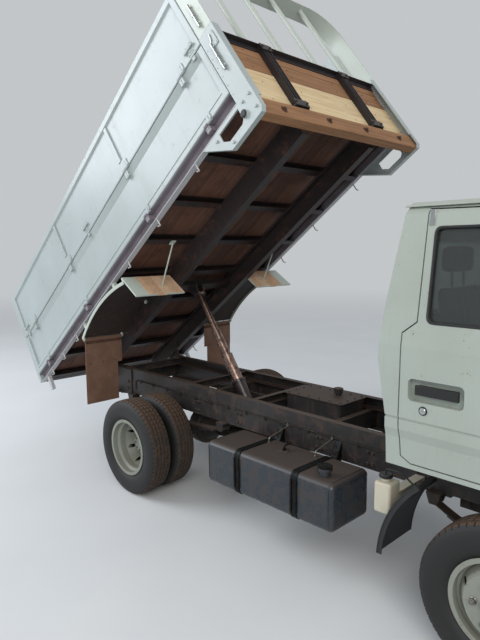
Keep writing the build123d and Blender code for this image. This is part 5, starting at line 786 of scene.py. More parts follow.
def weld(bm, start, end, size, ripple=7):
    """A weld bead: a bar whose surface ripples where each drop set."""
    along = Vector(end) - Vector(start)
    steps = max(4, int(along.length / ripple * 2))
    turned(bm, start, along, [(along.length * step / steps, size * (1.0 if step % 2 else 0.78))
                              for step in range(steps + 1)], 8)


def piece(name, bm, body, finish, place=TRUCK, bevel=0.0, replaces=()):
    """Puts a mesh made in millimetres in its place, gives it its finish and lets it ride on its body."""
    bmesh.ops.recalc_face_normals(bm, faces=bm.faces)
    mesh = bpy.data.meshes.new(name)
    bm.to_mesh(mesh)
    bm.free()
    mesh.transform(place @ Matrix.Scale(MM, 4))
    for each in finish if isinstance(finish, (list, tuple)) else [finish]:
        mesh.materials.append(each)
    mesh.shade_smooth()
    mesh.set_sharp_from_angle(angle=SHARP_ANGLE)
    made = bpy.data.objects.new(name, mesh)
    scene.collection.objects.link(made)
    if bevel:
        rounding = made.modifiers.new("rounded edges", "BEVEL")
        rounding.width = bevel * MM
        rounding.segments = 2
        rounding.limit_method = "ANGLE"
    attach(made, body)
    if replaces:
        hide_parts(*replaces)
    return made


def mirrored(place, side):
    """The same place, turned to the other side of the truck where side is -1."""
    return place @ Matrix.Diagonal((1, side, 1, 1))


def clock(count, first=0.0):
    """The angles of so many equal steps round a circle."""
    return [2 * math.pi * (number + first) / count for number in range(count)]


def spoke(turn):
    """The direction at an angle round the wheels' axis."""
    return Vector((math.cos(turn), 0, math.sin(turn)))


print("a wheel's six nuts stand", round(math.degrees(clock(6)[1])), "degrees apart")

# %% [markdown]
# A road tyre of this size has four zigzag grooves round it and cross cuts that divide the ribs into
# blocks. It is one grid: rings of points round the wheel, columns of points across the tread. The
# columns beside a groove swing from side to side, which makes the zigzag, and the points between
# the groove's two lips are pushed in by its depth. Steps round the wheel are not even: two lie
# close together where a cross cut's wall stands, so the walls are steep without many more points.

# %% Tyres
TYRE_RADIUS = 368
PITCHES = 60
PITCH_STEPS = (0.0, 0.03, 0.17, 0.20, 0.50, 0.53, 0.63, 0.66)
SHOULDER_CUT, MIDDLE_CUT = (1, 2), (5, 6)
GROOVE_Y = (-44, -15, 15, 44)
GROOVE_WIDTH = 8
GROOVE_DEPTH = 9
ZIGZAG = 3.5
SIDE_WALL = ((69, 203.5), (72, 216), (73, 224), (79, 233), (86, 241), (93, 265), (94.5, 285), (94.8, 300),
             (93.2, 318), (92.4, 321), (89.8, 332), (87.6, 339), (80.5, 351))
SHOULDER = ((75, 359.5), (70, 363.5))


def crown(y):
    """The tread's radius, which falls a little towards the shoulders."""
    return TYRE_RADIUS - 3.2 * (abs(y) / 66) ** 2


def tread_columns():
    """Columns from one bead to the other: place across, radius, how far it swings and how deep it is cut."""
    columns = [(-y, radius, 0.0, 0.0, "wall") for y, radius in SIDE_WALL]
    columns += [(-y, radius, 0.0, 0.0, "shoulder") for y, radius in SHOULDER]
    columns.append((-62, crown(62), 0.0, 0.0, "shoulder"))
    for y in GROOVE_Y:
        lip = GROOVE_WIDTH / 2
        for offset, depth in ((-lip, 0), (-lip + 1.5, GROOVE_DEPTH), (lip - 1.5, GROOVE_DEPTH), (lip, 0)):
            columns.append((y + offset, crown(y), ZIGZAG, depth, "middle"))
        if y != GROOVE_Y[-1]:
            columns.append((y + 14.5, crown(y + 14.5), 0.0, 0, "middle"))
    columns.append((62, crown(62), 0.0, 0.0, "shoulder"))
    columns += [(y, radius, 0.0, 0.0, "shoulder") for y, radius in reversed(SHOULDER)]
    return columns + [(y, radius, 0.0, 0.0, "wall") for y, radius in reversed(SIDE_WALL)]


def tyre(bm, centre_y, turn):
    """One tyre about the Y axis, with its tread turned by a share of a pitch."""
    columns = tread_columns()
    rings = []
    for pitch in range(PITCHES):
        for step, share in enumerate(PITCH_STEPS):
            angle = 2 * math.pi * (pitch + share + turn) / PITCHES
            swing = math.sin(2 * math.pi * share)
            ring = []
            for y, radius, zigzag, depth, zone in columns:
                cut = step in SHOULDER_CUT if zone == "shoulder" else step in MIDDLE_CUT and zone == "middle"
                deep = max(depth, (GROOVE_DEPTH - 2 if zone == "shoulder" else 4) if cut else 0)
                reach = radius - deep
                ring.append(bm.verts.new((math.cos(angle) * reach, centre_y + y + zigzag * swing,
                                          math.sin(angle) * reach)))
            rings.append(ring)
    before = len(bm.faces)
    skin(bm, rings, loop=True)
    bm.faces.ensure_lookup_table()
    treads = {index for index, column in enumerate(columns) if column[4] != "wall"}
    for number, face in enumerate(bm.faces[before:]):
        face.material_index = 0 if number % len(columns) in treads else 1


TYRES = (  # name, node, body, axle, middle of each tyre across the truck
    ("tyre_front_left", "front_tyre_left", "front_wheel_left", FRONT_AXLE, (707,)),
    ("tyre_front_right", "front_tyre_right", "front_wheel_right", FRONT_AXLE, (-707,)),
    ("tyres_rear_left", "rear_tyres_left", "rear_wheels_left", REAR_AXLE, (743, 518)),
    ("tyres_rear_right", "rear_tyres_right", "rear_wheels_right", REAR_AXLE, (-743, -518)),
)
for name, node, body, axle, middles in TYRES:
    shape = bmesh.new()
    for number, middle in enumerate(middles):
        tyre(shape, middle, 0.35 * number)
    made = piece(name, shape, body, [tread_rubber, wall_rubber],
                 Matrix.Translation((axle.x, 0, axle.z)), replaces=(node,))
    print(name, len(made.data.polygons), "faces")

# %% [markdown]
# Each wheel is held by six nuts with a turned collar. The front hub carries a pressed grease cap,
# the rear one the flange of its half shaft with a ring of eight bolts. A short valve pokes through
# a hand hole of each wheel. All of them turn with the wheel, so they ride on it.

# %% Wheel nuts, hub caps and valves
NUT_COUNT = 6
FRONT_NUTS = {"face": 790, "pitch": 100}
REAR_NUTS = {"face": 639.5, "pitch": 112}
SHAFT_BOLTS = {"face": 702, "pitch": 52, "count": 8}
HUB_CAP = [(0, 46), (4, 46), (7, 40), (20, 38.5), (26, 33), (29, 22), (30, 8)]
FRONT_HUB_Y = 806
FRONT_VALVE = [(150, 770, 60), (156, 794, 62), (150, 806, 60)]
REAR_VALVE = [(158, 640, 40), (166, 690, 42), (160, 716, 40)]


def wheel_nut(bm, at, out):
    """A nut on its collar, with the end of its stud."""
    at, out = Vector(at), Vector(out)
    turned(bm, at - out, out, [(0, 17), (4, 17), (6, 14.5)], 18)
    turned(bm, at + out * 4, out, [(0, 15), (14, 15), (17, 12.5)], 6)
    turned(bm, at + out * 18, out, [(0, 8), (7, 8), (8, 6.5)], 12)


for side, name in ((1, "left"), (-1, "right")):
    out = Vector((0, 1, 0))
    front = bmesh.new()
    for turn in clock(NUT_COUNT):
        wheel_nut(front, spoke(turn) * FRONT_NUTS["pitch"] + out * FRONT_NUTS["face"], out)
    turned(front, (0, FRONT_HUB_Y, 0), out, HUB_CAP, 32)
    bent(front, FRONT_VALVE, 4, 8)
    piece(f"wheel_nuts_front_{name}", front, f"front_wheel_{name}", plated_steel,
          mirrored(Matrix.Translation((FRONT_AXLE.x, 0, FRONT_AXLE.z)), side))
    rear = bmesh.new()
    for turn in clock(NUT_COUNT, 0.5):
        wheel_nut(rear, spoke(turn) * REAR_NUTS["pitch"] + out * REAR_NUTS["face"], out)
    for turn in clock(SHAFT_BOLTS["count"]):
        bolt(rear, spoke(turn) * SHAFT_BOLTS["pitch"] + out * SHAFT_BOLTS["face"], out, 13)
    bent(rear, REAR_VALVE, 4, 10)
    piece(f"wheel_nuts_rear_{name}", rear, f"rear_wheels_{name}", plated_steel,
          mirrored(Matrix.Translation((REAR_AXLE.x, 0, REAR_AXLE.z)), side))
print("wheel nuts", 4 * NUT_COUNT)

# %% [markdown]
# The ram has three sliding stages. Where one leaves the other there is a thin scraper collar that
# keeps dust out, and the eye at the top is a boss with a grease nipple. The collars are only as
# high as the gap that stays between two heads when the ram is pushed in, so nothing meets. Oil
# comes in low on the barrel, through a union nut and a short elbow.

# %% Ram collars and fittings
RAM_FOOT = Vector((545, 0, 620))
RAM_TOP_U, RAM_TOP_W = 1588, -112
RAM_TOP = (TRUCK.inverted() @ (BED @ Vector((RAM_TOP_U * MM, 0, RAM_TOP_W * MM)))) / MM
RAM_LINE = (RAM_TOP - RAM_FOOT).normalized()
RAM_STROKE = 228.7
RAM_EYE_REACH = 154    # from the eye back to the barrel's head when the ram is pushed in
RAM_HEAD = (RAM_TOP - RAM_FOOT).length - 3 * RAM_STROKE - RAM_EYE_REACH
HEAD_GAP = 3
OIL_PORT_BACK = 70
COLLAR_SCREWS = 6
COLLARS = (  # body, how many stages below it, radius, how far the collar stands out
    ("barrel", 0, 52.5, 6.6),
    ("stage_1", 1, 46, 2.4),
    ("stage_2", 2, 36.5, 2.4),
)

for body, order, radius, lip in COLLARS:
    shape = bmesh.new()
    head = RAM_FOOT + RAM_LINE * (RAM_HEAD + order * (RAM_STROKE + HEAD_GAP))
    if order == 0:
        turned(shape, head - RAM_LINE * 23, RAM_LINE, [(0, radius), (0, radius + lip), (3, radius + lip + 1),
                                                       (19, radius + lip + 1), (22.5, radius + lip - 1.5),
                                                       (22.5, radius)], 36, loop=True)
        for turn in clock(COLLAR_SCREWS):
            out = Matrix.Rotation(turn, 3, RAM_LINE) @ Vector((0, 1, 0))
            turned(shape, head - RAM_LINE * 11 + out * (radius + 5), out,
                   [(0, 4.5), (4.2, 4.5), (4.4, 2.5)], 10)
        foot = RAM_FOOT - RAM_LINE * OIL_PORT_BACK
        turned(shape, foot + Vector((0, -48, 0)), (0, -1, 0),
               [(0, 15), (10, 15), (10, 11), (24, 11), (26, 9)], 6)
        elbow = foot + Vector((0, -67, 0))
        bent(shape, [foot + Vector((0, -58, 0)), elbow, elbow - RAM_LINE * 42], 7, 7, 12)
        turned(shape, elbow - RAM_LINE * 34, -RAM_LINE, [(0, 9.5), (11, 9.5), (13, 7)], 6)
    else:
        turned(shape, head - RAM_LINE * 2.6, RAM_LINE,
               [(0, radius - 1), (0, radius + lip), (1.8, radius + lip), (2.6, radius + lip - 1),
                (2.6, radius - 1)], 36, loop=True)
    piece(f"ram_collar_{body}", shape, body,
          plated_steel if order else barrel_enamel)

shape = bmesh.new()
for side in (-1, 1):
    turned(shape, RAM_TOP + Vector((0, side * 27, 0)), (0, -side, 0),
           [(0, 33), (0, 30.5), (5, 30.5), (5, 33)], 32, loop=True)
turned(shape, RAM_TOP + RAM_LINE * 30, RAM_LINE, [(0, 5), (6, 5), (7, 3), (11, 3), (12, 1.5)], 8)
piece("ram_eye_rims", shape, "rod", plated_steel)
print("ram raised to", round((RAM_TOP - RAM_FOOT).length), "mm")

# %% [markdown]
# The side boards fold on pressed hinges, held by round-headed rivets. On the upper board are two
# welded ribs, whose beads show as a fine ragged line, and spring latches with a knob at either
# side, each on a small plate with four rivets. The lower board carries the latches' keepers and a
# weld bead at each end. The boards are separate bodies, so their fittings are separate pieces too.

# %% Fittings on the side boards
HINGE_U = (260, 1190, 2310, 3120)
KNUCKLE = 40
FACE_Y = 845
LEAF_Y = FACE_Y + 7
RIB_U = (1190, 2310)
RIB_Y = 832
LATCH_U = (110, 1635, 3300)
BOARD_ENDS_U = (9, 3376)

for side, name in ((1, "left"), (-1, "right")):
    place = mirrored(BED, side)
    outward = (0, 1, 0)
    sill, lower, upper = bmesh.new(), bmesh.new(), bmesh.new()
    leaves = ((sill, KNUCKLE / 2, (48, 66)), (lower, KNUCKLE * 1.5 + 1, (108, 122)),
              (lower, KNUCKLE / 2, (446, 466)), (upper, KNUCKLE * 1.5 + 1, (520, 542)))
    for u in HINGE_U:
        for mesh, along, heights in leaves:
            for w in heights:
                dome(mesh, (u + along, LEAF_Y, w), outward, 6)
    for u in RIB_U:
        for edge in (-17.5, 17.5):
            weld(upper, (u + edge, RIB_Y, 596), (u + edge, RIB_Y, 912), 2.6)
    for u in LATCH_U:
        block(upper, (u - 30, FACE_Y - 1, 516), (u + 30, FACE_Y + 2.5, 588))
        for du, w in ((-22, 524), (22, 524), (-22, 580), (22, 580)):
            dome(upper, (u + du, FACE_Y + 2.5, w), outward, 4)
        for end in (-1, 1):
            turned(upper, (u + end * 36, FACE_Y + 10, 552), (end, 0, 0),
                   [(0, 6.2), (3, 8), (9, 8), (12, 5.5)], 12)
        block(lower, (u - 15, FACE_Y - 1, 462), (u + 15, FACE_Y + 8, 484))
        for du in (-9, 9):
            dome(lower, (u + du, FACE_Y + 8, 473), outward, 4)
    for end in BOARD_ENDS_U:
        weld(lower, (end, FACE_Y - 0.5, 165), (end, FACE_Y - 0.5, 430), 2)
    piece(f"sill_hinge_rivets_{name}", sill, "bed", bed_enamel, place)
    for level, mesh in (("lower", lower), ("upper", upper)):
        piece(f"{level}_board_fittings_{name}", mesh, f"{level}_side_{name}", bed_enamel, place,
              bevel=1)
print("hinges", 2 * len(HINGE_U), "latches", 2 * len(LATCH_U))

# %% [markdown]
# On the outside of each front post slide two plated lock bars, one above the other, with a small
# cam lever between them. Below, a triangular gusset carries a rubber buffer on a stud and is held
# by hexagon bolts. The bars are bright against the paint, so they get a plated finish of their own.

# %% Lock bars, buffers and gusset bolts
LOCK_BAR = {"u": 3450, "y": 856, "spans": ((203, 407), (558, 747))}
LOCK_PROFILE = [(0, 9), (1, 11.5), (11, 11.5), (12, 9)]
BUFFER_PROFILE = [(0, 23.5), (3, 23.5), (5, 20), (6, 11), (4.5, 10), (4.5, 4)]
POST_Y = 845
GUSSET_BOLTS = ((3150, -50), (3250, -150), (3430, -30), (3490, -30), (3490, -125))
LEVER_RIVETS = ((3470, 386), (3490, 386), (3470, 464), (3490, 464))

bars, bolts, buffers = bmesh.new(), bmesh.new(), bmesh.new()
for side in (-1, 1):
    y = side * LOCK_BAR["y"]
    for low, high in LOCK_BAR["spans"]:
        turned(bars, (LOCK_BAR["u"], y, low), (0, 0, 1), [(0, 5), (2.5, 8.7), (high - low - 3, 8.7),
                                                         (high - low, 5)], 16)
        turned(bars, (LOCK_BAR["u"], y, (low + high) / 2 - 6), (0, 0, 1), LOCK_PROFILE, 16)
    bent(bars, [(LOCK_BAR["u"], y, 407), (LOCK_BAR["u"] + 14, y, 422), (LOCK_BAR["u"] + 22, y, 462)], 4, 12)
    block(bolts, (3462, side * POST_Y, 376), (3498, side * (POST_Y + 6), 474))
    for u, w in LEVER_RIVETS:
        dome(bolts, (u, side * (POST_Y + 6), w), (0, side, 0), 4)
    for u, w in GUSSET_BOLTS:
        bolt(bolts, (u, side * POST_Y, w), (0, side, 0), 15)
    for w in range(60, 480, 70):
        dome(bolts, (3402, side * POST_Y, w), (0, side, 0), 4.5)
    turned(buffers, (3404, side * 858, -96), (0, side, 0), BUFFER_PROFILE, 28)
piece("lock_bars", bars, "bed", chrome, BED)
piece("post_bolts", bolts, "bed", bed_enamel, BED, bevel=0.8)
piece("gusset_buffers", buffers, "bed", seal_rubber, BED)
print("lock bars", 2 * len(LOCK_BAR["spans"]))

# %% [markdown]
# The front wall is three planks between the posts, on a heavy beam. The lowest plank is newer and
# still cream, the two above it have gone brown. No two planks are quite as long or as thick as each
# other, so each is its own slab with softened edges, in the place that the drawn wall keeps.

# %% Front wall planks and beam
WALL_FACE_U = 3465.5
WALL_BACK_U = 3440
BEAM_FACE_U = 3500
BEAM_W = (-172, -52)
PLANKS = (  # low and high edge, how far the ends stand back, how far the face stands back, finish
    (-46, 250, 3, 0.5, newer_board),
    (254, 393, 7, 1.5, wall_boards),
    (397, 494, 2, 0.9, wall_boards),
)
wall_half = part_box("front_wall")[1][1] / MM
for number, (low, high, end, back, finish) in enumerate(PLANKS):
    shape = bmesh.new()
    block(shape, (WALL_BACK_U, -wall_half + end, low), (WALL_FACE_U - back, wall_half - end, high))
    piece(f"wall_plank_{number + 1}", shape, "bed", finish, BED, bevel=2,
          replaces=() if number else ("front_wall",))
shape = bmesh.new()
block(shape, (WALL_BACK_U, -wall_half + 4, BEAM_W[0]), (BEAM_FACE_U - 1, wall_half - 4, BEAM_W[1]))
piece("wall_beam", shape, "bed", wall_boards, BED, bevel=3)
print("wall planks", len(PLANKS))

# %% [markdown]
# The front wall's boards are held to the steel uprights with bolts down the middle of each channel
# and nailed at both ends, and the heavy beam below hangs on four coach bolts with large washers.
# Each upright has a flat foot at either end, with two little gussets below, and the pale board that
# shows through the slot down its middle is a thin painted strip. The top angle and the rack's tubes
# are welded, with a bead round the foot and the head of each.

# %% Front wall and rack joints
BOARD_ROWS = (20, 160, 290, 360, 440)
UPRIGHT_Y = 410
GUSSET = ((2, 36), (2, 92), (42, 62), (42, 36))    # out from the wall, and across from the upright
BEAM_BOLT = {"y": (200, 620), "w": -112}
RACK_U = 3470
RACK_TUBE_Y = (180, 530)
RACK_TUBE_ENDS = ((500.5, 1), (1264, -1))    # height, and the way that the tube goes from there

wall_bolts, wall_feet, wall_welds, rack_welds, gap_strips = (bmesh.new() for count in range(5))
for side in (-1, 1):
    for w in BOARD_ROWS:
        for y in (UPRIGHT_Y - 20, UPRIGHT_Y + 20):
            bolt(wall_bolts, (WALL_FACE_U + 11, side * y, w), (1, 0, 0), 10)
        for y in (240, 600, 790, 815):
            dome(wall_bolts, (WALL_FACE_U - 0.4, side * y, w + (5 if y == 240 else -4)), (1, 0, 0), 4)
    for y in BEAM_BOLT["y"]:
        turned(wall_bolts, (BEAM_FACE_U - 1, side * y, BEAM_BOLT["w"]), (1, 0, 0),
               [(0, 22), (3, 22), (4, 20)], 20)
        bolt(wall_bolts, (BEAM_FACE_U + 3, side * y, BEAM_BOLT["w"]), (1, 0, 0), 17)
    middle = side * UPRIGHT_Y
    block(gap_strips, (WALL_FACE_U + 1, middle - 5, -30), (WALL_FACE_U + 24, middle + 5, 430))
    for low, high, wide in ((-44, 8, 62), (440, 492, 46)):
        block(wall_feet, (WALL_FACE_U + 38, middle - wide, low), (WALL_FACE_U + 46, middle + wide, high))
        for y in (-wide + 12, wide - 12):
            bolt(wall_bolts, (WALL_FACE_U + 46, middle + y, (low + high) / 2), (1, 0, 0), 12)
    for edge in (1, -1):
        plate(wall_feet, [(WALL_FACE_U + out, middle + edge * y, -44) for out, y in GUSSET], (0, 0, 9))
    for edge in (-35, 35):
        weld(wall_welds, (WALL_FACE_U + 7, middle + edge, -40), (WALL_FACE_U + 7, middle + edge, 452), 2.4, 9)
    weld(wall_welds, (WALL_FACE_U + 40, middle - 34, 494), (WALL_FACE_U + 40, middle + 34, 494), 3.5)
    for y in RACK_TUBE_Y:
        for w, out in RACK_TUBE_ENDS:
            turned(rack_welds, (RACK_U, side * y, w), (0, 0, out),
                   [(0, 16.5), (0, 22), (2, 20.5), (5, 17.2)], 20, loop=True)
piece("wall_bolts", wall_bolts, "bed", pipe_steel, BED)
piece("upright_gap_strips", gap_strips, "bed", rack_enamel, BED)
piece("wall_feet", wall_feet, "bed", channel_enamel, BED, bevel=1)
piece("wall_welds", wall_welds, "bed", channel_enamel, BED)
piece("rack_welds", rack_welds, "bed", rack_enamel, BED)
print("board rows", len(BOARD_ROWS), "welded rack tubes", 2 * len(RACK_TUBE_Y))

# %% [markdown]
# Each floor board is nailed twice to each cross channel: the heads show inside the bed, and the
# channels' weld beads show from below. A grease nipple and a washer close each end of the pins
# that the bed tips on.

# %% Floor nails, channel welds and pivot ends
CROSS_U = [60 + number * 412.5 for number in range(9)]
BOARDS = 8
BOARD_PITCH = 199
FLOOR_EDGE_Y = -796
FLOOR_TOP_W = 84.6
nails, beads, pivots = bmesh.new(), bmesh.new(), bmesh.new()
for u in CROSS_U:
    for number in range(BOARDS):
        for share in (0.2, 0.8):
            nail_y = FLOOR_EDGE_Y + (number + share) * BOARD_PITCH
            dome(nails, (u + 25, nail_y, FLOOR_TOP_W), (0, 0, 1), 4.5, 8)
    for side in (-1, 1):
        for y in (331, 389):
            weld(beads, (u + 4, side * y, -1), (u + 46, side * y, -1), 3.2, 9)
        weld(beads, (u + 2, side * 799, 4), (u + 2, side * 799, 52), 3, 9)
for side in (-1, 1):
    turned(pivots, (PIVOT_U, side * 397, PIVOT_W), (0, side, 0),
           [(0, 27), (5, 27), (6, 25), (6, 20), (12, 19), (13, 6), (19, 5), (21, 3)], 28)
piece("floor_nails", nails, "bed", pipe_steel, BED)
piece("channel_welds", beads, "bed", underbody_enamel, BED)
piece("pivot_ends", pivots, "bed", plated_steel, BED)
print("floor nails", 2 * BOARDS * len(CROSS_U))

# %% [markdown]
# The wheel arches are painted only on their turned-up outer lip. Inside they are dark brown, a
# painted shade given by a thin dark coat over and under the sheet. In front of each wheel hangs a
# splash guard nailed together from short rough boards, bare softwood again, whose ends don't quite
# line up. Each board is its own slab round the drawn panel, with a dark joint between two of them.

# %% Arch coats and splash boards
ARCH = {"middle_u": 1370, "top_w": -8, "half": 410, "rise": 70}
ARCH_RADIUS = (ARCH["half"] ** 2 + ARCH["rise"] ** 2) / (2 * ARCH["rise"])
ARCH_SWEEP = math.asin(ARCH["half"] / ARCH_RADIUS)
SPLASH_TOP, SPLASH_LOW = Vector((1776, 0, -52)), Vector((1852, 0, -266))
SPLASH_DOWN = (SPLASH_LOW - SPLASH_TOP).normalized()
SPLASH_OUT = Vector((-SPLASH_DOWN.z, 0, SPLASH_DOWN.x))
SPLASH_LENGTH = 227
SPLASH_BOARDS = ((401, 1.0), (484, 0.965), (567, 1.01), (650, 0.975))    # inner edge, share of the length
SPLASH_BOARD_WIDTH = 80

# painted shade: a dark brown coat over and under the arch sheet stands for its shaded inside
arch_painted_shade = sprayed_enamel("dark coat on steel, painted shade", "#2C201C", dirt="#4A372B", rust="#3A261D", rough=0.8,
                           dusty=0.5, rusty=0.3, turn=TIP_ANGLE, chips=0.3)
splash_wood = sawn_board("spruce splash boards, rough-sawn", "#E3C6A8", "#B8906F", ALONG_BED, ACROSS_BED, 83,
                         offset_mm=400, tones=0.35, dirty=0.12)
coats, boards = bmesh.new(), bmesh.new()
for side in (-1, 1):
    for offset in (0.4, -6.4):
        rings = []
        for step in range(25):
            turn = ARCH_SWEEP * (step / 12 - 1) * 0.995
            ring = []
            for radius, y in ((offset, 402), (offset, 835), (offset + 1, 835), (offset + 1, 402)):
                reach = ARCH_RADIUS + radius
                ring.append(coats.verts.new((ARCH["middle_u"] + reach * math.sin(turn), side * y,
                                             ARCH["top_w"] - ARCH_RADIUS + reach * math.cos(turn))))
            rings.append(ring)
        skin(coats, rings)
    for y, share in SPLASH_BOARDS:
        low = SPLASH_TOP + SPLASH_DOWN * SPLASH_LENGTH * share
        near = Vector((0, side * y, 0))
        corners = [SPLASH_TOP - SPLASH_OUT * 1.3, low - SPLASH_OUT * 1.3, low + SPLASH_OUT * 13.3,
                   SPLASH_TOP + SPLASH_OUT * 13.3]
        plate(boards, [corner + near for corner in corners], (0, side * SPLASH_BOARD_WIDTH, 0))
piece("arch_shade_coat", coats, "bed", arch_painted_shade, BED)
piece("splash_boards", boards, "bed", splash_wood, BED, bevel=1.2)
print("splash boards", len(SPLASH_BOARDS) * 2)

# %% [markdown]
# The mud flaps hang from a bar. A steel strip clamps the rubber with bolts, and a second, smaller
# row joins the two sheets that each flap is made of. They swing with the flap's own body.

# %% Flap strips and bolts
FLAP_U, FLAP_W = 968, -98
FLAP_AT = BED @ Vector((FLAP_U * MM, 0, FLAP_W * MM))
FLAP_STRIP = {"y": (480, 822), "z": (-44, -20)}
for side, name in ((1, "left"), (-1, "right")):
    place = mirrored(Matrix.Translation((FLAP_AT.x, 0, FLAP_AT.z)), side)
    strip = bmesh.new()
    for front, back in ((4, 7), (-7, -4)):
        block(strip, (front, FLAP_STRIP["y"][0], FLAP_STRIP["z"][0]),
              (back, FLAP_STRIP["y"][1], FLAP_STRIP["z"][1]))
    for y in (505, 610, 715, 800):
        for face in (1, -1):
            bolt(strip, (face * 7, y, -32), (face, 0, 0), 11)
    for y in (545, 665, 785):
        for x, face in ((4, 1), (-8, -1)):
            bolt(strip, (x, y, -212), (face, 0, 0), 9)
    piece(f"flap_strips_{name}", strip, f"{name}_flap", pipe_steel, place, bevel=0.6)
print("flaps hang at x", round(FLAP_AT.x, 3))

# %% [markdown]
# Cross members are bolted through the rails' webs, four bolts a side, and the brackets that the bed
# tips on have their own. Along the right rail runs the brake line, a thin steel pipe in clips, with
# a nut where two lengths meet. It is fixed along its whole length, so it is a pipe and not a cord.

# %% Rail bolts and brake line
RAIL_FACE_Y = 350
CROSS_MEMBER_X = (-840, 285, 760, 1490, 1870)
CROSS_MEMBER_BOLTS = {"step": (0, 35), "z": (634, 700)}
PIVOT_BRACKET_BOLTS = ((-905, 684), (-665, 700))    # x, and the height of the upper bolt
BRAKE_LINE = {"y": 356, "z": 731, "start": -560, "end": 2190, "nuts": (390, 1420)}
UNION = [(0, 6), (3, 8.5), (16, 8.5), (19, 7), (34, 7), (37, 8.5), (50, 8.5), (53, 6)]

bolts, pipes = bmesh.new(), bmesh.new()
for side in (-1, 1):
    for x in CROSS_MEMBER_X:
        for step in CROSS_MEMBER_BOLTS["step"]:
            for z in CROSS_MEMBER_BOLTS["z"]:
                bolt(bolts, (x + step, side * RAIL_FACE_Y, z), (0, side, 0), 17)
    for x, high in PIVOT_BRACKET_BOLTS:
        for z in (640, high):
            bolt(bolts, (x, side * (RAIL_FACE_Y + 12), z), (0, side, 0), 19)
bent(pipes, [(x, -BRAKE_LINE["y"], z) for x, z in (
    (BRAKE_LINE["start"], 640), (BRAKE_LINE["start"], BRAKE_LINE["z"]),
    (BRAKE_LINE["end"], BRAKE_LINE["z"]), (BRAKE_LINE["end"], 668))], 4, 30)
for x in range(-480, 2180, 190):
    block(pipes, (x - 9, -361.5, 722), (x + 9, -RAIL_FACE_Y + 0.5, 737))
    dome(pipes, (x, -361.5, 716), (0, -1, 0), 4)
    block(pipes, (x - 9, -352.5, 708), (x + 9, -RAIL_FACE_Y + 0.5, 723))
for x in BRAKE_LINE["nuts"]:
    turned(pipes, (x, -BRAKE_LINE["y"], BRAKE_LINE["z"]), (1, 0, 0), UNION, 6)
piece("rail_bolts", bolts, "chassis", chassis_enamel)
piece("brake_line", pipes, "chassis", cast_iron, bevel=0.6)
print("rail bolts", 8 * len(CROSS_MEMBER_X) + 4 * len(PIVOT_BRACKET_BOLTS))

# %% [markdown]
# The fuel tank was pressed as a tube and two ends, whose rolled seams stand out round it. Straps
# hold it, drawn tight by a T-bolt under each one. On top sit the level sender, a round plate with
# five screws and a cable gland, and the vented filler cap with its two finger grips. Two thin
# steel pipes for the fuel, feed and return, rise from the tank and are clipped on the rail.

# %% Fuel tank seams, straps and fittings
TANK = {"x": (900, 1930), "y": (-775, -420), "z": (360, 640)}
STRAP_X = (1195, 1660)
SEAM_INSET = 30
SENDER = Vector((1400, -560, TANK["z"][1]))
FILLER = Vector((1810, -685, 684))
FILLER_CAP = [(0, 40), (3, 42), (14, 42), (17, 38), (17, 18), (20, 15)]
FUEL_PIPES = ((1195, -520), (1560, -500))    # x and y of each pipe's place on the tank
FUEL_PIPE_TOP = 742

seams, fittings = bmesh.new(), bmesh.new()
low_y, high_y = TANK["y"]
low_z, high_z = TANK["z"]
for x in (TANK["x"][0] + SEAM_INSET, TANK["x"][1] - SEAM_INSET):
    bent(seams, [(x, low_y, low_z), (x, high_y, low_z), (x, high_y, high_z), (x, low_y, high_z)],
         3.2, 54, 8, loop=True)
turned(seams, SENDER + Vector((0, 0, -2)), (0, 0, 1), [(0, 40), (5, 40), (7, 37)], 36)
for turn in clock(5):
    dome(fittings, SENDER + Vector((30 * math.cos(turn), 30 * math.sin(turn), 5)), (0, 0, 1), 4)
turned(fittings, SENDER + Vector((0, 0, 4)), (0, 0, 1), [(0, 13), (9, 13), (9, 9), (16, 9)], 6)
bent(fittings, [SENDER + Vector(way) for way in ((0, 0, 14), (0, 0, 34), (0, 60, 36))], 5, 14)
strap_bolt_z = low_z - 6
for x in STRAP_X:
    turned(fittings, (x - 26, low_y + 70, strap_bolt_z), (1, 0, 0),
           [(0, 7), (2, 8.5), (50, 8.5), (52, 7)], 14)
    turned(fittings, (x, low_y + 60, strap_bolt_z), (0, 1, 0), [(0, 4.5), (70, 4.5)], 10)
    turned(fittings, (x, low_y + 112, strap_bolt_z), (0, 1, 0), [(0, 9), (9, 9), (11, 7)], 6)
turned(fittings, FILLER, (0, 0, 1), FILLER_CAP, 32)
for turn in clock(2):
    out = Vector((math.cos(turn), math.sin(turn), 0))
    turned(fittings, FILLER + Vector((0, 0, 7)) + out * 38, out, [(0, 9), (9, 8), (12, 5)], 10)
fuel_pipes = bmesh.new()
for x, y in FUEL_PIPES:
    foot = Vector((x + 36, y, high_z - 1))
    turned(fuel_pipes, foot, (0, 0, 1), [(0, 9), (8, 9), (10, 6), (18, 6)], 6)
    bent(fuel_pipes, [foot, foot + Vector((0, 0, 34)), (x + 56, -357, FUEL_PIPE_TOP - 22),
                      (x + 56, -357, FUEL_PIPE_TOP)], 4.5, 18)
    block(fuel_pipes, (x + 46, -363, FUEL_PIPE_TOP - 18), (x + 66, -RAIL_FACE_Y + 0.5, FUEL_PIPE_TOP - 8))
piece("fuel_pipes", fuel_pipes, "chassis", plated_steel)
piece("tank_seams", seams, "chassis", tank_enamel)
piece("tank_fittings", fittings, "chassis", strap_steel)
print("tank straps", len(STRAP_X), "fuel pipes", len(FUEL_PIPES))

# %% [markdown]
# The oil tank for the ram has a cover with screws round its edge, and a breather cap with ribs for
# the fingers. The exhaust hangs in clamps, and its silencer has a folded seam at each end. A rubber
# strap holds the battery box's lid, which has two twist caps with a rib to turn them by.

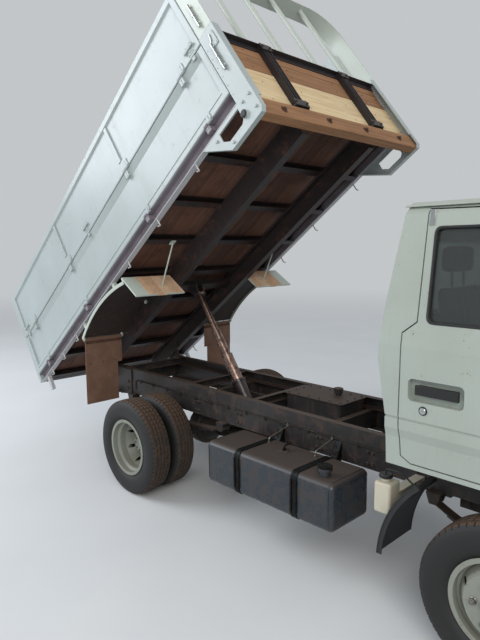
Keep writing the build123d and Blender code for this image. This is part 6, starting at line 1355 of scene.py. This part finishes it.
# %% Oil tank cover, silencer clamps and battery strap
OIL_COVER = {"x": (948, 1412), "y": (8, 262), "z": 831}
BREATHER = Vector((1265, 185, 866))
BREATHER_RIBS = 18
SILENCER = {"x": (1360, 1860), "y": 215, "z": 445}
CLAMP_X = (1445, 1760)
BATTERY = {"x": 1690, "y": (427, 743), "z": (440, 664)}
LID_CAP_X = (1540, 1840)

oil, clamps, strap = bmesh.new(), bmesh.new(), bmesh.new()
for step in range(6):
    for y in OIL_COVER["y"]:
        x = OIL_COVER["x"][0] + step / 5 * (OIL_COVER["x"][1] - OIL_COVER["x"][0])
        bolt(oil, (x, y, OIL_COVER["z"]), (0, 0, 1), 10)
for y in (92, 178):
    for x in OIL_COVER["x"]:
        bolt(oil, (x, y, OIL_COVER["z"]), (0, 0, 1), 10)
turned(oil, BREATHER, (0, 0, 1), [(0, 31), (2, 34), (15, 34), (18, 30)], 36)
for turn in clock(BREATHER_RIBS):
    rib = BREATHER + Vector((34 * math.cos(turn), 34 * math.sin(turn), 3))
    bar(oil, rib, rib + Vector((0, 0, 11)), 2.2, 6)
at = (SILENCER["y"], SILENCER["z"])
for x in CLAMP_X:
    turned(clamps, (x, *at), (1, 0, 0), [(0, 81), (0, 86), (26, 86), (26, 81)], 36, loop=True)
    for low, high in ((-12, -6), (6, 12)):
        block(clamps, (x + 2, SILENCER["y"] + low, 526), (x + 24, SILENCER["y"] + high, 560))
    bolt(clamps, (x + 13, SILENCER["y"] + 12, 545), (0, 1, 0), 12)
for x in SILENCER["x"]:
    turned(clamps, (x - 4, *at), (1, 0, 0), [(0, 78), (0, 83.5), (8, 83.5), (8, 78)], 36, loop=True)
(near_y, far_y), (low_z, high_z) = BATTERY["y"], BATTERY["z"]
bent(strap, [(BATTERY["x"], y, z) for y, z in (
    (near_y, low_z), (near_y, high_z), (far_y, high_z), (far_y, low_z))], 7, 26)
for x in LID_CAP_X:
    turned(strap, (x, 585, 658), (0, 0, 1), [(0, 26), (5, 26), (6, 23)], 24)
    block(strap, (x - 18, 583, 662), (x + 18, 587, 666))
piece("oil_tank_screws", oil, "chassis", chassis_enamel)
piece("silencer_clamps", clamps, "chassis", pipe_steel)
piece("battery_strap", strap, "chassis", seal_rubber)
print("silencer clamps", len(CLAMP_X), "breather ribs", BREATHER_RIBS)

# %% [markdown]
# At the front, the radiator's core is a stack of thin fins on flat tubes. The engine's block has
# ribs along its sides, four exhaust ports on one side and plugs on the other, and a pulley with the
# fan in front. They show from the side and from below, under the cab.

# %% Radiator fins, fan and engine details
FAN_AT = Vector((3174, 0, 700))
FAN_BLADES = 6
PULLEY = [(0, 70), (14, 70), (14, 62), (22, 62), (22, 70), (36, 70)]
BLADE = (Vector((-14, 36, -10)), Vector((14, 36, 14)), Vector((16, 176, 34)), Vector((-16, 184, -26)))

fins, engine = bmesh.new(), bmesh.new()
for z in range(528, 786, 9):
    block(fins, (3322, -228, z), (3372, 228, z + 2.2))
for y in range(-222, 229, 18):
    block(fins, (3320.5, y - 1.6, 522), (3373.5, y + 1.6, 790))
for z in range(560, 1060, 62):
    for side in (-1, 1):
        block(engine, (2420, side * 230, z), (3080, side * 241, z + 16))
for x in range(2470, 3060, 150):
    turned(engine, (x, -232, 930), (0, -1, 0), [(0, 34), (16, 34), (18, 30)], 20)
    turned(engine, (x, 232, 880), (0, 1, 0), [(0, 28), (14, 28), (14, 22), (20, 22)], 18)
turned(engine, (3118, 0, FAN_AT.z), (1, 0, 0), PULLEY, 32)
turned(engine, (3150, 0, FAN_AT.z), (1, 0, 0), [(0, 40), (40, 40), (44, 34)], 24)
for turn in clock(FAN_BLADES):
    spun = Matrix.Rotation(turn, 3, "X")
    plate(engine, [spun @ corner + FAN_AT for corner in BLADE], spun @ Vector((2.4, 0, -2)))
piece("radiator_fins", fins, "chassis", cooler_metal)
piece("engine_details", engine, "chassis", cast_iron, bevel=1)
print("fan blades", FAN_BLADES)

# %% [markdown]
# The washer bottle is closed by a black cap with finger ribs. A short moulded elbow leads from the
# cap into the guard beside it, through a rubber grommet. The front guards are bolted to their
# stays, and a rubber edge is pressed over the rim of each one, where it faces the wheel.

# %% Washer bottle cap and guard fittings
BOTTLE_CAP = Vector((2196, -690, 749))
CAP_RIBS = 20
GUARD = {"radius": 578, "start": 131, "end": 177, "y": (472, 798), "bolt_turns": (141, 154, 166)}
FRONT_X = (FRONT_AXLE.x - REAR_AXLE.x) / MM
AXLE_Z = FRONT_AXLE.z / MM
cap, guards, screws = bmesh.new(), bmesh.new(), bmesh.new()
turned(cap, BOTTLE_CAP, (0, 0, 1), [(0, 31), (2, 33.5), (15, 33.5), (19, 30), (21, 14)], 32)
for turn in clock(CAP_RIBS):
    there = BOTTLE_CAP + Vector((math.cos(turn), math.sin(turn), 0)) * 33.2
    bar(cap, there + Vector((0, 0, 3)), there + Vector((0, 0, 14)), 1.8, 6)
bent(cap, [BOTTLE_CAP + Vector((0, 0, 18)), BOTTLE_CAP + Vector((0, 0, 42)), (2280, -690, 796),
           (2358, -690, 746)], 5, 24)
turned(cap, (2349, -690, 753), (-0.763, 0, 0.647), [(-8, 11), (3, 11), (5, 8)], 16)
for side in (-1, 1):
    for y in GUARD["y"]:
        edge = []
        for step in range(13):
            turn = math.radians(GUARD["start"] + (GUARD["end"] - GUARD["start"]) * step / 12)
            edge.append(Vector((FRONT_X, side * y, AXLE_Z)) + spoke(turn) * (GUARD["radius"] + 2))
        bent(guards, edge, 5, 20, 8)
    for degrees in GUARD["bolt_turns"]:
        out = spoke(math.radians(degrees))
        for y in (520, 660):
            at = Vector((FRONT_X, side * y, AXLE_Z)) + out * (GUARD["radius"] + 5)
            bolt(screws, at, out, 11)
piece("bottle_cap", cap, "chassis", black_plastic)
piece("guard_edges", guards, "chassis", seal_rubber)
piece("guard_bolts", screws, "chassis", strap_steel)
print("cap ribs", CAP_RIBS, "guard bolts", 4 * len(GUARD["bolt_turns"]))

# %% [markdown]
# Across the chassis' rear end runs a painted bar that carries a tail lamp on each side. A lamp is
# a dark housing with a red lens and an amber one, and a line of the housing between them. The bar
# and the lenses are different finishes, so they are pieces of their own in place of the plain node.

# %% Rear lamp bar
BAR = {"x": (-910, -880), "z": (555, 580), "half": 540}
LENS_BACK_X = -955
LAMP_Y = 450
RED_FIELD, AMBER_FIELD = (-84, 22), (28, 84)    # inner and outer edge, from the lamp's middle

bar_mesh, red, amber = bmesh.new(), bmesh.new(), bmesh.new()
block(bar_mesh, (BAR["x"][0], -BAR["half"], BAR["z"][0]), (BAR["x"][1], BAR["half"], BAR["z"][1]))
for side in (-1, 1):
    block(bar_mesh, (BAR["x"][0], side * 324 - 10, 560), (-820, side * 324 + 10, 600))
    block(bar_mesh, (LENS_BACK_X + 24, side * LAMP_Y - 85, 505), (BAR["x"][0] + 1, side * LAMP_Y + 85, 595))
    for mesh, (near, far) in ((red, RED_FIELD), (amber, AMBER_FIELD)):
        low, high = sorted((side * (LAMP_Y + near), side * (LAMP_Y + far)))
        block(mesh, (LENS_BACK_X, low, 509), (LENS_BACK_X + 25, high, 591))
        for z in range(518, 588, 9):
            bar(mesh, (LENS_BACK_X, low + 7, z), (LENS_BACK_X, high - 7, z), 1.6, 6)
    for y in (388, 472, 520):
        dome(bar_mesh, (LENS_BACK_X + 0.5, side * y, 514), (-1, 0, 0), 3.5)
piece("rear_lamp_bar", bar_mesh, "chassis", underbody_enamel, bevel=2,
      replaces=("rear_lamps",))
piece("rear_lenses_red", red, "chassis", red_lens, bevel=4)
piece("rear_lenses_amber", amber, "chassis", amber_lens, bevel=4)
print("rear lenses", red_lens.name, "and", amber_lens.name)

# %% [markdown]
# Windows sit in black rubber. On the doors the seal follows the window's outline on the leaning
# upper skin, so its points take their place across from the height. The windscreen and the rear
# window have a thicker moulding on their own leaning faces. Two functions give those surfaces.

# %% Window seals
WAIST = {"y": 820, "z": 1450}
SHOULDER_LINE = {"y": 740, "z": 2045}
WINDOW = ((2439, 1561), (3400, 1561), (3318, 1990), (2439, 1987))    # a door's, as x and z
SEAL_INSET = 5
WINDSCREEN_HALF = ((680, 1390), (635, 2020))
REAR_WINDOW_HALF = ((480, 1560), (460, 1930))
FRONT_FACE = ((3772, 1350), (3560, 2063))
REAR_FACE = ((2212, 1387), (2229, 1621), (2261, 1856), (2300, 2117))
WIPERS = ((560, -430), (20, -430))    # each foot's y, and how far its blade reaches from there


def skin_y(z):
    """How far out the door's upper skin lies at a height."""
    slope = (WAIST["y"] - SHOULDER_LINE["y"]) / (SHOULDER_LINE["z"] - WAIST["z"])
    return WAIST["y"] - (z - WAIST["z"]) * slope


def face_x(outline, z):
    """How far forward a face of the cab lies at a height."""
    for (x0, z0), (x1, z1) in zip(outline, outline[1:]):
        if z <= z1 or (x1, z1) == outline[-1]:
            return x0 + (z - z0) * (x1 - x0) / (z1 - z0)


for side, name in ((1, "left"), (-1, "right")):
    seal = bmesh.new()
    middle_x = sum(x for x, z in WINDOW) / 4
    middle_z = sum(z for x, z in WINDOW) / 4
    points = [(x + (SEAL_INSET if x < middle_x else -SEAL_INSET), skin_y(z) - 3,
               z + (SEAL_INSET if z < middle_z else -SEAL_INSET)) for x, z in WINDOW]
    bent(seal, points, 7, 34, 10, loop=True)
    bent(seal, [(x, y - 17, z) for x, y, z in points], 6, 34, 8, loop=True)
    piece(f"window_seal_{name}", seal, f"{name}_door", seal_rubber, mirrored(TRUCK, side))

seals, wipers = bmesh.new(), bmesh.new()
(low_half, low_z), (high_half, high_z) = WINDSCREEN_HALF
low_y, high_y = low_half - SEAL_INSET, high_half - SEAL_INSET
screen = ((-low_y, low_z + SEAL_INSET), (low_y, low_z + SEAL_INSET),
          (high_y, high_z - SEAL_INSET), (-high_y, high_z - SEAL_INSET))
bent(seals, [(face_x(FRONT_FACE, z) - 3, y, z) for y, z in screen], 9, 60, 10, loop=True)
(low_half, low_z), (high_half, high_z) = REAR_WINDOW_HALF
low_y, high_y = low_half - SEAL_INSET, high_half - SEAL_INSET
rear = ((-low_y, low_z + SEAL_INSET), (low_y, low_z + SEAL_INSET), (470, 1621), (464, 1856),
        (high_y, high_z - SEAL_INSET), (-high_y, high_z - SEAL_INSET), (-464, 1856), (-470, 1621))
bent(seals, [(face_x(REAR_FACE, z) + 3, y, z) for y, z in rear], 8, 40, 10, loop=True)
for foot_y, reach in WIPERS:
    foot_x = face_x(FRONT_FACE, 1372) + 2
    turned(wipers, (foot_x, foot_y, 1368), (0.96, 0, 0.28), [(0, 16), (8, 16), (12, 12), (16, 8)], 20)
    tip = (face_x(FRONT_FACE, 1432) + 17, foot_y + reach * 0.55, 1432)
    bent(wipers, [(foot_x + 13, foot_y, 1372), (foot_x + 16, foot_y - 60, 1392), tip], 4.5, 30)
    low, high = foot_y + reach * 0.1, foot_y + reach
    for z, offset, radius in ((1424, 6, 3.2), (1424, 12, 4.4)):
        x = face_x(FRONT_FACE, z) + offset
        bar(wipers, (x, low, z), (x, high, z + 10), radius, 8)
    block(wipers, (tip[0] - 7, tip[1] - 34, 1422), (tip[0] + 1, tip[1] + 34, 1436))
piece("screen_seals", seals, "cab", seal_rubber)
piece("wipers", wipers, "cab", black_plastic)
print("wipers", len(WIPERS))

# %% [markdown]
# The door handle is a dark lifting flap in its dished pocket, with the lock barrel below it. A
# bright clip ends the rain channel at the rear of the window. The mirrors get their silvered faces,
# and the bumper a plain pressed plate, which stays bare, held by two screws.

# %% Handles, locks, clips and mirrors
HANDLE = {"x": (2403, 2605), "y": (802, 815.2), "z": (1237, 1281)}
LOCK_X, LOCK_Z = 2449, 1171
ROSETTE = [(0, 21), (6.5, 21), (9, 18.5), (9, 15.6), (5, 15.6)]
LOCK_BARREL = [(0, 15.4), (7, 15.4), (9, 13.5), (9, 5), (7.5, 4)]
CLIP = {"x": (2411, 2436), "z": (1992, 2062)}

for side, name in ((1, "left"), (-1, "right")):
    place = mirrored(TRUCK, side)
    flap, lock = bmesh.new(), bmesh.new()
    (near_x, far_x), (near_y, far_y), (low_z, high_z) = HANDLE.values()
    block(flap, (near_x, near_y, low_z), (far_x, far_y, high_z))
    block(flap, (near_x + 8, 786, low_z + 6), (far_x - 8, 803, high_z - 2))
    turned(flap, (LOCK_X, 815, LOCK_Z), (0, 1, 0), ROSETTE, 32)
    turned(lock, (LOCK_X, 818, LOCK_Z), (0, 1, 0), LOCK_BARREL, 28)
    block(lock, (LOCK_X - 1.4, 825, LOCK_Z - 5), (LOCK_X + 1.4, 828.2, LOCK_Z + 5))
    piece(f"handle_flap_{name}", flap, f"{name}_door", black_plastic, place, bevel=3)
    piece(f"door_lock_{name}", lock, f"{name}_door", chrome, place)
    clip = bmesh.new()
    (near_x, far_x), (low_z, high_z) = CLIP.values()
    corners = ((near_x, low_z), (near_x, high_z), (far_x, high_z), (far_x, low_z))
    plate(clip, [(x, skin_y(z) + 1, z) for x, z in corners], (0, 3, 0))
    piece(f"channel_clip_{name}", clip, f"{name}_door", chrome, place, bevel=1)

MIRROR_Y = 940
glass, front_plate, screws = bmesh.new(), bmesh.new(), bmesh.new()
for side in (-1, 1):
    block(glass, (3721.5, side * MIRROR_Y - 74, 1406), (3725, side * MIRROR_Y + 74, 1714))
piece("mirror_glass", glass, "cab", mirror_coat, bevel=3)
block(front_plate, (3859, -260, 506), (3862, 260, 618))
for y in (-200, 200):
    dome(screws, (3862, y, 562), (1, 0, 0), 6)
for side in (-1, 1):
    for y, z in ((532, 575), (668, 575)):
        dome(screws, (3857, side * y, z), (1, 0, 0), 4)
piece("front_plate", front_plate, "chassis", rack_enamel, bevel=1.5)
piece("bumper_screws", screws, "chassis", plated_steel)
print("door handles at height", HANDLE["z"][0], "mm")

# %% [markdown]
# Behind each headlamp's clear lens lie two bright dishes with a bulb in each, which is what makes a
# lamp look deep. In the cab, a gear lever rises from the tunnel, and the hand brake lies beside it.

# %% Headlamp dishes and cab controls
DISHES = ((560, 3686), (668, 3622))    # each dish: y and its back's x, just behind the lens
DISH_PROFILE = [(0, 16), (8, 34), (26, 50), (40, 54), (40, 51), (26, 46), (10, 30), (4, 12)]
BULB_PROFILE = [(0, 14), (20, 9), (30, 7), (33, 3)]
LAMP_Z = 955
TUNNEL_TOP = 1146
GEAR_LEVER = [(2960, 40, TUNNEL_TOP), (2968, 36, 1190), (2950, 10, 1330), (2950, 0, 1400)]
GEAR_KNOB = [(0, 9), (10, 17), (28, 21), (42, 17), (48, 8)]
GAITER = [(0, 62), (10, 60), (14, 50), (24, 46), (28, 34), (40, 28), (46, 12)]
HAND_BRAKE = [(2760, -120, TUNNEL_TOP), (2720, -120, 1200), (2880, -120, 1330)]

dishes, levers = bmesh.new(), bmesh.new()
for side in (-1, 1):
    for y, back in DISHES:
        turned(dishes, (back, side * y, LAMP_Z), (1, 0, 0), DISH_PROFILE, 28, loop=True)
        turned(dishes, (back + 2, side * y, LAMP_Z), (1, 0, 0), BULB_PROFILE, 14)
bent(levers, GEAR_LEVER, 6.5, 40)
turned(levers, (2950, 0, 1396), (0, 0, 1), GEAR_KNOB, 20)
turned(levers, (2962, 40, TUNNEL_TOP), (0, 0, 1), GAITER, 28)
bent(levers, HAND_BRAKE, 8, 40)
piece("headlamp_dishes", dishes, "cab", chrome)
piece("cab_levers", levers, "cab", trim_plastic)
print("headlamp dishes", 2 * len(DISHES))

# %% [markdown]
# The seats are foam in woven covers, so they are blown up rather than drawn. Each pad starts as a
# block somewhat smaller than its place, gets an even grid of small faces, and is inflated as cloth
# with air inside and no weight. How far any point may move is capped, because a cover only
# stretches so far. The sewn channels are pressed in afterwards, and the piping is laid along the
# swollen surface, at the nearest point of the pad to a rectangle round it.

# %% Seat pads
SEAT_Y = 520
PAD_GRID_MM = 10
PAD_FRAMES = 20
PAD_PRESSURE = 4
CHANNEL = {"depth": 9, "width": 8}
PAD_FLOOR = 1091.5    # nothing of a cushion sinks below its frame's top
PIPING = {"radius": 3.6, "out": 30}
PADS = (  # name, side outline (x, z), half width, cap, channels across, height of the piping
    ("cushion", ((2484, 1100), (2946, 1100), (2946, 1206), (2484, 1212)), 186, 18, (-70, 70), 1196),
    ("back", ((2484, 1236), (2574, 1236), (2490, 1728), (2424, 1728)), 182, 18, (-75, 75), None),
    ("headrest", ((2405, 1782), (2480, 1782), (2478, 1900), (2408, 1900)), 108, 11, (), None),
)


def pad_mesh(outline, half):
    """A closed block with softened edges."""
    bm = bmesh.new()
    plate(bm, [(x, SEAT_Y - half, z) for x, z in outline], (0, 2 * half, 0))
    bmesh.ops.recalc_face_normals(bm, faces=bm.faces)
    bmesh.ops.bevel(bm, geom=bm.edges[:], offset=22, segments=3, affect="EDGES", profile=0.5)
    mesh = bpy.data.meshes.new("pad")
    bm.to_mesh(mesh)
    bm.free()
    mesh.transform(TRUCK @ Matrix.Scale(MM, 4))
    return mesh


def settled(obj):
    """The mesh of an object as its modifiers leave it."""
    seen = obj.evaluated_get(bpy.context.evaluated_depsgraph_get())
    return bpy.data.meshes.new_from_object(seen)


def inflate(obj, cap):
    """Blows the pad up as cloth and keeps every point within the cap."""
    before = [vertex.co.copy() for vertex in obj.data.vertices]
    cloth = obj.modifiers.new("air", "CLOTH")
    cloth.settings.use_pressure = True
    cloth.settings.uniform_pressure_force = PAD_PRESSURE
    cloth.settings.effector_weights.gravity = 0
    cloth.settings.quality = 4
    for number in range(1, PAD_FRAMES + 1):
        scene.frame_set(number)
    swollen = settled(obj)
    for vertex, start in zip(swollen.vertices, before):
        move = vertex.co - start
        if move.length > cap * MM:
            vertex.co = start + move.normalized() * cap * MM
    obj.modifiers.remove(cloth)
    obj.data = swollen
    scene.frame_set(1)


def piping(pad, corners, name):
    """A sewn bead along the pad's surface, nearest to a closed line round it."""
    points = []
    for start, end in zip(corners, corners[1:] + corners[:1]):
        for step in range(14):
            there = TRUCK @ (start.lerp(end, step / 14) * MM)
            points.append(TRUCK.inverted() @ pad.closest_point_on_mesh(there)[1] / MM)
    bead = bmesh.new()
    bent(bead, points, PIPING["radius"], 8, 8, loop=True)
    piece(name, bead, "cab", trim_plastic)


for pad, outline, half, cap, channels, seam in PADS:
    made = bpy.data.objects.new(f"seat_{pad}_left", pad_mesh(outline, half))
    scene.collection.objects.link(made)
    grid = made.modifiers.new("grid", "REMESH")
    grid.mode = "VOXEL"
    grid.voxel_size = PAD_GRID_MM * MM
    even = settled(made)
    made.modifiers.remove(grid)
    made.data = even
    inflate(made, cap)
    face_up = pad == "cushion"
    for vertex in made.data.vertices:
        here = TRUCK.inverted() @ vertex.co / MM
        for across in channels:
            press = CHANNEL["depth"] * math.exp(-((here.y - SEAT_Y - across) / CHANNEL["width"]) ** 2)
            if face_up and here.z > 1190:
                vertex.co.z -= press * MM
            if not face_up and vertex.normal.x > 0.5:
                vertex.co.x -= press * MM
        if face_up:
            vertex.co.z = max(vertex.co.z, PAD_FLOOR * MM)
    finer = made.modifiers.new("finer", "SUBSURF")
    finer.levels = 1
    smooth = settled(made)
    made.modifiers.remove(finer)
    made.data = smooth
    made.data.materials.clear()
    made.data.materials.append(seat_cloth)
    made.data.shade_smooth()
    other = bpy.data.objects.new(f"seat_{pad}_right", made.data.copy())
    other.data.transform(Matrix.Diagonal((1, -1, 1, 1)))
    other.data.flip_normals()
    scene.collection.objects.link(other)
    for each in (made, other):
        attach(each, "cab")
    if seam:
        low_x, high_x = outline[0][0] - PIPING["out"], outline[1][0] + PIPING["out"]
        wide = half + PIPING["out"]
        for side, name in ((1, "left"), (-1, "right")):
            corners = [Vector((x, side * (SEAT_Y + edge), seam)) for x, edge in (
                (low_x, -wide), (high_x, -wide), (high_x, wide), (low_x, wide))]
            piping(made if side == 1 else other, corners, f"seat_piping_{name}")
    print(made.name, len(made.data.polygons), "faces")

frames = bmesh.new()
for side in (-1, 1):
    y = side * SEAT_Y
    block(frames, (2482, y - 188, 935), (2898, y + 188, 1089))
    for edge in (-150, 150):
        block(frames, (2460, y + edge - 16, 921.5), (2930, y + edge + 16, 936))
    for across in (-60, 60):
        bar(frames, (2447, y + across, 1712), (2442, y + across, 1800), 6)
    turned(frames, (2520, y - side * 192, 1160), (0, -side, 0), [(0, 38), (8, 38), (12, 30), (12, 8)], 28)
piece("seat_frames", frames, "cab", trim_plastic, bevel=6, replaces=("seats",))
print("seat pieces", 2 * len(PADS), "pads and their frames")
